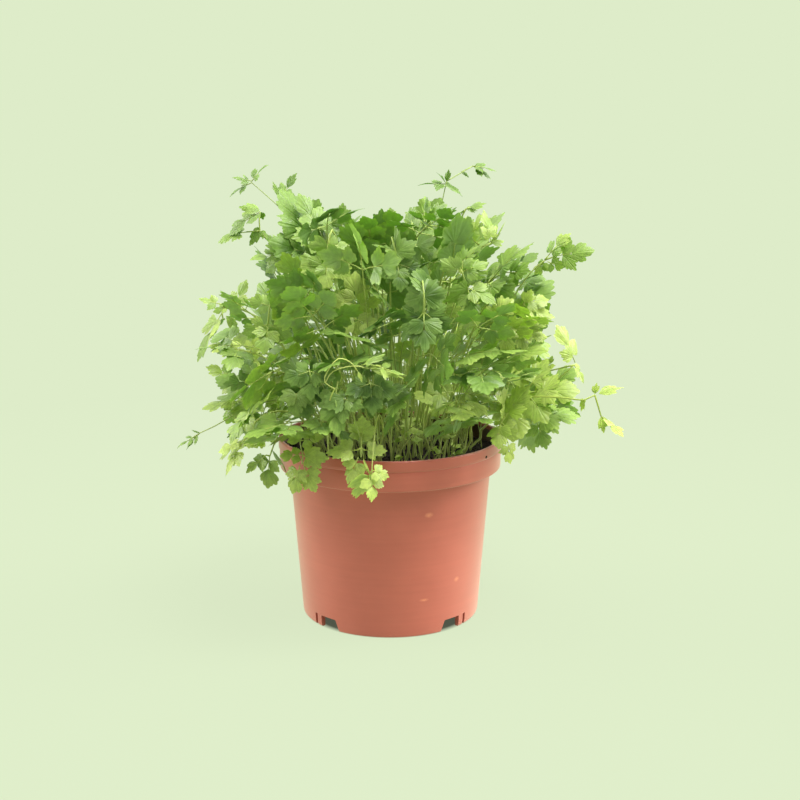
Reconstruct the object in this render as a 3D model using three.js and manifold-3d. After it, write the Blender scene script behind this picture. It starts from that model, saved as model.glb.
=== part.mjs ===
// Potted flat-leaf parsley: a moulded nursery pot, its block of potting medium and the leaves.
// Millimetres, +Z up. The origin is the centre of the pot's foot, on the surface it stands on.
import * as THREE from 'three';
import { mergeVertices } from 'three/addons/utils/BufferGeometryUtils.js';
import Module from 'manifold-3d';

const wasm = await Module();
wasm.setup();

// ---------------------------------------------------------------- driving dimensions (mm)
const POT_HEIGHT = 105.5;        // foot to rim
const RIM_RADIUS = 65.0;         // outer radius of the upper lip, a 13 cm pot
const BAND_RADIUS = 64.4;        // the rest of the rim band, just inside the lip
const LIP_DEPTH = 6.2;           // height of the lip
const BAND_BOTTOM = 88.2;        // where the rim band steps in to the body
const NECK_RADIUS = 58.6;        // body just under the rim band
const FOOT_RADIUS = 51.9;        // body at the foot
const WALL = 1.2;                // moulded wall thickness
const FLOOR_Z = 7.6;             // underside of the raised floor
const FOOT_RING = 2.6;           // width of the flat ring that the pot stands on
const POT_SEGMENTS = 44;

const NOTCH_HEIGHT = 6.9;        // drainage notches through the foot skirt
const NOTCH_WIDTH_TOP = 11.4;
const NOTCH_WIDTH_FOOT = 14.0;   // one side of the notch slants outwards
const SLIT_HEIGHT = 6.9;         // narrow slit beside each notch
const SLIT_WIDTH = 2.2;
const NOTCH_ANGLES = [-42.6, 42.6, 137.4, -137.4];   // degrees from the front, -Y
const SLIT_OFFSET = 11.6;        // degrees from the middle of the notch, towards the side
const DRAIN_RADIUS = 3.6;        // holes in the raised floor
const DRAIN_RING = 27.0;
const DRAIN_COUNT = 5;

const SOIL_TOP = 97.0;           // top of the medium at the middle
const GAP = 0.3;                 // clearance between pieces that touch

const STALK_RADIUS = 0.95;       // leaf stalks
const BRANCH_RADIUS = 0.7;       // side stalks of the leaf
const JOINT = 2.0;               // length of the joint that side stalks and leaflets grow from
const BLADE = 0.5;               // half the blade's greatest thickness

// ---------------------------------------------------------------- helpers
function toSolid(geometry) {
  const g = geometry.index ? geometry.toNonIndexed() : geometry.clone();
  for (const name of Object.keys(g.attributes)) if (name !== 'position') g.deleteAttribute(name);
  const m = mergeVertices(g, 1e-4);
  return new wasm.Manifold(new wasm.Mesh({
    numProp: 3,
    vertProperties: new Float32Array(m.attributes.position.array),
    triVerts: new Uint32Array(m.index.array),
  }));
}

function toGeometry(solid) {
  const mesh = solid.getMesh();
  const g = new THREE.BufferGeometry();
  const p = new Float32Array((mesh.vertProperties.length / mesh.numProp) * 3);
  for (let i = 0; i < p.length / 3; i++) {
    for (let k = 0; k < 3; k++) p[3 * i + k] = mesh.vertProperties[i * mesh.numProp + k];
  }
  g.setAttribute('position', new THREE.BufferAttribute(p, 3));
  g.setIndex(new THREE.BufferAttribute(new Uint32Array(mesh.triVerts), 1));
  g.computeVertexNormals();
  return g;
}

// a lathe about Z from a profile of [radius, height] pairs, counter-clockwise seen with +r right
function lathe(profile, segments = POT_SEGMENTS) {
  const g = new THREE.LatheGeometry(profile.map(([r, z]) => new THREE.Vector2(r, z)), segments);
  g.rotateX(Math.PI / 2);
  return g;
}

function prism(points, height) {
  const shape = new THREE.Shape(points.map(([x, y]) => new THREE.Vector2(x, y)));
  return new THREE.ExtrudeGeometry(shape, { depth: height, bevelEnabled: false, steps: 1 });
}

function regular(sides, radius, turn = 0) {
  const pts = [];
  for (let i = 0; i < sides; i++) {
    const a = turn + (i * 2 * Math.PI) / sides;
    pts.push([radius * Math.cos(a), radius * Math.sin(a)]);
  }
  return pts;
}

// ---------------------------------------------------------------- pot
function makePot() {
  const H = POT_HEIGHT;
  const bodyAt = (z) => FOOT_RADIUS + ((NECK_RADIUS - FOOT_RADIUS) * z) / (BAND_BOTTOM - 1);
  const outer = [
    [FOOT_RADIUS - FOOT_RING, 0], [FOOT_RADIUS - 0.7, 0], [bodyAt(0.8), 0.8],
    [bodyAt(BAND_BOTTOM - 1.6), BAND_BOTTOM - 1.6], [NECK_RADIUS + 0.5, BAND_BOTTOM - 0.8],
    [BAND_RADIUS - 1.0, BAND_BOTTOM], [BAND_RADIUS - 0.3, BAND_BOTTOM + 0.7],
    [BAND_RADIUS, H - LIP_DEPTH - 0.5], [RIM_RADIUS, H - LIP_DEPTH],
    [RIM_RADIUS, H - 0.6], [RIM_RADIUS - 0.6, H],
  ];
  const inner = [
    [RIM_RADIUS - WALL - 0.6, H], [RIM_RADIUS - WALL - 0.9, H - 0.6],
    [BAND_RADIUS - WALL - 0.6, BAND_BOTTOM + 2.2], [NECK_RADIUS - WALL, BAND_BOTTOM - 1.2],
    [FOOT_RADIUS - WALL + 0.4, FLOOR_Z + WALL],
  ];
  // the raised floor closes the bottom, and the foot skirt stands below it
  const profile = [
    [0, FLOOR_Z], [FOOT_RADIUS - FOOT_RING, FLOOR_Z],
    ...outer, ...inner, [0, FLOOR_Z + WALL],
  ];
  let pot = toSolid(lathe(profile));
  for (const deg of NOTCH_ANGLES) {
    const a = THREE.MathUtils.degToRad(deg);
    const side = Math.sign(Math.sin(a)) * Math.sign(Math.cos(a));   // the slant faces the front or back
    const half = NOTCH_WIDTH_TOP / 2;
    const extra = NOTCH_WIDTH_FOOT - NOTCH_WIDTH_TOP;
    // trapezium in X (along the skirt) and Y (height), pushed through the skirt
    const quad = [
      [-half - (side > 0 ? extra : 0), -1], [half + (side > 0 ? 0 : extra), -1],
      [half, NOTCH_HEIGHT], [-half, NOTCH_HEIGHT],
    ];
    const g = prism(quad, 9);
    g.rotateX(Math.PI / 2);               // height becomes +Z, depth becomes -Y
    g.translate(0, -(FOOT_RADIUS - 5.6), 0);
    g.rotateZ(a);
    pot = pot.subtract(toSolid(g));
    const slit = prism([
      [-SLIT_WIDTH / 2, -1], [SLIT_WIDTH / 2, -1], [SLIT_WIDTH / 2, SLIT_HEIGHT], [-SLIT_WIDTH / 2, SLIT_HEIGHT],
    ], 9);
    slit.rotateX(Math.PI / 2);
    slit.translate(0, -(FOOT_RADIUS - 5.6), 0);
    slit.rotateZ(a + THREE.MathUtils.degToRad(side * SLIT_OFFSET));
    pot = pot.subtract(toSolid(slit));
  }
  for (let i = 0; i < DRAIN_COUNT; i++) {
    const a = (i * 2 * Math.PI) / DRAIN_COUNT + 0.3;
    const hole = prism(regular(10, DRAIN_RADIUS), 6);
    hole.translate(DRAIN_RING * Math.cos(a), DRAIN_RING * Math.sin(a), FLOOR_Z - 2);
    pot = pot.subtract(toSolid(hole));
  }
  return toGeometry(pot);
}

// ---------------------------------------------------------------- potting medium
// It fills the pot to just under the lip, a little lower at the wall, with an uneven top.
function makeSoil() {
  const r0 = FOOT_RADIUS - WALL + 0.4 - GAP;
  const rNeck = NECK_RADIUS - WALL - GAP - 0.05;
  const rBand = BAND_RADIUS - WALL - 0.6 - GAP - 0.25;
  const profile = [
    [0, FLOOR_Z + WALL + GAP], [r0 - 0.2, FLOOR_Z + WALL + GAP],
    [rNeck, BAND_BOTTOM - 1.4], [rBand, BAND_BOTTOM + 2.8], [rBand, SOIL_TOP - 2.4],
    [56, SOIL_TOP - 1.0], [44, SOIL_TOP - 0.5], [30, SOIL_TOP - 0.1], [15, SOIL_TOP - 0.2], [0, SOIL_TOP - 0.1],
  ];
  const g = mergeVertices((() => { const l = lathe(profile, 40); l.deleteAttribute('normal'); l.deleteAttribute('uv'); return l; })(), 1e-4);
  const p = g.attributes.position;
  for (let i = 0; i < p.count; i++) {
    const x = p.getX(i), y = p.getY(i), z = p.getZ(i);
    const r = Math.hypot(x, y);
    if (z > SOIL_TOP - 1.5 && r < 60) {
      p.setZ(i, z - 0.35 + 0.35 * Math.sin(x * 0.21 + 1.3) * Math.cos(y * 0.17 - 0.6));
    }
  }
  return toGeometry(toSolid(g));
}

// ---------------------------------------------------------------- leaves
// A leaf is one skin: a square stalk whose joints and ends carry side stalks and leaflets, each
// grown out of one four-cornered face of the stalk.
const OUTLINE = [                // one three-lobed leaflet, across and along, right side to left
  [0.43, 0.36], [0.54, 0.68], [0.20, 0.65], [0, 1], [-0.20, 0.65], [-0.54, 0.68], [-0.43, 0.36],
];
const HEART = [0, 0.42];         // where the leaflet is thickest

function makeLeaf(paths, pins) {
  const V = [];                  // vertices
  const T = [];                  // triangles
  const put = (v) => V.push(v.clone()) - 1;
  const vec = (p) => new THREE.Vector3(...p);
  const close = (loop) => T.push([loop[0], loop[1], loop[2]], [loop[0], loop[2], loop[3]]);
  const loops = new Map();       // path number to the face it starts from

  // A leaflet with a sharp edge: the midrib rises a little, the tip and side lobes hang.
  function leaflet(loop, [bx, by, bz, dx, dy, dz, nx, ny, nz, length, width]) {
    const d = new THREE.Vector3(dx, dy, dz).normalize();
    const n = new THREE.Vector3(nx, ny, nz);
    n.addScaledVector(d, -n.dot(d)).normalize();
    const s = new THREE.Vector3().crossVectors(d, n);
    const base = new THREE.Vector3(bx, by, bz);
    const at = ([u, v], lift) => base.clone()
      .addScaledVector(s, u * width).addScaledVector(d, v * length)
      .addScaledVector(n, length * (0.10 * v - 0.22 * v * v - 0.14 * Math.abs(u)) + lift);
    // turn the loop so that it reads upper right, lower right, lower left, upper left
    let turn = 0, best = -Infinity;
    for (let k = 0; k < 4; k++) {
      const q = [0, 1, 2, 3].map((i) => V[loop[(i + k) % 4]]);
      const score = n.dot(q[0]) + n.dot(q[3]) - n.dot(q[1]) - n.dot(q[2])
        + s.dot(q[0]) + s.dot(q[1]) - s.dot(q[2]) - s.dot(q[3]);
      if (score > best) { best = score; turn = k; }
    }
    const [uR, lR, lL, uL] = [0, 1, 2, 3].map((i) => loop[(i + turn) % 4]);
    const rim = OUTLINE.map((q) => put(at(q, 0)));
    const top = put(at(HEART, BLADE)), low = put(at(HEART, -BLADE));
    const upper = [uL, uR, ...rim], lower = [lL, lR, ...rim];
    for (let i = 0; i < upper.length; i++) {
      const j = (i + 1) % upper.length;
      T.push([upper[i], upper[j], top], [lower[j], lower[i], low]);
    }
    T.push([uR, lR, rim[0]], [lL, uL, rim[rim.length - 1]]);
  }

  for (let k = 0; k < paths.length; k++) {
    const points = paths[k].slice(2).map(vec);
    const radius = k === 0 ? STALK_RADIUS : BRANCH_RADIUS;
    const last = points.length - 1;
    const growing = (i) => [
      ...paths.map((p, m) => ({ m, p })).filter(({ m, p }) => m > 0 && p[0] === k && p[1] === i)
        .map(({ m, p }) => ({ path: m, dir: vec(p[3]).sub(points[i]).normalize() })),
      ...pins.filter((q) => q[0] === k && q[1] === i)
        .map((q) => ({ pin: q.slice(2), dir: new THREE.Vector3(q[5], q[6], q[7]).normalize() })),
    ];
    // sections of the stalk: a joint with side growth is a short stretch between two sections
    const sections = [];
    for (let i = k === 0 ? 0 : 1; i <= last; i++) {
      const before = i > 0 ? points[i].clone().sub(points[i - 1]) : points[1].clone().sub(points[0]);
      const after = i < last ? points[i + 1].clone().sub(points[i]) : before.clone();
      const along = before.clone().normalize().add(after.clone().normalize()).normalize();
      const kids = growing(i);
      // the end face takes one that goes on in the same direction, the joint's sides take the rest
      const rows = Math.ceil((i === last
        ? Math.max(kids.length - 1, kids.filter((kid) => kid.dir.dot(along) < 0.35).length)
        : kids.length) / 2);
      if (i === last) {
        const step = Math.min(JOINT, (0.4 * before.length()) / Math.max(1, rows));
        for (let r = rows; r > 0; r--) {
          sections.push({ at: points[i].clone().addScaledVector(along, -r * step), along, joint: i, open: true });
        }
        sections.push({ at: points[i], along, joint: i, open: false, end: true });
      } else {
        const step = Math.min(JOINT, (0.4 * after.length()) / Math.max(1, rows));
        sections.push({ at: points[i], along, joint: i, open: rows > 0 });
        const on = after.clone().normalize();
        for (let r = 1; r <= rows; r++) {
          sections.push({ at: points[i].clone().addScaledVector(on, r * step), along: on, joint: i, open: r < rows });
        }
      }
    }
    // the first ring
    let loop, corners;
    if (k === 0) {
      const t = sections[0].along;
      const e1 = new THREE.Vector3(0, 1, 0).addScaledVector(t, -t.y).normalize();
      const e2 = new THREE.Vector3().crossVectors(t, e1);
      corners = [0, 1, 2, 3].map((j) => e1.clone().multiplyScalar(Math.cos((j * Math.PI) / 2))
        .addScaledVector(e2, Math.sin((j * Math.PI) / 2)));
      loop = corners.map((c) => put(sections[0].at.clone().addScaledVector(c, radius)));
      close([loop[0], loop[3], loop[2], loop[1]]);
    } else {
      loop = loops.get(k);
      const mid = loop.reduce((m, i) => m.add(V[i]), new THREE.Vector3()).multiplyScalar(0.25);
      corners = loop.map((i) => V[i].clone().sub(mid));
    }
    const free = new Map();      // joint number to the faces that things can grow from
    for (let q = k === 0 ? 1 : 0; q < sections.length; q++) {
      const { at, along, joint } = sections[q];
      corners = corners.map((c) => c.clone().addScaledVector(along, -c.dot(along)).normalize());
      const next = corners.map((c) => put(at.clone().addScaledVector(c, radius)));
      const open = q > 0 && sections[q - 1].open && sections[q - 1].joint === joint;
      for (let j = 0; j < 4; j++) {
        const face = [loop[j], loop[(j + 1) % 4], next[(j + 1) % 4], next[j]];
        if (open) {
          if (!free.has(joint)) free.set(joint, []);
          free.get(joint).push({ face, out: corners[j].clone().add(corners[(j + 1) % 4]).normalize() });
        } else close(face);
      }
      loop = next;
    }
    const end = sections[sections.length - 1];
    if (!free.has(end.joint)) free.set(end.joint, []);
    free.get(end.joint).push({ face: loop, out: end.along });
    for (const [joint, faces] of free) {
      const kids = growing(joint);
      while (kids.length) {
        let pick = null;
        for (const kid of kids) {
          for (const f of faces) {
            const score = kid.dir.dot(f.out);
            if (!f.used && (!pick || score > pick.score)) pick = { kid, f, score };
          }
        }
        if (!pick) throw new Error('no face left at a joint');
        pick.f.used = true;
        kids.splice(kids.indexOf(pick.kid), 1);
        if (pick.kid.pin) leaflet(pick.f.face, pick.kid.pin);
        else loops.set(pick.kid.path, pick.f.face);
      }
      for (const f of faces) if (!f.used) close(f.face);
    }
  }
  const g = new THREE.BufferGeometry();
  g.setAttribute('position', new THREE.Float32BufferAttribute(V.flatMap((p) => p.toArray()), 3));
  g.setIndex(T.flat());
  g.computeVertexNormals();
  return g;
}

// Each row: name, tone (0 blue-green to 1 yellow), stalks, leaflets. The first stalk rises from
// the soil. A stalk is [the stalk it grows from, at which point, its points], and a leaflet is
// [its stalk, at which point, base x y z, direction, upper face, length, width].
const LEAVES = [
  ['parsley_leaf_01', 0.14, [
      [-1,0,[1.5,-25.9,97.6],[1.4,-29.8,127.8],[0.8,-36.6,160.9],[0.4,-44.5,191.6],[0.4,-52.1,214.7],[1.3,-57.8,225],[3.6,-60,217.4],[4.6,-60,211.1]]], [
      [0,7, 4.6,-60,210, 0.08,-0.45,-0.89,-0.03,-0.89,0.45, 13.3,15.6],
      [0,7, 4.6,-60,211.1, -0.92,0,-0.38,-0.04,-1,0.09, 13.6,13.4],
      [0,7, 4.6,-60,211.1, 0.95,0,-0.32,0.03,-1,0.09, 13.3,13.4],
      [0,6, 3.6,-60,217.4, 0,0.5,0.87,-0.91,-0.37,0.21, 13.8,12.2],
      [0,6, 3.6,-60,217.4, -0.94,0.02,0.34,0.34,-0.1,0.94, 12.2,11.6],
      [0,6, 3.6,-60,217.4, 0.89,0,0.45,-0.18,-0.91,0.37, 11.7,11.1]]],
  ['parsley_leaf_02', 0.12, [
      [-1,0,[8.3,-40.2,97.6],[9.4,-45.5,123],[11.3,-54.5,151],[13.5,-65.2,177],[15.6,-75.3,196.5],[17.1,-83,204.8],[17.8,-86,197.6],[17.8,-86,189.4]]], [
      [0,7, 17.8,-86,188.4, 0,-0.32,-0.95,-0.02,-0.95,0.32, 18.5,19.4],
      [0,7, 17.8,-86,189.4, -0.62,0.18,-0.77,-0.39,-0.92,0.1, 18.1,16.5],
      [0,7, 17.8,-86,189.4, 0.74,0.2,-0.64,0.22,-0.97,-0.04, 16.7,15.2],
      [0,6, 17.8,-86,197.6, -0.96,0.19,-0.22,-0.21,-0.97,0.09, 10.6,14],
      [0,6, 17.8,-86,197.6, 0.96,0.23,0.15,0.19,-0.95,0.27, 11.7,13.5],
      [0,6, 17.8,-86,197.6, 0.01,0.76,0.65,0.61,-0.52,0.59, 19.3,14.8]]],
  ['parsley_leaf_03', 0.4, [
      [-1,0,[17.1,-31.7,97.6],[18.7,-36.2,125.5],[21.1,-43.7,156],[24.2,-52.6,184.2],[28,-61.1,205.5],[32.5,-67.5,215.1],[37.7,-70,208],[40.3,-70,199.7]]], [
      [0,7, 40.9,-70,198.7, 0.22,-0.29,-0.93,-0.09,-0.96,0.27, 13.9,15.4],
      [0,7, 40.3,-70,199.7, -0.8,-0.13,-0.59,0.45,-0.78,-0.43, 13.7,13.2],
      [0,7, 40.9,-70,199.7, 0.89,-0.22,-0.39,0.13,-0.69,0.71, 14.9,14.2],
      [0,6, 37.7,-70,208, 0.08,0.29,0.95,-0.56,-0.78,0.29, 13.7,13],
      [0,6, 37.7,-70,208, -0.83,-0.34,0.44,0.3,-0.94,-0.15, 12.6,11],
      [0,6, 37.7,-70,208, 0.92,0.15,0.37,-0.12,-0.78,0.62, 13.6,12.9]]],
  ['parsley_leaf_04', 0.25, [
      [-1,0,[13.2,-21.1,97.6],[15.3,-23.1,119.3],[18.7,-26,138.3],[22.9,-29.8,155.3],[27,-34.5,170.9],[30.4,-40.2,185.5],[32.4,-46.9,199.9],[33.2,-52,210.1]],
      [0,6,[32.4,-46.9,199.9],[29.8,-49.7,200.6]],
      [0,6,[32.4,-46.9,199.9],[35.3,-45.6,202.3]]], [
      [0,7, 33.2,-52,210.1, 0.08,-0.5,0.86,-0.66,0.63,0.42, 29.8,28.3],
      [1,1, 29.8,-49.7,200.6, -0.68,-0.73,0.07,-0.7,0.67,0.24, 26.8,24.7],
      [2,1, 35.3,-45.6,202.3, 0.78,0.35,0.52,-0.63,0.45,0.63, 26.8,24.7]]],
  ['parsley_leaf_05', 0.55, [
      [-1,0,[27.9,-24.6,97.6],[31.1,-27.7,119.7],[36.5,-33.1,144],[43,-39.5,166.6],[49.6,-45.6,183.5],[55.3,-50.2,190.9],[59,-52,184.7],[60.2,-52,177.7]]], [
      [0,7, 60.2,-52,177.1, 0.22,-0.28,-0.94,-0.1,-0.96,0.26, 14.3,15.9],
      [0,7, 60.2,-52,177.7, -0.77,-0.13,-0.63,0.45,-0.81,-0.39, 12.5,13.6],
      [0,7, 60.2,-52,177.7, 0.89,0.23,-0.4,-0.05,-0.82,-0.57, 16.2,14.5],
      [0,6, 59,-52,184.7, 0.76,0.2,0.62,0.05,-0.97,0.25, 9.9,11.3],
      [0,6, 59,-52,184.7, -1,0.05,-0.01,-0.04,-0.98,-0.22, 8.5,11.2]]],
  ['parsley_leaf_06', 0.5, [
      [-1,0,[30.2,-30.6,97.6],[32.6,-32.6,117.2],[37.5,-36.6,128.2],[43.9,-41.7,132.6],[50.8,-46.6,132.5],[57.2,-50.4,129.9],[62.1,-51.9,126.7]],
      [0,6,[62.1,-51.9,126.7],[60,-51.9,123.4]],
      [1,1,[60,-51.9,123.4],[64.5,-51.9,112.8]]], [
      [1,1, 60,-51.9,123.4, -0.11,-0.54,-0.83,-0.42,-0.74,0.53, 13.3,11.9],
      [1,1, 61,-51.9,123.9, 0.67,0.1,-0.74,0.17,-0.99,0.02, 11.8,10.8],
      [0,6, 62.1,-51.9,126.7, 0.6,0.1,0.79,-0.66,-0.49,0.57, 20.5,19.4],
      [0,6, 62.1,-51.9,126.7, -0.06,-0.26,0.96,0.98,-0.2,0.01, 18.2,15.8],
      [0,6, 62.1,-51.9,126.7, -0.7,0,0.71,0.5,-0.71,0.5, 10.9,10.4],
      [2,1, 64.5,-51.9,112.8, 0.06,0,-1,0.67,-0.74,0.04, 12.4,11.8]]],
  ['parsley_leaf_07', 0.22, [
      [-1,0,[33.4,-25.5,97.6],[35,-27,110.1],[37.3,-29.3,121.8],[40.3,-32.3,132.3],[44.3,-35.9,141.4],[49.4,-40.1,148.8],[55.6,-44.8,154.4],[61.4,-49,158.2]],
      [0,6,[55.6,-44.8,154.4],[54.7,-48.6,155.4]],
      [0,6,[55.6,-44.8,154.4],[59.1,-42.9,155]]], [
      [0,7, 61.4,-49,158.2, 0.75,-0.54,0.37,-0.4,0.06,0.91, 25.2,23.9],
      [1,1, 54.7,-48.6,155.4, -0.23,-0.96,0.14,-0.47,0.23,0.85, 22.7,20.9],
      [2,1, 59.1,-42.9,155, 0.87,0.49,0.05,-0.36,0.58,0.73, 22.7,20.9]]],
  ['parsley_leaf_08', 0.92, [
      [-1,0,[40.7,-23.5,97.6],[45.6,-26.8,116.5],[55.7,-33.8,128.7],[68.7,-42.4,135.5],[82.6,-50.9,138.4],[95.1,-57.4,138.9],[104,-60,138.4],[109.8,-60,141.1]],
      [0,7,[109.8,-60,141.1],[113.4,-60,129.6]]], [
      [0,7, 111.9,-60,141.7, 0.93,0,0.37,-0.35,-0.33,0.87, 13.1,12.4],
      [0,7, 109.8,-60,141.7, 0.12,0,0.99,-0.53,-0.84,0.06, 7.1,6.8],
      [0,6, 104,-60,138.4, -0.18,0.17,-0.97,-0.86,-0.51,0.06, 7.1,6.7],
      [1,1, 113.4,-60,129.6, 0.24,0,-0.97,0.47,-0.87,0.12, 10.2,9.7],
      [1,1, 113.9,-60,129.1, 0.67,-0.5,-0.56,0.56,-0.15,0.81, 14.7,13.7]]],
  ['parsley_leaf_09', 0.36, [
      [-1,0,[42.3,-17.1,97.6],[45.1,-18.4,117.1],[51,-21.3,127.1],[58.5,-24.8,130.1],[66.6,-28.3,128.9],[73.9,-30.9,125.8],[79.3,-32,123.4]],
      [0,6,[79.3,-32,123.4],[81.5,-32,123.4]],
      [1,1,[81.5,-32,123.4],[81.6,-32,121.1]]], [
      [1,1, 81.5,-32,123.4, 1,0,0.07,-0.07,-0.47,0.88, 22.9,21.7],
      [2,1, 81.6,-32,121.1, 0.34,-0.25,-0.91,-0.11,-0.97,0.23, 16,17.8],
      [1,1, 81.5,-32,124.5, 0.67,0.13,0.73,-0.6,-0.48,0.64, 15,14.2],
      [0,6, 79.3,-32,123.4, -0.02,0.56,-0.83,-0.7,0.58,0.41, 25,17.4]]],
  ['parsley_leaf_10', 0.58, [
      [-1,0,[22,-4.3,97.6],[23.2,-5.8,123.9],[24.2,-8.8,149],[26.2,-12,171.7],[30.5,-14.2,191],[38.6,-13.9,206],[51.6,-10,215.4],[56.7,-8,217.5]],
      [0,6,[51.6,-10,215.4],[44.7,-12,220.6]]], [
      [0,7, 56.7,-8,217.5, -0.16,0.17,0.97,0.81,-0.54,0.23, 17.5,16.7],
      [0,7, 56.7,-8,217.5, 0.6,-0.13,0.79,-0.77,0.18,0.61, 13.5,12.7],
      [0,7, 56.7,-8,217.5, 0.92,0.35,0.16,0.04,-0.5,0.86, 8.7,7.9],
      [1,1, 44.7,-12,220.6, -0.21,0,0.98,0.6,-0.79,0.13, 11.3,10.7],
      [1,1, 44.7,-12,220.6, 0.31,-0.56,0.77,-0.92,-0.38,0.09, 15.9,12.2],
      [1,1, 44.7,-12,220.6, -0.93,0,0.37,0.22,-0.8,0.56, 9,8.6]]],
  ['parsley_leaf_11', 0.35, [
      [-1,0,[21.3,-1.7,97.6],[23.1,-1.4,115.6],[25.9,-0.6,131.8],[29.4,0,146.4],[33.8,-0.2,159.4],[39.1,-2,171.1],[45.1,-6.2,181.6],[54.8,-14.6,195.4],[59.6,-18.7,201.8]],
      [0,7,[54.8,-14.6,195.4],[55.1,-17.6,195.7]],
      [0,7,[54.8,-14.6,195.4],[56.2,-13,197.6]],
      [0,6,[45.1,-6.2,181.6],[44.8,-11.1,180.9]],
      [0,6,[45.1,-6.2,181.6],[46.8,-2.5,184.4]]], [
      [0,8, 59.6,-18.7,201.8, 0.54,-0.46,0.7,-0.79,0.01,0.61, 26.8,25.5],
      [1,1, 55.1,-17.6,195.7, 0.1,-1,-0.02,-0.59,-0.07,0.8, 22,20.3],
      [2,1, 56.2,-13,197.6, 0.48,0.58,0.66,-0.75,-0.12,0.65, 22,20.3],
      [3,1, 44.8,-11.1,180.9, -0.05,-0.97,-0.25,-0.88,-0.08,0.47, 25.5,23.5],
      [4,1, 46.8,-2.5,184.4, 0.36,0.8,0.49,-0.65,-0.16,0.74, 25.5,23.5]]],
  ['parsley_leaf_12', 0.6, [
      [-1,0,[36.1,-3.9,97.6],[40.3,-4,111.8],[47.5,-4.1,124],[56,-4.3,134.8],[64.3,-4.8,144.9],[70.8,-6,155],[73.9,-8,165.8],[75.5,-12,184.1]]], [
      [0,7, 75.5,-12,184.1, 0.99,0,0.13,-0.08,-0.75,0.66, 13.6,12.9],
      [0,7, 75.5,-12,183, 0.87,-0.17,-0.47,0.32,-0.51,0.8, 17.4,16.5],
      [0,7, 75.5,-12,184.7, 0.5,0.13,0.86,-0.66,-0.59,0.47, 7.8,8.4],
      [0,6, 73.9,-8,165.8, 1,0,0,0,-0.57,0.82, 14.8,14.1],
      [0,6, 73.9,-8,165.8, 0.87,-0.06,0.5,-0.48,-0.33,0.81, 14.2,13.5],
      [0,6, 73.9,-8,165.8, 0.36,-0.18,-0.91,0.47,-0.81,0.35, 11,10.4]]],
  ['parsley_leaf_13', 0.35, [
      [-1,0,[8.4,0,97.6],[9.6,-0.6,124.9],[11.8,-1.8,148.9],[14.3,-3,170.2],[16.7,-3.5,189.8],[18.5,-2.8,208.6],[19.2,0,227.5],[19.2,0.6,230.3]]], [
      [0,7, 19.2,0.6,230.3, 0,0.2,0.98,0.23,-0.95,0.2, 11.8,11.2],
      [0,6, 19.2,0,227.5, -0.82,0,0.57,0.4,-0.72,0.57, 11.7,11.2],
      [0,6, 19.2,0,227.5, 0.71,0.13,0.69,-0.7,0.25,0.67, 13.6,12.8],
      [0,6, 19.2,0,227.5, -0.87,-0.29,-0.41,-0.14,-0.64,0.75, 10.4,9.9],
      [0,6, 19.2,0,227.5, 0.93,-0.31,-0.21,-0.08,-0.7,0.71, 9.7,9.2]]],
  ['parsley_leaf_14', 0.72, [
      [-1,0,[47,0,97.6],[53,0,107.8],[62.8,0,116.6],[74.6,0,124.4],[87,0,131.7],[98,0,138.9],[106.2,0,146.5]],
      [0,6,[106.2,0,146.5],[89.5,0,142.4]]], [
      [0,6, 106.7,0,148.2, -0.39,0,0.92,0.76,-0.57,0.32, 22.2,21],
      [0,6, 106.2,0,146.5, 0.56,0.19,-0.81,0.82,-0.29,0.5, 16,15.2],
      [1,1, 89.5,0,142.4, 0.42,0.56,0.72,-0.67,-0.35,0.66, 10.8,10.3]]],
  ['parsley_leaf_15', 0.5, [
      [-1,0,[40.9,2.8,97.6],[45.5,3.1,122.3],[52.8,3.8,146.2],[61.9,4.5,168],[71.6,5.2,186.2],[80.9,5.8,199.5],[88.7,6,206.5]],
      [0,6,[88.7,6,206.5],[95,6,208.8]],
      [0,6,[88.7,6,206.5],[90.4,6,208.8]]], [
      [1,1, 95,6,208.8, 0.96,-0.2,0.19,-0.24,-0.94,0.25, 20.1,16.1],
      [2,1, 90.4,6,208.8, 0.63,0,0.78,-0.69,-0.46,0.56, 16.8,13.5],
      [0,6, 90.5,6,205.4, 0.91,0.2,-0.37,0.21,-0.98,-0.03, 9.9,8.5],
      [0,6, 88.7,6,206.5, -0.51,0.11,-0.85,-0.63,-0.72,0.29, 9.6,8.5]]],
  ['parsley_leaf_16', 0.34, [
      [-1,0,[42.5,6.9,97.6],[46,7.4,116.3],[53.4,8.3,125.2],[62.9,9.4,127.5],[72.8,10.5,126.2],[81.6,11.4,124.6],[87.6,11.7,125.8]],
      [0,6,[87.6,11.7,125.8],[86.4,11.7,130.6]]], [
      [0,6, 88.8,11.7,127, 0.74,0,0.67,-0.58,-0.51,0.63, 24.9,23.7],
      [1,1, 86.4,11.7,130.6, 0.09,0.11,0.99,-0.9,-0.41,0.13, 17.8,16.9],
      [0,6, 87.6,11.7,125.8, 0.99,0,-0.11,0.11,-0.23,0.97, 16.1,15.3]]],
  ['parsley_leaf_17', 0.38, [
      [-1,0,[18,5.8,97.6],[20.5,6.7,128.8],[24.6,8.4,159.2],[29.6,10.3,186.8],[34.9,12.1,209.9],[39.7,13.5,226.5],[43.6,14,235],[46,14,235.8]]], [
      [0,7, 46,14,235.8, 0.95,0,0.31,-0.3,-0.31,0.9, 10.1,9.6],
      [0,6, 43.6,14,235, 0.97,0.24,-0.08,0.19,-0.47,0.86, 8.4,8],
      [0,6, 43.6,14,235, -0.8,0.24,-0.55,-0.53,0.15,0.83, 8.5,8.1]]],
  ['parsley_leaf_18', 0.34, [
      [-1,0,[16.4,8.1,97.6],[17.3,9.4,119.6],[18.3,11.9,139.3],[20,14.7,157],[23.1,16.8,172.9],[28.2,17.4,187.1],[36,15.6,199.8],[42.9,13.2,208.7]],
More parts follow.
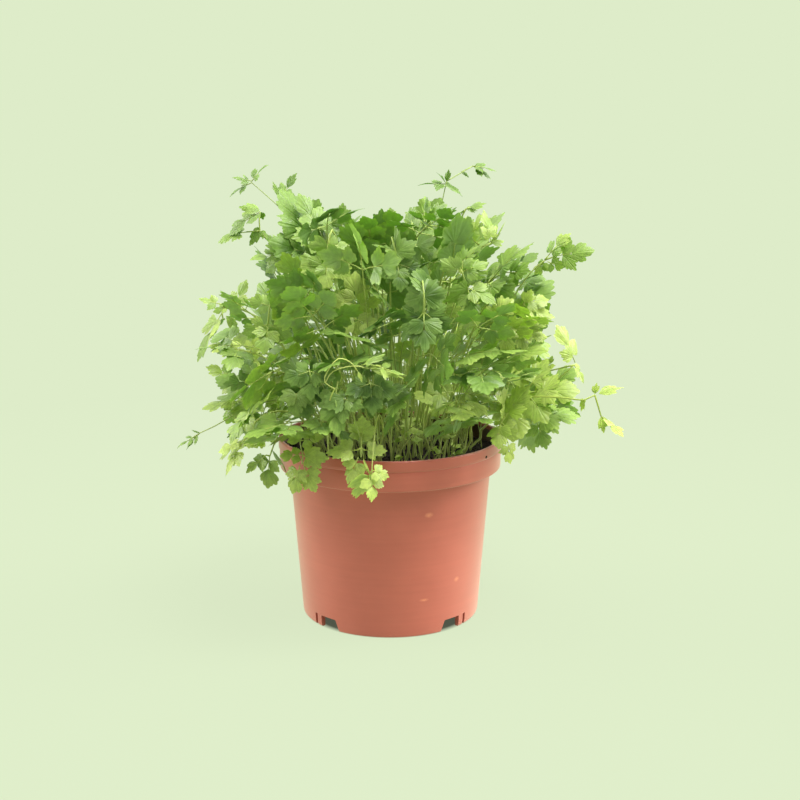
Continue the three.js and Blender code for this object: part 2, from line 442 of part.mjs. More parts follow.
      [0,6,[36,15.6,199.8],[37.5,11.9,199.9]],
      [0,6,[36,15.6,199.8],[36.6,18.6,202.4]]], [
      [0,7, 42.9,13.2,208.7, 0.66,-0.23,0.72,-0.73,-0.45,0.52, 31.3,29.7],
      [1,1, 37.5,11.9,199.9, 0.37,-0.92,-0.09,-0.83,-0.37,0.41, 28.1,25.9],
      [2,1, 36.6,18.6,202.4, 0.18,0.8,0.58,-0.76,-0.26,0.59, 28.1,25.9]]],
  ['parsley_leaf_19', 0.22, [
      [-1,0,[20.7,9.3,97.6],[22.8,10.4,110.9],[25.9,11.9,123.1],[30,13.9,134],[35.1,16.4,143.7],[41.2,19.2,151.9],[48.3,22.4,158.6],[62.7,28.6,168.5],[69.5,31.6,172.9]],
      [0,7,[62.7,28.6,168.5],[65.3,27.1,168.8]],
      [0,7,[62.7,28.6,168.5],[62.5,31.1,170.2]],
      [0,6,[48.3,22.4,158.6],[52,19.1,158.1]],
      [0,6,[48.3,22.4,158.6],[46.7,26.6,160.7]]], [
      [0,8, 69.5,31.6,172.9, 0.8,0.35,0.49,-0.31,-0.46,0.83, 32.9,31.2],
      [1,1, 65.3,27.1,168.8, 0.87,-0.49,-0.04,-0.45,-0.84,0.31, 27,24.8],
      [2,1, 62.5,31.1,170.2, -0.04,0.95,0.3,-0.24,-0.3,0.92, 27,24.8],
      [3,1, 52,19.1,158.1, 0.73,-0.65,-0.21,-0.36,-0.63,0.69, 31.2,28.7],
      [4,1, 46.7,26.6,160.7, -0.33,0.89,0.32,-0.77,-0.45,0.45, 31.2,28.7]]],
  ['parsley_leaf_20', 0.45, [
      [-1,0,[33.1,16.4,97.6],[35.6,18.7,121.1],[38.8,22.6,142.8],[43.5,27.1,162.3],[50.2,31.5,179.4],[59.6,34.7,193.7],[72.4,36,204.7],[74.2,36,205.8]]], [
      [0,7, 74.2,36,205.8, 0.85,0,0.53,-0.47,-0.49,0.74, 8.9,8.5],
      [0,6, 72.4,36,204.7, -0.87,0.11,0.49,0.22,-0.79,0.57, 4.8,5],
      [0,6, 72.4,36,204.7, 0.12,-0.11,0.99,-0.99,0.1,0.14, 7.9,7.4],
      [0,6, 72.4,36,204.7, -0.82,0.18,-0.54,-0.27,-0.96,0.09, 11.3,10.6]]],
  ['parsley_leaf_21', 0.32, [
      [-1,0,[35.2,25.1,97.6],[36.8,25.3,119.5],[40.2,25.9,132.8],[44.6,26.5,138.2],[49.2,27.2,136.3],[53.4,27.8,127.9],[56.3,28.3,113.8],[67.7,48.1,114.7],[72.9,57,114.8]],
      [0,7,[67.7,48.1,114.7],[70.7,48.2,115]],
      [0,7,[67.7,48.1,114.7],[66.4,50.8,114.8]],
      [0,6,[56.3,28.3,113.8],[61.2,27.1,114.2]],
      [0,6,[56.3,28.3,113.8],[52.9,31.9,113.7]]], [
      [0,8, 72.9,57,114.8, 0.5,0.87,-0.02,-0.18,0.12,0.98, 29.1,27.7],
      [1,1, 70.7,48.2,115, 1,0.05,-0.02,-0.01,0.54,0.84, 23.9,22],
      [2,1, 66.4,50.8,114.8, -0.27,0.94,-0.21,0.1,0.24,0.96, 23.9,22],
      [3,1, 61.2,27.1,114.2, 0.97,-0.23,-0.04,-0.04,-0.32,0.95, 27.7,25.4],
      [4,1, 52.9,31.9,113.7, -0.68,0.72,-0.14,-0.42,-0.23,0.88, 27.7,25.4]]],
  ['parsley_leaf_22', 0.4, [
      [-1,0,[13.1,8.9,97.6],[15,10.4,131.3],[18.2,13,163.3],[22.1,16.1,192.4],[26.1,19,217.1],[29.6,21.1,236.4],[32.3,22,248.8],[32.6,22,250.4]],
      [0,7,[32.6,22,250.4],[48.2,30,258.8]],
      [1,1,[48.2,30,258.8],[41.1,28,255.4]]], [
      [0,7, 32.6,22,250.4, 0.21,0,0.98,-0.48,-0.87,0.1, 6.5,6.2],
      [0,6, 32.3,22,248.8, -0.99,-0.12,0.01,0.02,-0.15,0.99, 16.9,16.1],
      [0,6, 32.3,22,248.8, -0.56,-0.11,0.82,0.83,-0.07,0.56, 8.4,7.9],
      [0,6, 32.3,22,248.8, 0.79,0.17,-0.59,0.59,-0.47,0.66, 11.9,11.3],
      [1,1, 48.2,30,258.8, 0.99,0,-0.12,0.11,-0.24,0.96, 14.7,14],
      [1,1, 48.2,30,258.8, 0.87,0.16,-0.47,0.5,-0.31,0.81, 12.4,11.7],
      [2,1, 41.1,28,255.4, 0.74,0.54,-0.41,0.64,-0.36,0.68, 7.4,7.1]]],
  ['parsley_leaf_23', 0.36, [
      [-1,0,[17.4,25.3,97.6],[18.9,27.7,110.3],[21,31.3,122.9],[23.9,35.9,134.4],[28,40.9,143.8],[33.7,45.9,150.1],[41.3,50.5,152.3],[63.3,61.2,150.4],[73.2,66,149.1]],
      [0,7,[63.3,61.2,150.4],[65.3,60.8,148.2]],
      [0,7,[63.3,61.2,150.4],[64.3,63.1,152.6]],
      [0,6,[41.3,50.5,152.3],[43.6,49,148.1]],
      [0,6,[41.3,50.5,152.3],[41.6,53.4,156.4]]], [
      [0,8, 73.2,66,149.1, 0.89,0.43,-0.14,0.4,-0.62,0.68, 31.3,29.7],
      [1,1, 65.3,60.8,148.2, 0.6,-0.13,-0.79,0.6,-0.58,0.56, 25.6,23.6],
      [2,1, 64.3,63.1,152.6, 0.35,0.67,0.65,0.25,-0.74,0.63, 25.6,23.6],
      [3,1, 43.6,49,148.1, 0.41,-0.28,-0.87,0.13,-0.92,0.36, 29.7,27.3],
      [4,1, 41.6,53.4,156.4, 0.07,0.62,0.78,-0.16,-0.77,0.62, 29.7,27.3]]],
  ['parsley_leaf_24', 0.37, [
      [-1,0,[3.4,15.7,97.6],[3.7,16.9,116.5],[4.1,18.4,133.5],[4.8,20.6,148.7],[5.7,23.9,162.3],[7.1,28.7,174.7],[9.1,35.5,186],[12,45.2,198.3],[13.4,49.9,204]],
      [0,7,[12,45.2,198.3],[14.7,46.4,198.9]],
      [0,7,[12,45.2,198.3],[9.9,45.9,200.3]],
      [0,6,[9.1,35.5,186],[14,36.8,185.8]],
      [0,6,[9.1,35.5,186],[4.8,35.8,188.4]]], [
      [0,8, 13.4,49.9,204, 0.19,0.64,0.75,0.24,-0.77,0.6, 31,29.5],
      [1,1, 14.7,46.4,198.9, 0.91,0.4,0.08,0.22,-0.64,0.74, 25.5,23.4],
      [2,1, 9.9,45.9,200.3, -0.72,0.4,0.56,-0.19,-0.9,0.39, 25.5,23.4],
      [3,1, 14,36.8,185.8, 0.95,0.26,-0.16,0.25,-0.4,0.88, 29.5,27.1],
      [4,1, 4.8,35.8,188.4, -0.91,0.08,0.4,0.12,-0.89,0.44, 29.5,27.1]]],
  ['parsley_leaf_25', 0.18, [
      [-1,0,[4.6,29.9,97.6],[4.5,31.6,118.8],[4.4,35.1,133],[4.2,39.6,140.5],[4,44.4,141.5],[3.9,48.8,136.5],[3.8,51.8,125.5],[12,69,113.2],[15.5,76.3,107.5]],
      [0,7,[12,69,113.2],[14.9,69.5,113]],
      [0,7,[12,69,113.2],[10.3,71,111.7]],
      [0,6,[3.8,51.8,125.5],[8.7,51.6,126]],
      [0,6,[3.8,51.8,125.5],[-0.1,54.3,123.6]]], [
      [0,8, 15.5,76.3,107.5, 0.35,0.73,-0.58,-0.15,0.66,0.74, 30.1,28.6],
      [1,1, 14.9,69.5,113, 0.97,0.23,-0.07,0.08,-0.03,1, 24.7,22.7],
      [2,1, 10.3,71,111.7, -0.54,0.62,-0.57,0.15,0.73,0.66, 24.7,22.7],
      [3,1, 8.7,51.6,126, 1,-0.05,-0.03,0.05,0.7,0.71, 28.6,26.3],
      [4,1, -0.1,54.3,123.6, -0.74,0.47,-0.48,-0.11,0.62,0.78, 28.6,26.3]]],
  ['parsley_leaf_26', 0.4, [
      [-1,0,[0.4,12.6,97.6],[0.6,14,123.5],[0.9,16.2,146.1],[1.3,19,166.3],[1.5,22.3,184.9],[1.5,26,202.7],[1,30,220.5],[0.8,30.6,223.2]]], [
      [0,7, 0.8,30.6,223.2, -0.04,0.22,0.97,0.24,-0.94,0.22, 10.9,10.3],
      [0,6, 1,30,220.5, -0.92,0.3,0.27,0.27,-0.05,0.96, 20.1,19.1],
      [0,6, 1,30,220.5, -0.95,-0.11,-0.31,-0.27,-0.28,0.92, 11.2,10.6],
      [0,6, 1,30,220.5, 0.89,0.33,-0.32,0.46,-0.56,0.69, 12,11.4]]],
  ['parsley_leaf_27', 0.21, [
      [-1,0,[-1.1,31.3,97.6],[-1,34.1,118.5],[-0.7,38.1,137.2],[-0.4,43.4,153.9],[-0.5,50,169],[-1.3,57.9,182.5],[-3,67.2,194.8],[-4.6,74.3,203.2]],
      [0,6,[-3,67.2,194.8],[0.3,68.6,196.6]],
      [0,6,[-3,67.2,194.8],[-6.8,68.1,195.6]]], [
      [0,7, -4.6,74.3,203.2, -0.16,0.7,0.69,-0.14,-0.71,0.69, 29,27.5],
      [1,1, 0.3,68.6,196.6, 0.86,0.37,0.35,0.24,-0.9,0.35, 26.1,24],
      [2,1, -6.8,68.1,195.6, -0.97,0.23,0.1,-0.23,-0.97,0.02, 26.1,24]]],
  ['parsley_leaf_28', 0.05, [
      [-1,0,[-9,35.9,97.6],[-9.2,37.8,108.8],[-9.1,40.6,119],[-9.2,44.3,128.2],[-10.1,48.4,136.2],[-12.3,52.7,143.2],[-16.2,56.9,149.1],[-26,64.9,158.6],[-30.7,68.8,162.8]],
      [0,7,[-26,64.9,158.6],[-25.2,67.4,160]],
      [0,7,[-26,64.9,158.6],[-28.8,64.1,159.2]],
      [0,6,[-16.2,56.9,149.1],[-13.6,60.8,150.9]],
      [0,6,[-16.2,56.9,149.1],[-20.6,54.4,149.2]]], [
      [0,8, -30.7,68.8,162.8, -0.64,0.53,0.55,0.39,-0.39,0.83, 29.1,27.6],
      [1,1, -25.2,67.4,160, 0.3,0.87,0.39,0.01,-0.41,0.91, 23.8,21.9],
      [2,1, -28.8,64.1,159.2, -0.95,-0.3,0.08,0.13,-0.15,0.98, 23.8,21.9],
      [3,1, -13.6,60.8,150.9, 0.54,0.81,0.23,0.45,-0.51,0.73, 27.6,25.4],
      [4,1, -20.6,54.4,149.2, -0.86,-0.49,-0.1,0.33,-0.71,0.62, 27.6,25.4]]],
  ['parsley_leaf_29', 0.35, [
      [-1,0,[-4.4,9,97.6],[-4.3,10,110.1],[-3.9,11.2,121.6],[-3.6,13,132],[-3.9,15.6,141.1],[-5.2,19.4,148.7],[-7.9,24.8,154.9],[-16.6,39.7,166.4],[-20.7,46.9,171.6]],
      [0,7,[-16.6,39.7,166.4],[-16.8,42.6,165.7]],
      [0,7,[-16.6,39.7,166.4],[-17.7,39.1,169.1]],
      [0,6,[-7.9,24.8,154.9],[-7.6,29.1,152.4]],
      [0,6,[-7.9,24.8,154.9],[-9.4,22.4,159]]], [
      [0,8, -20.7,46.9,171.6, -0.43,0.74,0.51,0.86,0.17,0.48, 28.5,27.1],
      [1,1, -16.8,42.6,165.7, -0.06,0.93,-0.36,0.87,0.22,0.43, 23.4,21.5],
      [2,1, -17.7,39.1,169.1, -0.49,-0.35,0.8,0.77,0.26,0.59, 23.4,21.5],
      [3,1, -7.6,29.1,152.4, 0.23,0.69,-0.69,0.9,0.11,0.41, 27.1,24.9],
      [4,1, -9.4,22.4,159, -0.32,-0.52,0.79,0.8,0.3,0.53, 27.1,24.9]]],
  ['parsley_leaf_30', 0.05, [
      [-1,0,[-26.1,22.6,97.6],[-28.1,24.7,117.8],[-32.3,29,133.2],[-37.7,34.6,143.6],[-43.4,40.5,148.5],[-48.5,45.9,147.8],[-52.1,49.7,141],[-63.9,58.5,151],[-69.6,62.7,155.4]],
      [0,7,[-63.9,58.5,151],[-63.8,61.4,151.5]],
      [0,7,[-63.9,58.5,151],[-66.2,57.1,152.4]],
      [0,6,[-52.1,49.7,141],[-50.8,54.5,141]],
      [0,6,[-52.1,49.7,141],[-55.3,46.2,142.7]]], [
      [0,8, -69.6,62.7,155.4, -0.69,0.51,0.52,0.59,-0.03,0.81, 24.9,23.7],
      [1,1, -63.8,61.4,151.5, 0.06,1,0.06,0.36,-0.08,0.93, 20.4,18.8],
      [2,1, -66.2,57.1,152.4, -0.79,-0.49,0.37,0.52,-0.22,0.82, 20.4,18.8],
      [3,1, -50.8,54.5,141, 0.27,0.96,-0.11,0.67,-0.11,0.73, 23.7,21.8],
      [4,1, -55.3,46.2,142.7, -0.66,-0.71,0.23,0.61,-0.34,0.72, 23.7,21.8]]],
  ['parsley_leaf_31', 0.2, [
      [-1,0,[-25.8,15.5,97.6],[-27.4,16.5,110.9],[-29.6,17.7,123.1],[-32.5,19.4,134.1],[-36.3,21.9,143.7],[-41.1,25.1,151.9],[-46.9,29.5,158.5],[-58,38,167.4],[-63.2,42,171.4]],
      [0,7,[-58,38,167.4],[-57.1,39.6,169.8]],
      [0,7,[-58,38,167.4],[-60.9,38,166.9]],
      [0,6,[-46.9,29.5,158.5],[-44.2,31.7,162.1]],
      [0,6,[-46.9,29.5,158.5],[-51.4,28.6,156.6]]], [
      [0,8, -63.2,42,171.4, -0.69,0.53,0.49,-0.18,-0.79,0.59, 28.2,26.8],
      [1,1, -57.1,39.6,169.8, 0.27,0.5,0.82,0.27,-0.86,0.44, 23.1,21.3],
      [2,1, -60.9,38,166.9, -0.96,0,-0.28,-0.05,-0.98,0.17, 23.1,21.3],
      [3,1, -44.2,31.7,162.1, 0.59,0.49,0.65,0.14,-0.85,0.51, 26.8,24.7],
      [4,1, -51.4,28.6,156.6, -0.87,-0.16,-0.47,-0.32,-0.55,0.77, 26.8,24.7]]],
  ['parsley_leaf_32', 0.34, [
      [-1,0,[-29.3,14.9,97.6],[-31.2,16,119.3],[-35.1,18.3,132.9],[-40.2,21.3,138.9],[-45.6,24.4,138],[-50.4,27.2,130.6],[-53.9,29.2,117.5],[-57.8,50.9,111.1],[-59.5,60.4,108]],
      [0,7,[-57.8,50.9,111.1],[-55.8,53.1,111.6]],
      [0,7,[-57.8,50.9,111.1],[-60.3,51.9,109.9]],
      [0,6,[-53.9,29.2,117.5],[-49.8,31.8,118.8]],
      [0,6,[-53.9,29.2,117.5],[-58.5,29.5,115.5]]], [
      [0,8, -59.5,60.4,108, -0.17,0.93,-0.33,-0.18,0.3,0.94, 31.7,30.1],
      [1,1, -55.8,53.1,111.6, 0.68,0.73,0.05,-0.5,0.42,0.76, 26,23.9],
      [2,1, -60.3,51.9,109.9, -0.81,0.3,-0.5,-0.29,0.53,0.79, 26,23.9],
      [3,1, -49.8,31.8,118.8, 0.84,0.52,0.14,-0.31,0.24,0.92, 30.1,27.7],
      [4,1, -58.5,29.5,115.5, -0.87,0.04,-0.48,-0.48,0.08,0.87, 30.1,27.7]]],
  ['parsley_leaf_33', 0.4, [
      [-1,0,[-20.3,15.9,97.6],[-25.2,16.3,124.4],[-34.2,16.8,148.3],[-44.3,17.6,169.7],[-52.4,19,189.1],[-55.4,21.4,206.8],[-50.4,25,223.3],[-48.6,25.8,226.2]]], [
      [0,7, -48.6,25.8,226.2, 0.52,0.22,0.83,0.14,-0.97,0.18, 14.4,13.7],
      [0,6, -50.4,25,223.3, -0.59,0,0.8,0.72,-0.44,0.53, 17.3,16.4],
      [0,6, -50.4,25,223.3, 0.94,0.23,0.25,-0.09,-0.55,0.83, 12.9,12.3],
      [0,6, -50.4,25,223.3, -0.96,0.11,-0.24,-0.26,-0.61,0.75, 9.8,9.2]]],
  ['parsley_leaf_34', 0.45, [
      [-1,0,[-34.1,12.5,97.6],[-38.1,14.3,125.6],[-44.5,17.3,152.6],[-52.4,20.9,177.1],[-61,24.4,197.8],[-69.3,27,213],[-76.5,28,221.3],[-76.5,30,232.2]],
      [0,6,[-76.5,28,221.3],[-84.7,28,220.7]]], [
      [0,7, -76.5,30,232.2, -0.86,-0.19,-0.47,-0.36,-0.44,0.82, 21.5,20.5],
      [0,7, -76.5,30,232.8, -0.98,0,0.2,0.16,-0.6,0.79, 11.9,11.3],
      [0,7, -75.9,30,232.2, 0.19,0.46,-0.87,0.26,-0.88,-0.41, 7,6.6],
      [1,1, -84.7,28,220.7, -0.99,-0.02,-0.16,-0.13,-0.43,0.89, 18.5,17.4],
      [0,6, -76.5,28,221.3, -0.64,0,-0.77,-0.43,-0.83,0.36, 11.4,10.8],
      [0,6, -76.5,28,221.3, 0.59,0.5,-0.63,0.76,-0.6,0.23, 9.9,9.4]]],
  ['parsley_leaf_35', 0.38, [
      [-1,0,[-25.1,5.9,97.6],[-28.9,6.9,127.9],[-35.2,8.5,157.5],[-42.7,10.3,184.3],[-50.1,12.1,206.8],[-56.1,13.5,222.9],[-59.3,14,231],[-65.1,16,237.1],[-80,18,250.1]],
      [0,7,[-65.1,16,237.1],[-62.8,10,241.5]]], [
      [0,8, -79.4,18,250.7, 0.62,0,0.79,-0.68,-0.5,0.53, 14.4,13.7],
      [0,8, -80,18,250.7, -0.95,-0.18,0.26,0.31,-0.45,0.84, 11.2,10.6],
      [0,8, -80,18,249.6, -0.89,0.18,-0.42,-0.45,-0.35,0.82, 16.8,15.9],
      [1,1, -62.8,10,241.5, 0.59,0.11,0.8,-0.68,-0.47,0.57, 17.5,16.6],
      [1,1, -62.8,10,240.9, -0.27,0,0.96,0.87,-0.42,0.24, 9.9,9.4],
      [1,1, -62.2,10,240.9, 0.61,0.62,0.5,-0.38,-0.32,0.87, 9.7,9.2]]],
  ['parsley_leaf_36', 0.58, [
      [-1,0,[-43,7.5,97.6],[-46.1,7.7,118.9],[-52.6,8.1,132.9],[-61.1,8.6,140],[-70.1,9.1,140.5],[-78.1,9.6,134.7],[-83.8,10,123.1],[-87.7,6,137.7]],
      [0,7,[-87.7,6,137.7],[-91.2,6,138.9]],
      [0,6,[-83.8,10,123.1],[-89.7,10,123.1]],
      [2,1,[-89.7,10,123.1],[-88,10,120.7]],
      [3,1,[-88,10,120.7],[-85.7,10,118.3]]], [
      [1,1, -91.2,6,138.9, -0.95,0,0.3,0.26,-0.49,0.83, 15.8,15],
      [1,1, -90.1,6,137.1, -0.71,0,-0.7,-0.47,-0.74,0.48, 11.8,11.2],
      [0,7, -87.7,6,137.1, 0.33,-0.18,-0.93,-0.25,-0.96,0.1, 10.5,11],
      [2,1, -89.7,10,123.1, -1,0,-0.08,-0.07,-0.41,0.91, 14.8,14.1],
      [3,1, -88,10,120.7, -0.81,0,-0.59,-0.38,-0.77,0.52, 11.2,10.6],
      [4,1, -85.7,10,118.3, -0.46,0.19,-0.86,-0.84,-0.42,0.35, 15.5,14.7]]],
  ['parsley_leaf_37', 0.45, [
      [-1,0,[-47,1.7,97.6],[-52,1.9,117.7],[-62.3,2.3,124.9],[-75.7,2.9,123.3],[-89.9,3.4,116.9],[-102.7,3.8,109.5],[-111.8,4,105.2],[-114.7,4,103.4]]], [
      [0,7, -114.7,4,103.4, -0.85,0,-0.53,-0.5,-0.33,0.8, 13.6,12.9],
      [0,6, -111.8,4,105.2, -0.71,0,-0.71,-0.69,-0.23,0.69, 13.7,13],
      [0,6, -111.8,4,105.2, -0.95,0,0.3,0.27,-0.43,0.86, 6.1,5.8]]],
  ['parsley_leaf_38', 0.3, [
      [-1,0,[-26.4,0.9,97.6],[-27.9,1.5,123.9],[-29.4,2.9,150.3],[-32,4.4,174.4],[-37.2,5.2,194],[-46.2,4.6,206.8],[-60.4,2,210.3],[-63.9,1.2,210]]], [
      [0,7, -63.9,1.2,210, -0.97,-0.22,-0.1,0.03,-0.52,0.85, 14.7,14],
      [0,6, -60.4,2,210.3, -0.62,0,0.78,0.69,-0.48,0.55, 15.2,14.4],
      [0,6, -60.4,2,210.3, -0.66,0.21,-0.72,-0.67,-0.6,0.44, 14.6,13.9],
      [0,6, -60.4,2,210.3, 0.25,0.32,0.91,-0.97,0.13,0.22, 13.3,12.6]]],
  ['parsley_leaf_39', 0.6, [
      [-1,0,[-43.2,0,97.6],[-46.6,0,116.3],[-51.5,0,134.4],[-57.9,0,150.8],[-66.3,0,164.6],[-76.7,0,174.7],[-89.4,0,180.2],[-95.1,0,181.4],[-98,0,182.1]],
      [0,7,[-95.1,0,181.4],[-92.8,0,180.2]],
      [0,7,[-95.1,0,181.4],[-97.2,6,175.9]],
      [2,1,[-97.2,6,175.9],[-96.7,6,173]]], [
      [0,8, -98,0,182.1, -0.97,0,0.23,0.15,-0.75,0.65, 12.1,11.5],
      [1,1, -92.8,0,180.2, -0.94,0,-0.34,-0.24,-0.69,0.68, 8.6,8.2],
      [0,6, -89.4,0,180.2, 0.44,0.13,0.89,-0.54,-0.76,0.37, 15.9,15.1],
      [2,1, -97.2,6,175.9, -0.53,-0.06,-0.85,-0.81,-0.26,0.52, 32.8,31.2],
      [3,1, -96.7,6,173, -0.58,0.42,-0.7,-0.77,-0.02,0.63, 18.5,14.4],
      [3,1, -94.9,6,174.2, 0.62,0,-0.78,0.57,-0.69,0.45, 12.7,12]]],
  ['parsley_leaf_40', 0.15, [
      [-1,0,[-11.3,-2.5,97.6],[-13.1,-3.4,123.6],[-16.2,-5,146.3],[-19.8,-6.8,166.5],[-23.3,-8.1,185.2],[-25.9,-8,203.1],[-26.9,-6,221.2],[-26.9,-5.4,224.6]]], [
      [0,7, -26.9,-5.4,224.6, 0,0.17,0.98,0.04,-0.98,0.17, 13.9,17.9],
      [0,6, -26.9,-6,221.2, -0.83,0,0.56,0.35,-0.78,0.52, 12.1,11.5],
      [0,6, -26.9,-6,221.2, 0.65,0.32,0.7,-0.52,-0.49,0.7, 15.5,14.3],
      [0,6, -26.9,-6,221.2, 0.6,-0.44,-0.67,0.14,-0.76,0.63, 9.5,8.6]]],
  ['parsley_leaf_41', 0.21, [
      [-1,0,[-15.7,-4.3,97.6],[-17.3,-5.2,118],[-19.7,-6.7,135.9],[-22.8,-8.5,151.8],[-26.6,-9.9,166.5],[-30.9,-10.6,180.3],[-35.8,-9.9,194],[-42.5,-8,210.8],[-45.8,-7.1,218.8]],
      [0,7,[-42.5,-8,210.8],[-41.4,-6,212.8]],
      [0,7,[-42.5,-8,210.8],[-44.7,-9.7,211.9]],
      [0,6,[-35.8,-9.9,194],[-33.2,-6.2,196.2]],
      [0,6,[-35.8,-9.9,194],[-39.4,-13.3,194.6]]], [
      [0,8, -45.8,-7.1,218.8, -0.39,0.11,0.91,0.77,-0.5,0.39, 30.2,28.7],
      [1,1, -41.4,-6,212.8, 0.39,0.73,0.57,0.68,-0.64,0.36, 24.8,22.8],
      [2,1, -44.7,-9.7,211.9, -0.76,-0.59,0.26,0.62,-0.57,0.54, 24.8,22.8],
      [3,1, -33.2,-6.2,196.2, 0.55,0.77,0.32,0.77,-0.62,0.17, 28.7,26.4],
      [4,1, -39.4,-13.3,194.6, -0.73,-0.68,-0.01,0.62,-0.66,0.42, 28.7,26.4]]],
  ['parsley_leaf_42', 0.9, [
      [-1,0,[-39.1,-12,97.6],[-42.1,-13.4,111.3],[-46.5,-15.8,124.6],[-52.3,-18.5,136.5],[-59.5,-21.2,146.6],[-68.1,-23.2,154.1],[-78.1,-24,158.2]],
      [0,6,[-78.1,-24,158.2],[-83.6,-24,159.3]]], [
      [1,1, -83.6,-24,159.3, -0.98,0,0.21,0.18,-0.45,0.87, 16.4,15.6],
      [1,1, -82,-24,158.2, -0.84,-0.26,-0.47,-0.14,-0.74,0.66, 11,11.7],
      [0,6, -78.1,-24,158.2, 0.51,0,0.86,-0.25,-0.96,0.14, 9.2,8.7],
      [0,6, -78.1,-24,158.2, 0.43,0,-0.91,0.75,-0.56,0.35, 12.5,11.9]]],
  ['parsley_leaf_43', 0.86, [
      [-1,0,[-41.5,-22,97.6],[-44.5,-23.5,112],[-50.5,-26.7,121.4],[-58.3,-30.9,125.9],[-66.6,-35.3,126],[-74,-39.2,121.9],[-79.3,-42,113.8]],
      [0,6,[-79.3,-42,113.8],[-82.8,-42,108.1]],
      [1,1,[-82.8,-42,108.1],[-82.7,-42,111.5]]], [
      [1,1, -82.8,-42,108.1, -0.54,-0.23,-0.81,-0.69,-0.43,0.59, 17.1,16.2],
      [2,1, -82.7,-42,111.5, -0.87,0,-0.49,-0.47,-0.29,0.83, 12.8,12.2],
      [0,6, -79.3,-42,113.8, 0.86,0,-0.51,0.36,-0.69,0.62, 10.1,9.6]]],
  ['parsley_leaf_44', 0.1, [
      [-1,0,[-35,-26.1,97.6],[-37.3,-27.8,112.5],[-42,-31.3,121.4],[-48.1,-35.8,125],[-54.6,-40.6,123.5],[-60.4,-44.9,117.7],[-64.5,-48,107.9]],
      [0,6,[-64.5,-48,107.9],[-65.7,-48,104.5]],
      [1,1,[-65.7,-48,104.5],[-67.9,-48,105]]], [
      [1,1, -65.7,-48,104.5, -0.13,-0.24,-0.96,-0.59,-0.76,0.27, 16.6,15.7],
      [2,1, -67.9,-48,105, -0.72,0,-0.69,-0.54,-0.62,0.57, 14,13.3],
      [0,6, -64.5,-48,107.9, 0.6,0.12,-0.79,0.75,0.27,0.61, 14.9,13.8]]],
  ['parsley_leaf_45', 0.28, [
      [-1,0,[-22.3,-16.2,97.6],[-24.4,-18,111.6],[-27.7,-20.6,125.8],[-31.8,-24,138.7],[-36.8,-28.6,149.1],[-42.6,-34.4,155.8],[-48.9,-41.7,157.3],[-62,-57.6,153.3],[-67.8,-64.6,151.1]],
      [0,7,[-62,-57.6,153.3],[-64,-57.7,151]],
      [0,7,[-62,-57.6,153.3],[-62.2,-59.9,155.1]],
      [0,6,[-48.9,-41.7,157.3],[-51.5,-40.7,153.2]],
      [0,6,[-48.9,-41.7,157.3],[-48.1,-44.9,161.1]]], [
      [0,8, -67.8,-64.6,151.1, -0.62,-0.75,-0.25,-0.73,0.43,0.53, 25,23.8],
      [1,1, -64,-57.7,151, -0.58,-0.04,-0.81,-0.49,0.82,0.31, 20.5,18.9],
      [2,1, -62.2,-59.9,155.1, -0.05,-0.84,0.54,-0.48,0.49,0.72, 20.5,18.9],
      [3,1, -51.5,-40.7,153.2, -0.47,0.18,-0.86,-0.86,0.14,0.5, 23.8,21.9],
      [4,1, -48.1,-44.9,161.1, 0.17,-0.7,0.69,-0.47,0.56,0.68, 23.8,21.9]]],
  ['parsley_leaf_46', 0.34, [
      [-1,0,[-29.9,-26.5,97.6],[-33.5,-29.9,120.7],[-39.4,-35.7,146.1],[-46.6,-42.6,169.7],[-53.7,-49.1,187.4],[-59.6,-54.1,195],[-63.2,-56,188.4],[-64.5,-56,178.8]]], [
      [0,7, -64.5,-56,177.7, -0.12,-0.42,-0.9,0.14,-0.91,0.4, 14.4,15.8],
      [0,7, -64.5,-56,178.8, -0.92,0,-0.38,-0.04,-1,0.09, 14,13.6],
      [0,7, -64.5,-56,178.8, 0.89,-0.11,-0.43,-0.27,-0.9,-0.33, 14.3,13.6],
      [0,6, -63.2,-56,188.4, -0.95,0.18,0.26,-0.13,-0.97,0.2, 11.3,12.4],
      [0,6, -63.2,-56,188.4, 0.91,-0.3,0.28,-0.04,-0.74,-0.67, 13.2,12.4],
      [0,6, -63.2,-56,188.4, 0.08,0.64,0.77,-0.98,0.18,-0.04, 16.4,13.6]]],
  ['parsley_leaf_47', 0.7, [
      [-1,0,[-26.2,-30.3,97.6],[-27.9,-32.3,108.9],[-31.5,-36.4,116.7],[-36.1,-41.7,121.2],[-41,-47.3,122.4],[-45.3,-52.4,120.2],[-48.5,-56,114.9],[-46.2,-66,109.6],[-46.5,-70,105.7]],
      [0,7,[-46.2,-66,109.6],[-44.5,-68,109]]], [
      [0,8, -47.6,-70,104.6, -0.3,-0.14,-0.95,-0.52,-0.81,0.28, 14.6,13.9],
      [0,8, -45.4,-70,104.6, 0.34,-0.28,-0.9,-0.33,-0.93,0.17, 14.2,13.4],
      [1,1, -44.5,-68,109, 1,0,-0.05,0.03,-0.79,0.62, 11.7,11.2],
      [0,7, -46.7,-66,109.6, -1,0,0,0,-0.56,0.83, 11.2,10.7],
      [0,6, -48.5,-56,114.9, 0.97,0,0.23,-0.17,-0.64,0.75, 12.3,11.6],
      [0,6, -48.5,-56,114.9, -0.84,0,0.54,0.36,-0.74,0.56, 8.3,7.8]]],
  ['parsley_leaf_48', 0.16, [
      [-1,0,[-23.7,-35.4,97.6],[-26.5,-39.4,112.2],[-31.4,-46.2,128.5],[-37.1,-54.3,143.6],[-42.4,-61.9,154.8],[-46.1,-67.7,159.3],[-46.8,-70,154.4],[-45.9,-70,145.9]]], [
      [0,7, -45.9,-70,144.8, 0.16,-0.29,-0.94,0.06,-0.95,0.3, 13.9,16.8],
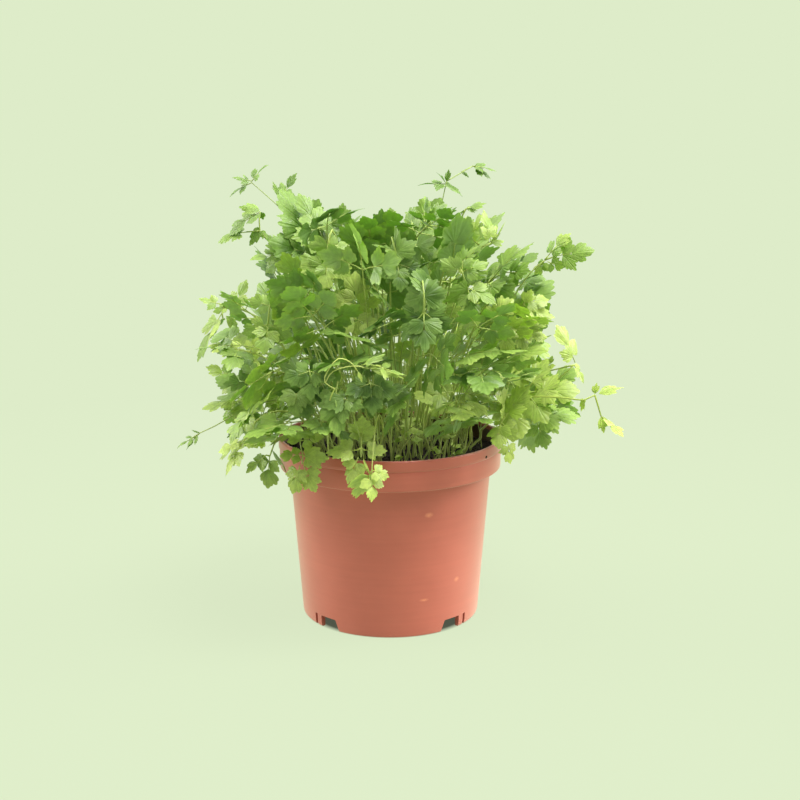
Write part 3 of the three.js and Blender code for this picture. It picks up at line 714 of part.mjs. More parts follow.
      [0,7, -45.9,-70,145.9, -0.97,-0.13,-0.22,0.23,-0.81,-0.54, 13,14.4],
      [0,7, -45.9,-70,145.9, 0.97,-0.14,-0.18,0.01,-0.75,0.66, 15.2,14.3],
      [0,6, -46.8,-70,154.4, -0.92,0.17,0.34,-0.09,-0.96,0.25, 11.5,12.3],
      [0,6, -46.8,-70,154.4, 0.91,0.16,0.39,0.09,-0.98,0.19, 12.7,12.3]]],
  ['parsley_leaf_49', 0.5, [
      [-1,0,[-14.5,-23.2,97.6],[-16.3,-27.2,128.6],[-19.3,-34.1,162.6],[-23,-42.2,194.2],[-26.7,-49.9,217.9],[-29.9,-55.7,228.4],[-32,-58,220.3],[-32.6,-58,211.9]]], [
      [0,7, -32.6,-58,210.9, -0.1,-0.45,-0.89,0.1,-0.89,0.44, 13.4,15.6],
      [0,7, -32.6,-58,211.9, -0.87,0.11,-0.49,-0.15,-0.99,0.05, 15.4,14.4],
      [0,7, -32.6,-58,211.9, 0.89,0,-0.46,0.05,-0.99,0.1, 13.6,13.4],
      [0,6, -32,-58,220.3, -0.96,0.28,-0.03,-0.26,-0.92,-0.31, 11.1,11.1],
      [0,6, -32,-58,220.3, 0.99,0.08,0.09,0.02,-0.85,0.53, 10.5,11]]],
  ['parsley_leaf_50', 0.37, [
      [-1,0,[-6.3,-10.4,97.6],[-6.5,-11,116.9],[-6.8,-11.5,134.1],[-7.2,-12.5,149.5],[-7.9,-14.6,163.4],[-9.1,-18.1,176.1],[-10.8,-23.8,188.1],[-13.9,-34.1,204.4],[-15.5,-39.1,212]],
      [0,7,[-13.9,-34.1,204.4],[-16.7,-34.8,205.4]],
      [0,7,[-13.9,-34.1,204.4],[-11.7,-35,206.1]],
      [0,6,[-10.8,-23.8,188.1],[-15.8,-24.3,188.6]],
      [0,6,[-10.8,-23.8,188.1],[-6.3,-24.7,190]]], [
      [0,8, -15.5,-39.1,212, -0.17,-0.56,0.81,0.01,0.82,0.57, 25.8,24.5],
      [1,1, -16.7,-34.8,205.4, -0.94,-0.24,0.23,-0.17,0.94,0.28, 21.2,19.5],
      [2,1, -11.7,-35,206.1, 0.8,-0.34,0.5,-0.04,0.8,0.6, 21.2,19.5],
      [3,1, -15.8,-24.3,188.6, -1,-0.1,-0.02,-0.08,0.74,0.67, 24.5,22.6],
      [4,1, -6.3,-24.7,190, 0.94,-0.2,0.28,0.05,0.89,0.46, 24.5,22.6]]],
  ['parsley_leaf_51', 0.78, [
      [-1,0,[-6.7,-20.4,97.6],[-8.3,-24.1,115.1],[-11,-30.3,130.2],[-14.2,-37.8,143.6],[-17,-44.9,156.1],[-18.9,-50.2,168.5],[-18.9,-52.3,181.5],[-18.3,-52.3,188.5]]], [
      [0,7, -18.3,-52.3,189, 0.03,0.25,0.97,0.04,-0.97,0.25, 16.1,17],
      [0,7, -18.3,-52.3,188.5, -0.95,0.11,0.28,0.04,-0.88,0.47, 12.9,13.6],
      [0,7, -18.3,-52.3,188.5, 0.99,-0.11,0.13,-0.06,-0.96,-0.28, 13.5,13.6],
      [0,6, -18.9,-52.3,181.5, -0.91,-0.18,-0.38,-0.04,-0.87,0.49, 10.5,12.3],
      [0,6, -18.9,-52.3,181.5, 0.85,-0.32,-0.42,-0.22,-0.94,0.26, 13.9,12.9]]],
  ['parsley_leaf_52', 0.3, [
      [-1,0,[-14,-43.1,97.6],[-15.6,-47.6,110.6],[-18.3,-55.1,125],[-21.4,-64,138.4],[-24.4,-72.9,148.4],[-26.6,-80,152.3],[-27.3,-84,147.6],[-27.2,-84.8,143.4]]], [
      [0,7, -27.2,-84.8,143.4, 0.02,-0.18,-0.98,0.54,-0.82,0.17, 17.3,16.5],
      [0,6, -27.3,-84,147.6, -0.42,0.21,-0.89,-0.29,-0.95,-0.09, 15.7,13.9],
      [0,6, -27.3,-84,147.6, 0.61,0,-0.79,0.7,-0.47,0.54, 13.3,12.7]]],
  ['parsley_leaf_53', 0.78, [
      [-1,0,[-7.9,-34.5,97.6],[-8.4,-36.8,108.3],[-9.5,-41.5,116.3],[-10.9,-47.6,121.5],[-12.4,-54.1,123.8],[-13.7,-59.9,123],[-14.6,-64,119],[-14.9,-76,115.9],[-14.8,-78,111.6]],
      [0,7,[-14.9,-76,115.9],[-17,-76,114.8]],
      [0,7,[-14.9,-76,115.9],[-12.8,-76,114.8]]], [
      [0,8, -16.4,-78,111, -0.38,-0.22,-0.9,-0.27,-0.9,0.34, 13.6,13],
      [1,1, -17,-76,114.8, -1,0,-0.04,-0.03,-0.6,0.8, 15.3,14.5],
      [2,1, -12.8,-76,114.8, 1,0,-0.1,0.02,-0.97,0.24, 11.1,11.2],
      [0,8, -13.8,-78,111, 0.45,-0.33,-0.83,0.89,0.07,0.45, 9.5,8.9],
      [0,6, -14.6,-64,119, -0.7,0,0.72,0.49,-0.73,0.47, 9.9,9.4],
      [0,6, -14.6,-64,119, 0.02,-0.46,0.89,-0.25,-0.86,-0.44, 13.9,10.2],
      [0,6, -14.6,-64,119, 0.84,0,0.55,-0.1,-0.98,0.15, 7,6.8]]],
  ['parsley_leaf_54', 0.1, [
      [-1,0,[-5.5,-31.7,97.6],[-5.9,-34.6,112.3],[-6.7,-39.4,128.3],[-7.5,-45.2,143.2],[-8.4,-50.7,154.4],[-9,-54.9,159.2],[-9.3,-56.5,155.1],[-9.3,-56.5,146.4]]], [
      [0,7, -9.3,-56.5,145.3, 0,-0.25,-0.97,0.02,-0.97,0.25, 16.1,19.4],
      [0,7, -9.3,-56.5,146.4, -0.74,0.17,-0.65,-0.07,-0.98,-0.19, 16.1,14.7],
      [0,7, -9.3,-56.5,146.4, 0.79,-0.22,-0.57,0.14,-0.84,0.52, 17.7,16.8],
      [0,6, -9.3,-56.5,155.1, 0.95,0.18,0.26,0.12,-0.97,0.21, 11.2,12.5],
      [0,6, -9.3,-56.5,155.1, -0.97,0.2,-0.15,-0.22,-0.96,0.15, 10,11.4]]],
  ['parsley_leaf_55', 0.76, [
      [-1,0,[-5.8,-46,97.6],[-7.6,-51.3,113.1],[-11.2,-60.4,128.5],[-15,-71.1,142.7],[-17.4,-81.3,154.2],[-16.8,-89,161.6],[-11.6,-92,163.7]],
      [0,6,[-11.6,-92,163.7],[-5.5,-92,162.7]]], [
      [1,1, -5.5,-92,162.7, 0.94,0,-0.35,0.34,-0.3,0.89, 14.6,13.9],
      [0,6, -11.6,-92,163.7, 0.8,0.35,0.48,-0.24,-0.55,0.8, 11.3,10.8]]],
  ['parsley_leaf_56', 0.93, [
      [-1,0,[-3,-46,97.6],[-3.5,-49.3,116.4],[-4.4,-56,127.3],[-5.6,-64.6,131.1],[-6.9,-73.8,128.5],[-8,-82.1,120.3],[-8.9,-88,107.2],[-8.8,-88.4,104]]], [
      [0,7, -8.8,-88.4,104, 0.03,-0.13,-0.99,0.58,-0.81,0.12, 12.6,11.9],
      [0,6, -8.9,-88,107.2, -0.37,0.46,-0.81,-0.65,0.49,0.58, 20.7,15],
      [0,6, -8.9,-88,107.2, 0.91,0,-0.41,0.21,-0.86,0.47, 9.1,8.6]]],];

// ---------------------------------------------------------------- the assembly
const group = new THREE.Group();

function addPiece(name, geometry, color, roughness, metalness = 0) {
  const mesh = new THREE.Mesh(geometry, new THREE.MeshStandardMaterial({ color, roughness, metalness }));
  mesh.name = name;
  group.add(mesh);
  return mesh;
}

addPiece('pot', makePot(), '#bf6a50', 0.5);
addPiece('soil', makeSoil(), '#2a2018', 0.95);
const fresh = new THREE.Color('#4b7f34');
const young = new THREE.Color('#a9c541');
for (const [name, tone, stalks, leaflets] of LEAVES) {
  addPiece(name, makeLeaf(stalks, leaflets), fresh.clone().lerp(young, tone), 0.55);
}

export default group;
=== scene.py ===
# Potted flat-leaf parsley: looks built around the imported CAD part. Metres, +Z up.
import math
import random

import bmesh
import bpy
import numpy as np
from mathutils import Matrix, Vector


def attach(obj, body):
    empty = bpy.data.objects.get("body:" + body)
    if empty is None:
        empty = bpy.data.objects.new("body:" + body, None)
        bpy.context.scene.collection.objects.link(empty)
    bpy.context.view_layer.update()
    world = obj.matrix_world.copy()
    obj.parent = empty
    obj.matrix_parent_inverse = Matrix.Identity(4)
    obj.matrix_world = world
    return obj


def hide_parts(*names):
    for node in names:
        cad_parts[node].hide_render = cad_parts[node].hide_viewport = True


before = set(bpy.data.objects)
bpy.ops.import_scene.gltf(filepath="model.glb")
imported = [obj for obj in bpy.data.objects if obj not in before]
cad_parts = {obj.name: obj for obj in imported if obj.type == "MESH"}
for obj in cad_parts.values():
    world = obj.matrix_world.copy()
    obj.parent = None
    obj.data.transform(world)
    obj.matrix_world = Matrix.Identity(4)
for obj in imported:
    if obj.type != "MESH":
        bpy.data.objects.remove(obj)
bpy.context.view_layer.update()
MM = 0.001

# ------------------------------------------------------------------ camera
cam_data = bpy.data.cameras.new("camera")
cam_data.sensor_width = 36.0
cam_data.lens = 59.35
cam_data.clip_start = 0.01
cam_data.clip_end = 60.0
cam = bpy.data.objects.new("camera", cam_data)
bpy.context.scene.collection.objects.link(cam)
cam.location = (0.005667, -0.750, 0.283)
cam.rotation_euler = (math.pi / 2 - 0.2066, 0.0, 0.0)
bpy.context.scene.camera = cam

scene = bpy.context.scene
scene.view_settings.view_transform = "Standard"
scene.view_settings.look = "None"
scene.view_settings.exposure = 0.0
scene.view_settings.gamma = 1.0


def srgb(r, g, b):
    """8-bit display colour to the linear values that shaders take."""
    out = []
    for c in (r, g, b):
        c /= 255.0
        out.append(c / 12.92 if c <= 0.04045 else ((c + 0.055) / 1.055) ** 2.4)
    return (*out, 1.0)


PALE = srgb(222, 236, 201)


# ------------------------------------------------------------------ node helpers
def new_material(name):
    m = bpy.data.materials.new(name)
    m.use_nodes = True
    nt = m.node_tree
    nt.nodes.clear()
    return m, nt


class Net:
    """Small helper to build shader networks."""

    def __init__(self, nt):
        self.nt = nt

    def add(self, kind, **settings):
        n = self.nt.nodes.new(kind)
        for k, v in settings.items():
            setattr(n, k, v)
        return n

    def link(self, a, b):
        self.nt.links.new(a, b)

    def put(self, socket, value):
        if isinstance(value, bpy.types.NodeSocket):
            self.link(value, socket)
        else:
            socket.default_value = value

    def noise(self, coord, scale, detail=3.0, rough=0.55, distort=0.0):
        n = self.add("ShaderNodeTexNoise")
        self.link(coord, n.inputs["Vector"])
        n.inputs["Scale"].default_value = scale
        n.inputs["Detail"].default_value = detail
        n.inputs["Roughness"].default_value = rough
        n.inputs["Distortion"].default_value = distort
        return n.outputs["Fac"]

    def ramp(self, fac, stops, mode="EASE"):
        n = self.add("ShaderNodeValToRGB")
        n.color_ramp.interpolation = mode
        els = n.color_ramp.elements
        while len(els) > 1:
            els.remove(els[-1])
        els[0].position, els[0].color = stops[0]
        for p, c in stops[1:]:
            e = els.new(p)
            e.color = c
        self.link(fac, n.inputs["Fac"])
        return n.outputs["Color"]

    def mix(self, fac, a, b, blend="MIX"):
        n = self.add("ShaderNodeMix", data_type="RGBA", blend_type=blend)
        self.put(n.inputs[0], fac)
        self.put(n.inputs[6], a)
        self.put(n.inputs[7], b)
        return n.outputs[2]

    def math(self, op, a, b=0.0, clamp=False):
        n = self.add("ShaderNodeMath", operation=op, use_clamp=clamp)
        self.put(n.inputs[0], a)
        self.put(n.inputs[1], b)
        return n.outputs[0]

    def bump(self, height, strength, distance, normal=None):
        n = self.add("ShaderNodeBump")
        n.inputs["Strength"].default_value = strength
        n.inputs["Distance"].default_value = distance
        self.link(height, n.inputs["Height"])
        if normal is not None:
            self.link(normal, n.inputs["Normal"])
        return n.outputs["Normal"]

    def object_coord(self):
        return self.add("ShaderNodeTexCoord").outputs["Object"]


# ------------------------------------------------------------------ materials
def leaf_material(name):
    """Leaf skin. The mesh carries: red = tone (blue-green to yellow), green = vein, blue = underside."""
    m, nt = new_material(name)
    k = Net(nt)
    co = k.object_coord()
    attr = k.add("ShaderNodeAttribute", attribute_name="leaf")
    sep = k.add("ShaderNodeSeparateColor")
    k.link(attr.outputs["Color"], sep.inputs["Color"])
    tone, vein, under = sep.outputs[0], sep.outputs[1], sep.outputs[2]
    patch = k.noise(co, 60.0, 2.0, 0.5)
    fine = k.noise(co, 420.0, 4.0, 0.6)
    tone2 = k.math("ADD", tone, k.math("MULTIPLY", k.math("SUBTRACT", patch, 0.5), 0.30), clamp=True)
    green = k.ramp(tone2, LEAF_STOPS)
    mottle = k.ramp(fine, [(0.30, (0.80, 0.82, 0.80, 1)), (0.70, (1.12, 1.10, 1.06, 1))], "LINEAR")
    green = k.mix(1.0, green, mottle, "MULTIPLY")
    pale = k.mix(1.0, green, (1.55, 1.42, 1.50, 1), "MULTIPLY")
    green = k.mix(k.math("MULTIPLY", vein, 0.34), green, pale)
    back = k.mix(0.32, green, srgb(132, 158, 112))
    col = k.mix(under, green, back)
    rough = k.math("ADD", k.math("MULTIPLY", fine, 0.18), 0.29)
    height = k.math("SUBTRACT", k.math("MULTIPLY", fine, 0.35), k.math("MULTIPLY", vein, 0.8))
    nrm = k.bump(height, 0.35, 0.0004)
    p = k.add("ShaderNodeBsdfPrincipled")
    k.link(col, p.inputs["Base Color"])
    k.link(rough, p.inputs["Roughness"])
    k.link(nrm, p.inputs["Normal"])
    p.inputs["Specular IOR Level"].default_value = 0.50
    t = k.add("ShaderNodeBsdfTranslucent")
    k.link(k.mix(1.0, col, (1.50, 1.70, 1.12, 1), "MULTIPLY"), t.inputs["Color"])
    k.link(nrm, t.inputs["Normal"])
    mx = k.add("ShaderNodeMixShader")
    mx.inputs[0].default_value = 0.36
    k.link(p.outputs[0], mx.inputs[1])
    k.link(t.outputs[0], mx.inputs[2])
    out = k.add("ShaderNodeOutputMaterial")
    k.link(mx.outputs[0], out.inputs["Surface"])
    return m


LEAF_STOPS = [
    (0.00, srgb(84, 118, 40)),
    (0.09, srgb(121, 152, 72)),
    (0.22, srgb(137, 166, 82)),
    (0.45, srgb(156, 181, 92)),
    (0.70, srgb(178, 194, 102)),
    (1.00, srgb(198, 210, 120)),
]


def stalk_material():
    m, nt = new_material("parsley_stalk")
    k = Net(nt)
    co = k.object_coord()
    attr = k.add("ShaderNodeAttribute", attribute_name="leaf")
    sep = k.add("ShaderNodeSeparateColor")
    k.link(attr.outputs["Color"], sep.inputs["Color"])
    tone, low = sep.outputs[0], sep.outputs[2]
    streak = k.noise(co, 260.0, 3.0, 0.6)
    base = k.ramp(tone, [
        (0.0, srgb(152, 172, 84)), (0.5, srgb(176, 192, 88)), (1.0, srgb(206, 214, 124))])
    pale = k.mix(0.5, base, srgb(196, 200, 140))
    col = k.mix(low, base, pale)
    col = k.mix(1.0, col, k.ramp(streak, [(0.3, (0.84, 0.84, 0.80, 1)), (0.7, (1.1, 1.1, 1.1, 1))], "LINEAR"), "MULTIPLY")
    p = k.add("ShaderNodeBsdfPrincipled")
    k.link(col, p.inputs["Base Color"])
    k.link(k.math("ADD", k.math("MULTIPLY", streak, 0.12), 0.34), p.inputs["Roughness"])
    p.inputs["Specular IOR Level"].default_value = 0.45
    p.inputs["Subsurface Weight"].default_value = 0.15
    p.inputs["Subsurface Radius"].default_value = (0.0012, 0.0016, 0.0006)
    k.link(k.bump(streak, 0.25, 0.0003), p.inputs["Normal"])
    out = k.add("ShaderNodeOutputMaterial")
    k.link(p.outputs[0], out.inputs["Surface"])
    return m


def pot_material():
    m, nt = new_material("terracotta_plastic")
    k = Net(nt)
    co = k.object_coord()
    cloud = k.noise(co, 22.0, 3.0, 0.55)
    fine = k.noise(co, 900.0, 3.0, 0.6)
    # faint rings left by moulding: noise stretched around the pot
    sep = k.add("ShaderNodeSeparateXYZ")
    k.link(co, sep.inputs[0])
    ring_co = k.add("ShaderNodeCombineXYZ")
    k.link(k.math("MULTIPLY", sep.outputs[0], 0.04), ring_co.inputs[0])
    k.link(k.math("MULTIPLY", sep.outputs[1], 0.04), ring_co.inputs[1])
    k.link(sep.outputs[2], ring_co.inputs[2])
    rings = k.noise(ring_co.outputs[0], 420.0, 2.0, 0.5)
    col = k.ramp(cloud, [(0.25, POT_DARK), (0.75, POT_LIGHT)], "LINEAR")
    col = k.mix(1.0, col, k.ramp(rings, [(0.3, (0.975, 0.97, 0.97, 1)), (0.7, (1.02, 1.02, 1.02, 1))], "LINEAR"), "MULTIPLY")
    # dusty scuffs: small pale patches where a stretched noise peaks
    scuff_co = k.add("ShaderNodeMapping", vector_type="POINT")
    scuff_co.inputs["Scale"].default_value = (1.0, 1.0, 1.9)
    k.link(co, scuff_co.inputs["Vector"])
    spots = k.noise(scuff_co.outputs[0], 58.0, 5.0, 0.62, 0.6)
    mask = k.ramp(spots, [(0.705, (0, 0, 0, 1)), (0.76, (1, 1, 1, 1))], "LINEAR")
    col = k.mix(k.math("MULTIPLY", mask, 0.42), col, srgb(226, 150, 104))
    # three rubbed marks on the front of the body
    for at, size, seed in SCUFFS:
        near = k.add("ShaderNodeMapping", vector_type="POINT")
        near.inputs["Location"].default_value = tuple(-a / b for a, b in zip(at, size))
        near.inputs["Scale"].default_value = tuple(1.0 / b for b in size)
        k.link(co, near.inputs["Vector"])
        length = k.add("ShaderNodeVectorMath", operation="LENGTH")
        k.link(near.outputs[0], length.inputs[0])
        spread = k.math("MULTIPLY", k.math("SUBTRACT", 1.0, length.outputs["Value"], clamp=True), 2.4)
        broken = k.math("MULTIPLY", spread, k.math("ADD", k.noise(co, 1100.0 + seed, 3.0, 0.7), 0.05))
        col = k.mix(k.math("MULTIPLY", broken, 0.50, clamp=True), col, srgb(240, 158, 118))
    # painted shade: the inner wall above the potting medium is darkened for the shadow inside the pot, with a ragged
    # upper edge
    flat = k.add("ShaderNodeVectorMath", operation="MULTIPLY")
    k.link(co, flat.inputs[0])
    flat.inputs[1].default_value = (1.0, 1.0, 0.0)
    away = k.add("ShaderNodeVectorMath", operation="LENGTH")
    k.link(flat.outputs[0], away.inputs[0])
    inside = k.math("MULTIPLY", k.math("SUBTRACT", 0.0637, away.outputs["Value"]), 1600.0, clamp=True)
    edge = k.math("ADD", k.math("MULTIPLY", k.noise(co, 240.0, 4.0, 0.6), 0.0034), 0.1022)
    below = k.math("MULTIPLY", k.math("SUBTRACT", edge, sep.outputs[2]), 900.0, clamp=True)
    above = k.math("MULTIPLY", k.math("SUBTRACT", sep.outputs[2], 0.0900), 900.0, clamp=True)
    painted_inner_shade = k.math("MULTIPLY", k.math("MULTIPLY", inside, below), above)
    col = k.mix(k.math("MULTIPLY", painted_inner_shade, 0.88), col, srgb(44, 32, 24))
    p = k.add("ShaderNodeBsdfPrincipled")
    k.link(col, p.inputs["Base Color"])
    rough = k.math("ADD", k.math("MULTIPLY", cloud, 0.10), 0.33)
    k.link(k.math("ADD", rough, k.math("MULTIPLY", mask, 0.18)), p.inputs["Roughness"])
    p.inputs["Specular IOR Level"].default_value = 0.5
    p.inputs["Sheen Weight"].default_value = 0.52
    p.inputs["Sheen Roughness"].default_value = 0.45
    p.inputs["Sheen Tint"].default_value = (1.0, 0.86, 0.72, 1)
    p.inputs["Subsurface Weight"].default_value = 0.12
    p.inputs["Subsurface Radius"].default_value = (0.004, 0.0016, 0.0010)
    h = k.math("ADD", k.math("MULTIPLY", rings, 0.7), k.math("MULTIPLY", fine, 0.22))
    k.link(k.bump(h, 0.22, 0.00018), p.inputs["Normal"])
    out = k.add("ShaderNodeOutputMaterial")
    k.link(p.outputs[0], out.inputs["Surface"])
    return m


POT_DARK = srgb(182, 92, 75)
POT_LIGHT = srgb(198, 104, 86)
# place and half size (m) of the rubbed marks, and a noise offset
SCUFFS = (
    ((0.0216, -0.0532, 0.0723), (0.0030, 0.0034, 0.0018), 0.0),
    ((0.0377, -0.0390, 0.0303), (0.0022, 0.0026, 0.0018), 60.0),
    ((0.0191, -0.0500, 0.0218), (0.0032, 0.0034, 0.0011), 120.0),
)


def soil_material():
    m, nt = new_material("potting_medium")
    k = Net(nt)
    co = k.object_coord()
    a = k.noise(co, 320.0, 5.0, 0.65)
    b = k.noise(co, 1400.0, 4.0, 0.7)
    col = k.ramp(a, [(0.30, srgb(18, 14, 11)), (0.55, srgb(38, 29, 22)), (0.72, srgb(66, 52, 38)), (0.80, srgb(92, 74, 54))], "LINEAR")
    p = k.add("ShaderNodeBsdfPrincipled")
    k.link(col, p.inputs["Base Color"])
    k.link(k.math("ADD", k.math("MULTIPLY", b, 0.25), 0.70), p.inputs["Roughness"])
    p.inputs["Specular IOR Level"].default_value = 0.25
    k.link(k.bump(k.math("ADD", a, k.math("MULTIPLY", b, 0.5)), 0.8, 0.0009), p.inputs["Normal"])
    out = k.add("ShaderNodeOutputMaterial")
    k.link(p.outputs[0], out.inputs["Surface"])
    return m


MAT_LEAF = leaf_material("parsley_blade")
MAT_STALK = stalk_material()
MAT_POT = pot_material()
MAT_SOIL = soil_material()


# ------------------------------------------------------------------ mesh helpers
class Skin:
    """Collects vertices, faces, per-vertex leaf colour data, material numbers and rim flags."""

    def __init__(self):
        self.v, self.f, self.c, self.m, self.rim, self.n = [], [], [], [], [], 0

    def add(self, verts, faces, colors, mat, rim=None):
        verts = np.asarray(verts, float)
        self.v.append(verts)
        for face in faces:
            self.f.append([i + self.n for i in face])
            self.m.append(mat)
        self.c.append(np.asarray(colors, float))
        self.rim.append(np.zeros(len(verts), bool) if rim is None else np.asarray(rim, bool))
        self.n += len(verts)

    def build(self, name, materials, smooth=True):
        me = bpy.data.meshes.new(name)
        v = np.concatenate(self.v) * MM
        me.from_pydata(v.tolist(), [], self.f)
        for mat in materials:
            me.materials.append(mat)
        me.polygons.foreach_set("material_index", self.m)
        me.polygons.foreach_set("use_smooth", [smooth] * len(me.polygons))
        col = me.attributes.new("leaf", "FLOAT_COLOR", "POINT")
        c = np.ones((self.n, 4), np.float32)
        c[:, :3] = np.concatenate(self.c)
        col.data.foreach_set("color", c.ravel())
        rim = np.concatenate(self.rim)
        if rim.any():
            e = np.zeros(len(me.edges) * 2, np.int32)
            me.edges.foreach_get("vertices", e)
            e = e.reshape(-1, 2)
            sharp = rim[e[:, 0]] & rim[e[:, 1]]
            at = me.attributes.new("sharp_edge", "BOOLEAN", "EDGE")
            at.data.foreach_set("value", sharp)
        me.update()
        o = bpy.data.objects.new(name, me)
        bpy.context.scene.collection.objects.link(o)
        return o


def unit(v):
    return v / max(1e-9, np.linalg.norm(v))


def smooth_path(points, step):
    """Catmull-Rom curve through the points, resampled about every step millimetres."""
    p = [np.array(q, float) for q in points]
    p = [2 * p[0] - p[1]] + p + [2 * p[-1] - p[-2]]
    out, where = [], []
    for i in range(1, len(p) - 2):
        a, b, c, d = p[i - 1], p[i], p[i + 1], p[i + 2]
        n = max(1, int(round(np.linalg.norm(c - b) / step)))
        for j in range(n):
            t = j / n
            q = 0.5 * ((2 * b) + (c - a) * t + (2 * a - 5 * b + 4 * c - d) * t * t
                       + (-a + 3 * b - 3 * c + d) * t ** 3)
            out.append(q)
            where.append(i - 1 + t)
    out.append(p[-2])
    where.append(len(points) - 1)
    return np.array(out), where


def tube(skin, path, radii, sides, tone, lows, mat, groove=0.0):
    """A closed round stalk along a path, with a shallow groove along its upper side."""
    n = len(path)
    tang = np.gradient(path, axis=0)
    tang /= np.linalg.norm(tang, axis=1)[:, None]
    e1 = np.cross(tang[0], [0.31, 0.17, 0.93])
    e1 = unit(e1)
    verts, cols = [], []
    for i in range(n):
        t = tang[i]
        e1 = unit(e1 - t * (e1 @ t))
        e2 = np.cross(t, e1)
        for j in range(sides):
            a = 2 * math.pi * j / sides
            r = radii[i] * (1.0 - groove * max(0.0, math.cos(a)) ** 6)
            verts.append(path[i] + r * (math.cos(a) * e1 + math.sin(a) * e2))
            cols.append((tone, 0.0, lows[i]))
    faces = []
    for i in range(n - 1):
        for j in range(sides):
            k = (j + 1) % sides
            faces.append((i * sides + j, i * sides + k, (i + 1) * sides + k, (i + 1) * sides + j))
    c0, c1 = len(verts), len(verts) + 1
    verts += [path[0] - tang[0] * radii[0] * 0.4, path[-1] + tang[-1] * radii[-1] * 0.6]
    cols += [(tone, 0.0, lows[0]), (tone, 0.0, lows[-1])]
    for j in range(sides):
        k = (j + 1) % sides
        faces.append((c0, k, j))
        faces.append((c1, (n - 1) * sides + j, (n - 1) * sides + k))
    skin.add(verts, faces, cols, mat)


def reach(theta, a, m, p, q):
    """How far a ray at angle theta runs to the far side of an egg-shaped lobe at angle a."""
    c, sn = math.cos(theta - a), math.sin(theta - a)
    if c <= 0:
        return 0.0
    A = (c / p) ** 2 + (sn / q) ** 2
    B = -2 * m * c / p ** 2
    C = (m / p) ** 2 - 1
    disc = B * B - 4 * A * C
    return 0.0 if disc < 0 else (-B + math.sqrt(disc)) / (2 * A)


def leaflet(skin, pin, tone, rnd, fine=True, mat=0, grow_by=1.0):
    """A leaflet, either whole or parted into three smaller ones on short stalks."""
    L, W = pin[9] * grow_by, pin[10] * grow_by
    if L < 9.0 or rnd.random() > (1.0 if L > 18.0 else 0.88 if L > 13.0 else 0.5):
        blade(skin, pin, tone, rnd, fine=fine, mat=mat, grow_by=grow_by)
        return
    B = np.array(pin[0:3], float)
    d = unit(np.array(pin[3:6], float))
    n = np.array(pin[6:9], float)
    n = unit(n - d * (n @ d))
    s = np.cross(d, n)
    end = B + d * L * 0.42 - n * L * 0.01
    tube(skin, np.array([B - d * 0.3, B + d * L * 0.18, end + d * 0.4]), [0.30, 0.27, 0.22], 5, tone * 0.6 + 0.08,
         [0.0, 0.0, 0.0], 1)
    parts = [(end, 0.0, 0.62, rnd.uniform(0.92, 1.10), 0.0)]
    for sg in (1, -1):
        parts.append((B + d * L * rnd.uniform(0.14, 0.22) + s * (sg * 0.2), sg * math.radians(rnd.uniform(52, 66)),
                      rnd.uniform(0.50, 0.62), rnd.uniform(0.74, 0.90), 1.0))
    for at, turn, k, wide, side in parts:
        t = turn + math.radians(rnd.uniform(-6, 6))
        dd = unit(d * math.cos(t) + s * math.sin(t) + n * rnd.uniform(-0.20, 0.16))
        nn = unit(n + s * rnd.uniform(-0.3, 0.3) + d * rnd.uniform(-0.16, 0.16))
        size = L * k
        blade(skin, [*(at - dd * 0.2), *dd, *nn, size, min(size * wide, W * 0.8)],
              tone, rnd, fine=fine and L > 14.5, mat=mat, grow_by=1.0, slim=side > 0.5 or rnd.random() < 0.5)


# painted shade and painted light: each patch pushes the leaf tone darker where the plant shades itself and lighter
# where light falls on it: place (mm), radius, shift of the tone
PAINTED_SHADE_AND_LIGHT_PATCHES = (
    ((14, -64, 188), 26.0, -0.18), ((-34, -70, 148), 24.0, -0.16), ((16, -74, 168), 22.0, -0.10),
    ((62, -42, 160), 32.0, 0.24), ((52, -30, 128), 26.0, 0.16), ((-66, -45, 157), 24.0, 0.20),
    ((-78, -25, 183), 20.0, -0.20),
)


def painted_light_and_shade(place):
    """Painted shade and light: the shift of a leaflet's tone at a place on the plant."""
    shift = 0.0
    for at, radius, much in PAINTED_SHADE_AND_LIGHT_PATCHES:
        far = float(np.linalg.norm(place - np.array(at, float))) / radius
        shift += much * math.exp(-far * far)
    return shift


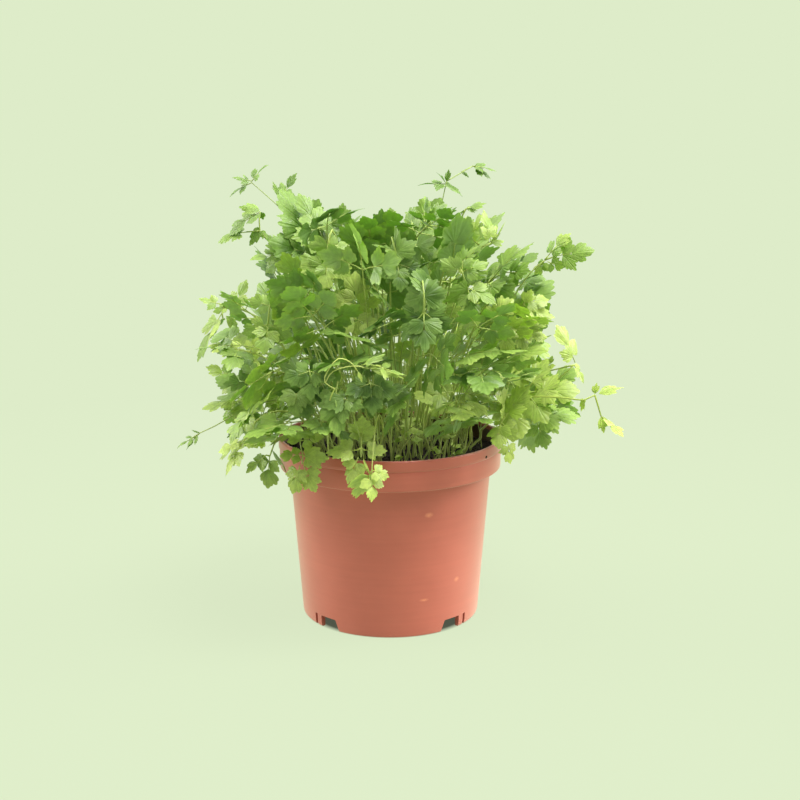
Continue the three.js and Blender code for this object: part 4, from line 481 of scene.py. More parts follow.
def blade(skin, pin, tone, rnd, fine=True, mat=0, grow_by=1.0, slim=False):
    """One leaflet: a wedge that opens into rounded, toothed lobes, creased along its veins.

    It is a thin closed skin. Rays run from the base to the outline, rings cross them."""
    B = np.array(pin[0:3], float)
    d = unit(np.array(pin[3:6], float))
    n = np.array(pin[6:9], float)
    n = unit(n - d * (n @ d))
    s = np.cross(d, n)
    L, W = pin[9] * grow_by, pin[10] * grow_by
    rad = math.radians
    tilt = rad(rnd.uniform(-5, 5))
    depth = rnd.uniform(0.0, 1.0)                      # 0 shallow sinuses, 1 deep
    lobes = [(tilt, 0.64, 0.36, rnd.uniform(0.24, 0.31), 3)]
    low = not slim and rnd.random() < 0.40            # a third pair of small lobes near the base
    for sg in (1, -1):
        a = tilt + sg * rad(rnd.uniform(27, 34) if slim else rnd.uniform(36, 45))
        k = rnd.uniform(0.80, 1.0) if slim else rnd.uniform(0.86, 1.04)
        lobes.append((a, 0.57 * k, 0.33 * k, rnd.uniform(0.22, 0.28) * k, 3))
        if low:
            k = rnd.uniform(0.8, 1.15)
            lobes.append((tilt + sg * rad(rnd.uniform(72, 80)), 0.36 * k, 0.20 * k, 0.17 * k, 2))
    lobes.sort()
    A = rnd.uniform(0.08, 0.17)
    web = 0.60 - 0.18 * depth
    marks = []
    for a, m, p, q, teeth in lobes:
        w = math.atan2(q, math.sqrt(max(1e-4, m * m - p * p))) * 0.98
        for t in ((-1, -0.667, -0.333, 0, 0.333, 0.667, 1) if teeth == 3 else (-1, -0.5, 0, 0.5, 1)):
            marks.append(a + w * t)
    marks.sort()
    kept = [marks[0]]
    for x in marks[1:]:
        if x - kept[-1] > rad(2.2 if fine else 5.0):
            kept.append(x)
    cuts = 3 if fine else 2
    th = []
    for x, y in zip(kept[:-1], kept[1:]):
        th += [x + (y - x) * i / cuts for i in range(cuts)]
    th.append(kept[-1])
    R, midness, toothness = [], [], []
    for x in th:
        best, vein, tv = 0.0, 0.0, 0.0
        for a, m, p, q, teeth in lobes:
            w = math.atan2(q, math.sqrt(max(1e-4, m * m - p * p)))
            r = reach(x, a, m, p, q)
            t = (x - a) / w
            if teeth == 3:
                r *= 1 - A * (1 - abs(math.cos(1.5 * math.pi * t)) ** 0.75)
                tv = max(tv, math.exp(-((abs(t) - 0.667) / 0.10) ** 2) * 0.6)
            else:
                r *= 1 - 0.8 * A * (1 - abs(math.cos(math.pi * t)) ** 0.75)
            best = max(best, r)
            vein = max(vein, math.exp(-((x - a) / rad(2.4)) ** 2) * (1.0 if teeth == 3 else 0.6))
        fade = min(1.0, max(0.0, (rad(92) - abs(x - tilt)) / rad(45)))
        best = max(best, web * fade ** 0.8 * (0.94 + 0.06 * math.cos(9 * x)), 0.10)
        R.append(best)
        midness.append(vein)
        toothness.append(tv)
    th, R = np.array(th), np.array(R)
    half = np.max(np.abs(R * np.sin(th)))
    ku = 0.54 / max(0.3, half)
    rings = [0.0, 0.25, 0.52, 0.79, 1.0] if fine else [0.0, 0.36, 0.70, 1.0]
    nr, nt_ = len(rings), len(th)
    fold = rnd.uniform(-0.06, 0.17)
    arch = rnd.uniform(0.04, 0.26)
    wave = rnd.uniform(0.010, 0.034)
    ph = rnd.uniform(0, 6.28)
    twist = rnd.uniform(-0.22, 0.22)
    crease = rnd.uniform(0.005, 0.014)
    puff = rnd.uniform(0.004, 0.018)
    droop = [rnd.uniform(-0.05, 0.09) for _ in lobes]
    top, low, cols_t, cols_b, rim = [], [], [], [], []
    thick = 0.15 if fine else 0.13

    def place(u, v, h):
        return B + s * (u * W) + d * (v * L) + n * h

    # the leaflet's tone carries painted shade and painted light from the patches above
    tone_i = min(1.0, max(0.0, tone + painted_light_and_shade(B) + rnd.uniform(-0.10, 0.10)))
    for i in range(nt_):
        near = min(range(len(lobes)), key=lambda k: abs(th[i] - lobes[k][0]))
        for j in range(1, nr):
            r = R[i] * rings[j]
            u, v = r * math.sin(th[i]) * ku, r * math.cos(th[i])
            vein = max(midness[i] * (1.0 - 0.35 * rings[j]), toothness[i] * rings[j] * (1 - 0.4 * rings[j]))
            h = L * (0.10 * v - arch * v * v - fold * abs(u) + twist * u * v)
            h += L * wave * math.sin(5.0 * th[i] + ph) * rings[j] ** 2
            h -= L * crease * vein * min(1.0, rings[j] * 3)
            h += L * puff * (1 - vein) * math.sin(math.pi * min(1.0, rings[j] * 0.9))
            h -= L * droop[near] * max(0.0, r - 0.5) ** 2 * 3.0
            edge = j == nr - 1 or i in (0, nt_ - 1)
            tk = 0.0 if edge else thick * (1.0 - 0.4 * rings[j])
            top.append(place(u, v, h + tk))
            low.append(place(u, v, h - tk))
            tt = tone_i + 0.10 * rings[j] ** 3
            cols_t.append((tt, vein, 0.0))
            cols_b.append((tt, vein, 1.0))
            rim.append(edge)
    # vertices: the base, then the upper side, then the lower side without its rim
    verts = [place(0, -0.01, 0.0)] + top
    cols = [(tone_i, 1.0, 0.5)] + cols_t
    rims = [True] + rim
    low_index = {}
    for idx in range(len(low)):
        if rim[idx]:
            low_index[idx] = 1 + idx
        else:
            low_index[idx] = len(verts)
            verts.append(low[idx])
            cols.append(cols_b[idx])
            rims.append(False)
    m = nr - 1
    faces = []
    for i in range(nt_ - 1):
        a, b = i * m, (i + 1) * m
        faces.append((0, 1 + b, 1 + a))
        faces.append((0, low_index[a], low_index[b]))
        for j in range(m - 1):
            faces.append((1 + a + j, 1 + b + j, 1 + b + j + 1, 1 + a + j + 1))
            faces.append((low_index[a + j], low_index[a + j + 1], low_index[b + j + 1], low_index[b + j]))
    skin.add(verts, faces, cols, mat, rims)


def grow(skin, row, rnd, fine=True, stalk_scale=1.0, sink=2.6, grow_by=1.0, stalk_bow=1.6):
    """A whole leaf from its table row: stalks, then leaflets."""
    name, tone, paths, pins = row
    for k, (parent, at, *pts) in enumerate(paths):
        pts = [np.array(p, float) for p in pts]
        last = len(pts) - 1
        if k == 0:
            first = pts[0] - np.array([0, 0, sink])
            if last >= 1:
                # a slight bow, so that no two stalks run straight
                bow = np.array([rnd.uniform(-1, 1), rnd.uniform(-1, 1), 0.0]) * stalk_bow
                mid = (pts[0] + pts[1]) * 0.5 + bow
                pts = [pts[0], mid] + pts[1:]
                last += 1
            path, where = smooth_path([first] + pts, 5.5)
            thick = rnd.uniform(0.72, 1.0) * stalk_scale
            r0, r1 = 0.95 * thick, 0.50 * thick
            f = np.array(where) / (last + 1)
            radii = r0 + (r1 - r0) * f ** 0.8
            z = path[:, 2]
            lows = np.clip((128 - z) / 34.0, 0, 1)
        else:
            path, where = smooth_path(pts, 3.0)
            f = np.array(where) / max(1, last)
            radii = (0.52 - 0.14 * f) * stalk_scale
            lows = np.zeros(len(path))
        tube(skin, path, radii, 7 if fine else 5, tone * 0.38 + 0.04, lows, 1, groove=0.12)
    for a, b, *pin in pins:
        pin = list(pin)
        leaflet(skin, pin, tone, rnd, fine=fine, grow_by=grow_by)
# ------------------------------------------------------------------ leaf tables (mm), as in the CAD part
# Each row: name, tone, stalks [parent, point, points...], leaflets [stalk, point, base, direction,
# upper face, length, width]. LEAVES are the CAD nodes; SMALL are young leaves drawn between them.
LEAVES = [
    ['parsley_leaf_01', 0.14, [
      [-1,0,[1.5,-25.9,97.6],[1.4,-29.8,127.8],[0.8,-36.6,160.9],[0.4,-44.5,191.6],[0.4,-52.1,214.7],[1.3,-57.8,225],[3.6,-60,217.4],[4.6,-60,211.1]]], [
      [0,7, 4.6,-60,210, 0.08,-0.45,-0.89,-0.03,-0.89,0.45, 13.3,15.6],
      [0,7, 4.6,-60,211.1, -0.92,0,-0.38,-0.04,-1,0.09, 13.6,13.4],
      [0,7, 4.6,-60,211.1, 0.95,0,-0.32,0.03,-1,0.09, 13.3,13.4],
      [0,6, 3.6,-60,217.4, 0,0.5,0.87,-0.91,-0.37,0.21, 13.8,12.2],
      [0,6, 3.6,-60,217.4, -0.94,0.02,0.34,0.34,-0.1,0.94, 12.2,11.6],
      [0,6, 3.6,-60,217.4, 0.89,0,0.45,-0.18,-0.91,0.37, 11.7,11.1]]],
    ['parsley_leaf_02', 0.12, [
      [-1,0,[8.3,-40.2,97.6],[9.4,-45.5,123],[11.3,-54.5,151],[13.5,-65.2,177],[15.6,-75.3,196.5],[17.1,-83,204.8],[17.8,-86,197.6],[17.8,-86,189.4]]], [
      [0,7, 17.8,-86,188.4, 0,-0.32,-0.95,-0.02,-0.95,0.32, 18.5,19.4],
      [0,7, 17.8,-86,189.4, -0.62,0.18,-0.77,-0.39,-0.92,0.1, 18.1,16.5],
      [0,7, 17.8,-86,189.4, 0.74,0.2,-0.64,0.22,-0.97,-0.04, 16.7,15.2],
      [0,6, 17.8,-86,197.6, -0.96,0.19,-0.22,-0.21,-0.97,0.09, 10.6,14],
      [0,6, 17.8,-86,197.6, 0.96,0.23,0.15,0.19,-0.95,0.27, 11.7,13.5],
      [0,6, 17.8,-86,197.6, 0.01,0.76,0.65,0.61,-0.52,0.59, 19.3,14.8]]],
    ['parsley_leaf_03', 0.4, [
      [-1,0,[17.1,-31.7,97.6],[18.7,-36.2,125.5],[21.1,-43.7,156],[24.2,-52.6,184.2],[28,-61.1,205.5],[32.5,-67.5,215.1],[37.7,-70,208],[40.3,-70,199.7]]], [
      [0,7, 40.9,-70,198.7, 0.22,-0.29,-0.93,-0.09,-0.96,0.27, 13.9,15.4],
      [0,7, 40.3,-70,199.7, -0.8,-0.13,-0.59,0.45,-0.78,-0.43, 13.7,13.2],
      [0,7, 40.9,-70,199.7, 0.89,-0.22,-0.39,0.13,-0.69,0.71, 14.9,14.2],
      [0,6, 37.7,-70,208, 0.08,0.29,0.95,-0.56,-0.78,0.29, 13.7,13],
      [0,6, 37.7,-70,208, -0.83,-0.34,0.44,0.3,-0.94,-0.15, 12.6,11],
      [0,6, 37.7,-70,208, 0.92,0.15,0.37,-0.12,-0.78,0.62, 13.6,12.9]]],
    ['parsley_leaf_04', 0.25, [
      [-1,0,[13.2,-21.1,97.6],[15.3,-23.1,119.3],[18.7,-26,138.3],[22.9,-29.8,155.3],[27,-34.5,170.9],[30.4,-40.2,185.5],[32.4,-46.9,199.9],[33.2,-52,210.1]],
      [0,6,[32.4,-46.9,199.9],[29.8,-49.7,200.6]],
      [0,6,[32.4,-46.9,199.9],[35.3,-45.6,202.3]]], [
      [0,7, 33.2,-52,210.1, 0.08,-0.5,0.86,-0.66,0.63,0.42, 29.8,28.3],
      [1,1, 29.8,-49.7,200.6, -0.68,-0.73,0.07,-0.7,0.67,0.24, 26.8,24.7],
      [2,1, 35.3,-45.6,202.3, 0.78,0.35,0.52,-0.63,0.45,0.63, 26.8,24.7]]],
    ['parsley_leaf_05', 0.55, [
      [-1,0,[27.9,-24.6,97.6],[31.1,-27.7,119.7],[36.5,-33.1,144],[43,-39.5,166.6],[49.6,-45.6,183.5],[55.3,-50.2,190.9],[59,-52,184.7],[60.2,-52,177.7]]], [
      [0,7, 60.2,-52,177.1, 0.22,-0.28,-0.94,-0.1,-0.96,0.26, 14.3,15.9],
      [0,7, 60.2,-52,177.7, -0.77,-0.13,-0.63,0.45,-0.81,-0.39, 12.5,13.6],
      [0,7, 60.2,-52,177.7, 0.89,0.23,-0.4,-0.05,-0.82,-0.57, 16.2,14.5],
      [0,6, 59,-52,184.7, 0.76,0.2,0.62,0.05,-0.97,0.25, 9.9,11.3],
      [0,6, 59,-52,184.7, -1,0.05,-0.01,-0.04,-0.98,-0.22, 8.5,11.2]]],
    ['parsley_leaf_06', 0.5, [
      [-1,0,[30.2,-30.6,97.6],[32.6,-32.6,117.2],[37.5,-36.6,128.2],[43.9,-41.7,132.6],[50.8,-46.6,132.5],[57.2,-50.4,129.9],[62.1,-51.9,126.7]],
      [0,6,[62.1,-51.9,126.7],[60,-51.9,123.4]],
      [1,1,[60,-51.9,123.4],[64.5,-51.9,112.8]]], [
      [1,1, 60,-51.9,123.4, -0.11,-0.54,-0.83,-0.42,-0.74,0.53, 13.3,11.9],
      [1,1, 61,-51.9,123.9, 0.67,0.1,-0.74,0.17,-0.99,0.02, 11.8,10.8],
      [0,6, 62.1,-51.9,126.7, 0.6,0.1,0.79,-0.66,-0.49,0.57, 20.5,19.4],
      [0,6, 62.1,-51.9,126.7, -0.06,-0.26,0.96,0.98,-0.2,0.01, 18.2,15.8],
      [0,6, 62.1,-51.9,126.7, -0.7,0,0.71,0.5,-0.71,0.5, 10.9,10.4],
      [2,1, 64.5,-51.9,112.8, 0.06,0,-1,0.67,-0.74,0.04, 11.2,10]]],
    ['parsley_leaf_07', 0.22, [
      [-1,0,[33.4,-25.5,97.6],[35,-27,110.1],[37.3,-29.3,121.8],[40.3,-32.3,132.3],[44.3,-35.9,141.4],[49.4,-40.1,148.8],[55.6,-44.8,154.4],[61.4,-49,158.2]],
      [0,6,[55.6,-44.8,154.4],[54.7,-48.6,155.4]],
      [0,6,[55.6,-44.8,154.4],[59.1,-42.9,155]]], [
      [0,7, 61.4,-49,158.2, 0.75,-0.54,0.37,-0.4,0.06,0.91, 25.2,23.9],
      [1,1, 54.7,-48.6,155.4, -0.23,-0.96,0.14,-0.47,0.23,0.85, 22.7,20.9],
      [2,1, 59.1,-42.9,155, 0.87,0.49,0.05,-0.36,0.58,0.73, 22.7,20.9]]],
    ['parsley_leaf_08', 0.92, [
      [-1,0,[40.7,-23.5,97.6],[45.6,-26.8,116.5],[55.7,-33.8,128.7],[68.7,-42.4,135.5],[82.6,-50.9,138.4],[95.1,-57.4,138.9],[104,-60,138.4],[109.8,-60,141.1]],
      [0,7,[109.8,-60,141.1],[113.4,-60,129.6]]], [
      [0,7, 111.9,-60,141.7, 0.93,0,0.37,-0.35,-0.33,0.87, 13.1,12.4],
      [0,7, 109.8,-60,141.7, 0.12,0,0.99,-0.53,-0.84,0.06, 5.7,4.9],
      [0,6, 104,-60,138.4, -0.18,0.17,-0.97,-0.86,-0.51,0.06, 6.4,5.7],
      [1,1, 113.4,-60,129.6, 0.24,0,-0.97,0.47,-0.87,0.12, 9.2,8.2],
      [1,1, 113.9,-60,129.1, 0.67,-0.5,-0.56,0.56,-0.15,0.81, 14.7,13.7]]],
    ['parsley_leaf_09', 0.36, [
      [-1,0,[42.3,-17.1,97.6],[45.1,-18.4,117.1],[51,-21.3,127.1],[58.5,-24.8,130.1],[66.6,-28.3,128.9],[73.9,-30.9,125.8],[79.3,-32,123.4]],
      [0,6,[79.3,-32,123.4],[81.5,-32,123.4]],
      [1,1,[81.5,-32,123.4],[81.6,-32,121.1]]], [
      [1,1, 81.5,-32,123.4, 1,0,0.07,-0.07,-0.47,0.88, 22.9,21.7],
      [2,1, 81.6,-32,121.1, 0.34,-0.25,-0.91,-0.11,-0.97,0.23, 16,17.8],
      [1,1, 81.5,-32,124.5, 0.67,0.13,0.73,-0.6,-0.48,0.64, 15,14.2],
      [0,6, 79.3,-32,123.4, -0.02,0.56,-0.83,-0.7,0.58,0.41, 25,17.4]]],
    ['parsley_leaf_10', 0.58, [
      [-1,0,[22,-4.3,97.6],[23.2,-5.8,123.9],[24.2,-8.8,149],[26.2,-12,171.7],[30.5,-14.2,191],[38.6,-13.9,206],[51.6,-10,215.4],[56.7,-8,217.5]],
      [0,6,[51.6,-10,215.4],[44.7,-12,220.6]]], [
      [0,7, 56.7,-8,217.5, -0.16,0.17,0.97,0.81,-0.54,0.23, 17.5,16.7],
      [0,7, 56.7,-8,217.5, 0.6,-0.13,0.79,-0.77,0.18,0.61, 13.5,12.7],
      [0,7, 56.7,-8,217.5, 0.92,0.35,0.16,0.04,-0.5,0.86, 7.9,6.8],
      [1,1, 44.7,-12,220.6, -0.21,0,0.98,0.6,-0.79,0.13, 11.3,10.7],
      [1,1, 44.7,-12,220.6, 0.31,-0.56,0.77,-0.92,-0.38,0.09, 15.9,12.2],
      [1,1, 44.7,-12,220.6, -0.93,0,0.37,0.22,-0.8,0.56, 9,8.6]]],
    ['parsley_leaf_11', 0.35, [
      [-1,0,[21.3,-1.7,97.6],[23.1,-1.4,115.6],[25.9,-0.6,131.8],[29.4,0,146.4],[33.8,-0.2,159.4],[39.1,-2,171.1],[45.1,-6.2,181.6],[54.8,-14.6,195.4],[59.6,-18.7,201.8]],
      [0,7,[54.8,-14.6,195.4],[55.1,-17.6,195.7]],
      [0,7,[54.8,-14.6,195.4],[56.2,-13,197.6]],
      [0,6,[45.1,-6.2,181.6],[44.8,-11.1,180.9]],
      [0,6,[45.1,-6.2,181.6],[46.8,-2.5,184.4]]], [
      [0,8, 59.6,-18.7,201.8, 0.54,-0.46,0.7,-0.79,0.01,0.61, 26.8,25.5],
      [1,1, 55.1,-17.6,195.7, 0.1,-1,-0.02,-0.59,-0.07,0.8, 22,20.3],
      [2,1, 56.2,-13,197.6, 0.48,0.58,0.66,-0.75,-0.12,0.65, 22,20.3],
      [3,1, 44.8,-11.1,180.9, -0.05,-0.97,-0.25,-0.88,-0.08,0.47, 25.5,23.5],
      [4,1, 46.8,-2.5,184.4, 0.36,0.8,0.49,-0.65,-0.16,0.74, 25.5,23.5]]],
    ['parsley_leaf_12', 0.6, [
      [-1,0,[36.1,-3.9,97.6],[40.3,-4,111.8],[47.5,-4.1,124],[56,-4.3,134.8],[64.3,-4.8,144.9],[70.8,-6,155],[73.9,-8,165.8],[75.5,-12,184.1]]], [
      [0,7, 75.5,-12,184.1, 0.99,0,0.13,-0.08,-0.75,0.66, 13.6,12.9],
      [0,7, 75.5,-12,183, 0.87,-0.17,-0.47,0.32,-0.51,0.8, 17.4,16.5],
      [0,7, 75.5,-12,184.7, 0.5,0.13,0.86,-0.66,-0.59,0.47, 7.8,8.4],
      [0,6, 73.9,-8,165.8, 1,0,0,0,-0.57,0.82, 14.8,14.1],
      [0,6, 73.9,-8,165.8, 0.87,-0.06,0.5,-0.48,-0.33,0.81, 14.2,13.5],
      [0,6, 73.9,-8,165.8, 0.36,-0.18,-0.91,0.47,-0.81,0.35, 11,10.4]]],
    ['parsley_leaf_13', 0.35, [
      [-1,0,[8.4,0,97.6],[9.6,-0.6,124.9],[11.8,-1.8,148.9],[14.3,-3,170.2],[16.7,-3.5,189.8],[18.5,-2.8,208.6],[19.2,0,227.5],[19.2,0.6,230.3]]], [
      [0,7, 19.2,0.6,230.3, 0,0.2,0.98,0.23,-0.95,0.2, 11.8,11.2],
      [0,6, 19.2,0,227.5, -0.82,0,0.57,0.4,-0.72,0.57, 11.7,11.2],
      [0,6, 19.2,0,227.5, 0.71,0.13,0.69,-0.7,0.25,0.67, 13.6,12.8],
      [0,6, 19.2,0,227.5, -0.87,-0.29,-0.41,-0.14,-0.64,0.75, 10.4,9.9],
      [0,6, 19.2,0,227.5, 0.93,-0.31,-0.21,-0.08,-0.7,0.71, 9.7,9.2]]],
    ['parsley_leaf_14', 0.72, [
      [-1,0,[47,0,97.6],[53,0,107.8],[62.8,0,116.6],[74.6,0,124.4],[87,0,131.7],[98,0,138.9],[106.2,0,146.5]],
      [0,6,[106.2,0,146.5],[89.5,0,142.4]]], [
      [0,6, 106.7,0,148.2, -0.39,0,0.92,0.76,-0.57,0.32, 22.2,21],
      [0,6, 106.2,0,146.5, 0.56,0.19,-0.81,0.82,-0.29,0.5, 12.8,10.9],
      [1,1, 89.5,0,142.4, 0.42,0.56,0.72,-0.67,-0.35,0.66, 10.8,10.3]]],
    ['parsley_leaf_15', 0.5, [
      [-1,0,[40.9,2.8,97.6],[45.5,3.1,122.3],[52.8,3.8,146.2],[61.9,4.5,168],[71.6,5.2,186.2],[80.9,5.8,199.5],[88.7,6,206.5]],
      [0,6,[88.7,6,206.5],[95,6,208.8]],
      [0,6,[88.7,6,206.5],[90.4,6,208.8]]], [
      [1,1, 95,6,208.8, 0.96,-0.2,0.19,-0.24,-0.94,0.25, 20.1,16.1],
      [2,1, 90.4,6,208.8, 0.63,0,0.78,-0.69,-0.46,0.56, 16.8,13.5],
      [0,6, 90.5,6,205.4, 0.91,0.2,-0.37,0.21,-0.98,-0.03, 9.9,8.5],
      [0,6, 88.7,6,206.5, -0.51,0.11,-0.85,-0.63,-0.72,0.29, 9.6,8.5]]],
    ['parsley_leaf_16', 0.34, [
      [-1,0,[42.5,6.9,97.6],[46,7.4,116.3],[53.4,8.3,125.2],[62.9,9.4,127.5],[72.8,10.5,126.2],[81.6,11.4,124.6],[87.6,11.7,125.8]],
      [0,6,[87.6,11.7,125.8],[86.4,11.7,130.6]]], [
      [0,6, 88.8,11.7,127, 0.74,0,0.67,-0.58,-0.51,0.63, 24.9,23.7],
      [1,1, 86.4,11.7,130.6, 0.09,0.11,0.99,-0.9,-0.41,0.13, 17.8,16.9],
      [0,6, 87.6,11.7,125.8, 0.99,0,-0.11,0.11,-0.23,0.97, 16.1,15.3]]],
    ['parsley_leaf_17', 0.38, [
      [-1,0,[18,5.8,97.6],[20.5,6.7,128.8],[24.6,8.4,159.2],[29.6,10.3,186.8],[34.9,12.1,209.9],[39.7,13.5,226.5],[43.6,14,235],[46,14,235.8]]], [
      [0,7, 46,14,235.8, 0.95,0,0.31,-0.3,-0.31,0.9, 9.1,8.2],
      [0,6, 43.6,14,235, 0.97,0.24,-0.08,0.19,-0.47,0.86, 6.8,5.8],
      [0,6, 43.6,14,235, -0.8,0.24,-0.55,-0.53,0.15,0.83, 8.5,8.1]]],
    ['parsley_leaf_18', 0.34, [
      [-1,0,[16.4,8.1,97.6],[17.3,9.4,119.6],[18.3,11.9,139.3],[20,14.7,157],[23.1,16.8,172.9],[28.2,17.4,187.1],[36,15.6,199.8],[42.9,13.2,208.7]],
      [0,6,[36,15.6,199.8],[37.5,11.9,199.9]],
      [0,6,[36,15.6,199.8],[36.6,18.6,202.4]]], [
      [0,7, 42.9,13.2,208.7, 0.66,-0.23,0.72,-0.73,-0.45,0.52, 31.3,29.7],
      [1,1, 37.5,11.9,199.9, 0.37,-0.92,-0.09,-0.83,-0.37,0.41, 28.1,25.9],
      [2,1, 36.6,18.6,202.4, 0.18,0.8,0.58,-0.76,-0.26,0.59, 28.1,25.9]]],
    ['parsley_leaf_19', 0.22, [
      [-1,0,[20.7,9.3,97.6],[22.8,10.4,110.9],[25.9,11.9,123.1],[30,13.9,134],[35.1,16.4,143.7],[41.2,19.2,151.9],[48.3,22.4,158.6],[62.7,28.6,168.5],[69.5,31.6,172.9]],
      [0,7,[62.7,28.6,168.5],[65.3,27.1,168.8]],
      [0,7,[62.7,28.6,168.5],[62.5,31.1,170.2]],
      [0,6,[48.3,22.4,158.6],[52,19.1,158.1]],
      [0,6,[48.3,22.4,158.6],[46.7,26.6,160.7]]], [
      [0,8, 69.5,31.6,172.9, 0.8,0.35,0.49,-0.31,-0.46,0.83, 32.9,31.2],
      [1,1, 65.3,27.1,168.8, 0.87,-0.49,-0.04,-0.45,-0.84,0.31, 27,24.8],
      [2,1, 62.5,31.1,170.2, -0.04,0.95,0.3,-0.24,-0.3,0.92, 27,24.8],
      [3,1, 52,19.1,158.1, 0.73,-0.65,-0.21,-0.36,-0.63,0.69, 31.2,28.7],
      [4,1, 46.7,26.6,160.7, -0.33,0.89,0.32,-0.77,-0.45,0.45, 31.2,28.7]]],
    ['parsley_leaf_20', 0.45, [
      [-1,0,[33.1,16.4,97.6],[35.6,18.7,121.1],[38.8,22.6,142.8],[43.5,27.1,162.3],[50.2,31.5,179.4],[59.6,34.7,193.7],[72.4,36,204.7],[74.2,36,205.8]]], [
      [0,7, 74.2,36,205.8, 0.85,0,0.53,-0.47,-0.49,0.74, 8.9,8.5],
      [0,6, 72.4,36,204.7, -0.87,0.11,0.49,0.22,-0.79,0.57, 4.8,5],
      [0,6, 72.4,36,204.7, 0.12,-0.11,0.99,-0.99,0.1,0.14, 7.9,7.4],
      [0,6, 72.4,36,204.7, -0.82,0.18,-0.54,-0.27,-0.96,0.09, 11.3,10.6]]],
    ['parsley_leaf_21', 0.32, [
      [-1,0,[35.2,25.1,97.6],[36.8,25.3,119.5],[40.2,25.9,132.8],[44.6,26.5,138.2],[49.2,27.2,136.3],[53.4,27.8,127.9],[56.3,28.3,113.8],[67.7,48.1,114.7],[72.9,57,114.8]],
      [0,7,[67.7,48.1,114.7],[70.7,48.2,115]],
      [0,7,[67.7,48.1,114.7],[66.4,50.8,114.8]],
      [0,6,[56.3,28.3,113.8],[61.2,27.1,114.2]],
      [0,6,[56.3,28.3,113.8],[52.9,31.9,113.7]]], [
      [0,8, 72.9,57,114.8, 0.5,0.87,-0.02,-0.18,0.12,0.98, 29.1,27.7],
      [1,1, 70.7,48.2,115, 1,0.05,-0.02,-0.01,0.54,0.84, 23.9,22],
      [2,1, 66.4,50.8,114.8, -0.27,0.94,-0.21,0.1,0.24,0.96, 23.9,22],
      [3,1, 61.2,27.1,114.2, 0.97,-0.23,-0.04,-0.04,-0.32,0.95, 27.7,25.4],
      [4,1, 52.9,31.9,113.7, -0.68,0.72,-0.14,-0.42,-0.23,0.88, 27.7,25.4]]],
    ['parsley_leaf_22', 0.4, [
      [-1,0,[13.1,8.9,97.6],[15,10.4,131.3],[18.2,13,163.3],[22.1,16.1,192.4],[26.1,19,217.1],[29.6,21.1,236.4],[32.3,22,248.8],[32.6,22,250.4]],
      [0,7,[32.6,22,250.4],[48.2,30,258.8]],
      [1,1,[48.2,30,258.8],[41.1,28,255.4]]], [
      [0,7, 32.6,22,250.4, 0.21,0,0.98,-0.48,-0.87,0.1, 6.5,6.2],
      [0,6, 32.3,22,248.8, -0.99,-0.12,0.01,0.02,-0.15,0.99, 15.2,13.7],
      [0,6, 32.3,22,248.8, -0.56,-0.11,0.82,0.83,-0.07,0.56, 8.4,7.9],
      [0,6, 32.3,22,248.8, 0.79,0.17,-0.59,0.59,-0.47,0.66, 11.9,11.3],
      [1,1, 48.2,30,258.8, 0.99,0,-0.12,0.11,-0.24,0.96, 13.2,11.9],
      [1,1, 48.2,30,258.8, 0.87,0.16,-0.47,0.5,-0.31,0.81, 12.4,11.7],
      [2,1, 41.1,28,255.4, 0.74,0.54,-0.41,0.64,-0.36,0.68, 6.7,6]]],
    ['parsley_leaf_23', 0.36, [
      [-1,0,[17.4,25.3,97.6],[18.9,27.7,110.3],[21,31.3,122.9],[23.9,35.9,134.4],[28,40.9,143.8],[33.7,45.9,150.1],[41.3,50.5,152.3],[63.3,61.2,150.4],[73.2,66,149.1]],
      [0,7,[63.3,61.2,150.4],[65.3,60.8,148.2]],
      [0,7,[63.3,61.2,150.4],[64.3,63.1,152.6]],
      [0,6,[41.3,50.5,152.3],[43.6,49,148.1]],
      [0,6,[41.3,50.5,152.3],[41.6,53.4,156.4]]], [
      [0,8, 73.2,66,149.1, 0.89,0.43,-0.14,0.4,-0.62,0.68, 31.3,29.7],
      [1,1, 65.3,60.8,148.2, 0.6,-0.13,-0.79,0.6,-0.58,0.56, 25.6,23.6],
      [2,1, 64.3,63.1,152.6, 0.35,0.67,0.65,0.25,-0.74,0.63, 25.6,23.6],
      [3,1, 43.6,49,148.1, 0.41,-0.28,-0.87,0.13,-0.92,0.36, 29.7,27.3],
      [4,1, 41.6,53.4,156.4, 0.07,0.62,0.78,-0.16,-0.77,0.62, 29.7,27.3]]],
    ['parsley_leaf_24', 0.37, [
      [-1,0,[3.4,15.7,97.6],[3.7,16.9,116.5],[4.1,18.4,133.5],[4.8,20.6,148.7],[5.7,23.9,162.3],[7.1,28.7,174.7],[9.1,35.5,186],[12,45.2,198.3],[13.4,49.9,204]],
      [0,7,[12,45.2,198.3],[14.7,46.4,198.9]],
      [0,7,[12,45.2,198.3],[9.9,45.9,200.3]],
      [0,6,[9.1,35.5,186],[14,36.8,185.8]],
      [0,6,[9.1,35.5,186],[4.8,35.8,188.4]]], [
      [0,8, 13.4,49.9,204, 0.19,0.64,0.75,0.24,-0.77,0.6, 31,29.5],
      [1,1, 14.7,46.4,198.9, 0.91,0.4,0.08,0.22,-0.64,0.74, 25.5,23.4],
      [2,1, 9.9,45.9,200.3, -0.72,0.4,0.56,-0.19,-0.9,0.39, 25.5,23.4],
      [3,1, 14,36.8,185.8, 0.95,0.26,-0.16,0.25,-0.4,0.88, 29.5,27.1],
      [4,1, 4.8,35.8,188.4, -0.91,0.08,0.4,0.12,-0.89,0.44, 29.5,27.1]]],
    ['parsley_leaf_25', 0.18, [
      [-1,0,[4.6,29.9,97.6],[4.5,31.6,118.8],[4.4,35.1,133],[4.2,39.6,140.5],[4,44.4,141.5],[3.9,48.8,136.5],[3.8,51.8,125.5],[12,69,113.2],[15.5,76.3,107.5]],
      [0,7,[12,69,113.2],[14.9,69.5,113]],
      [0,7,[12,69,113.2],[10.3,71,111.7]],
      [0,6,[3.8,51.8,125.5],[8.7,51.6,126]],
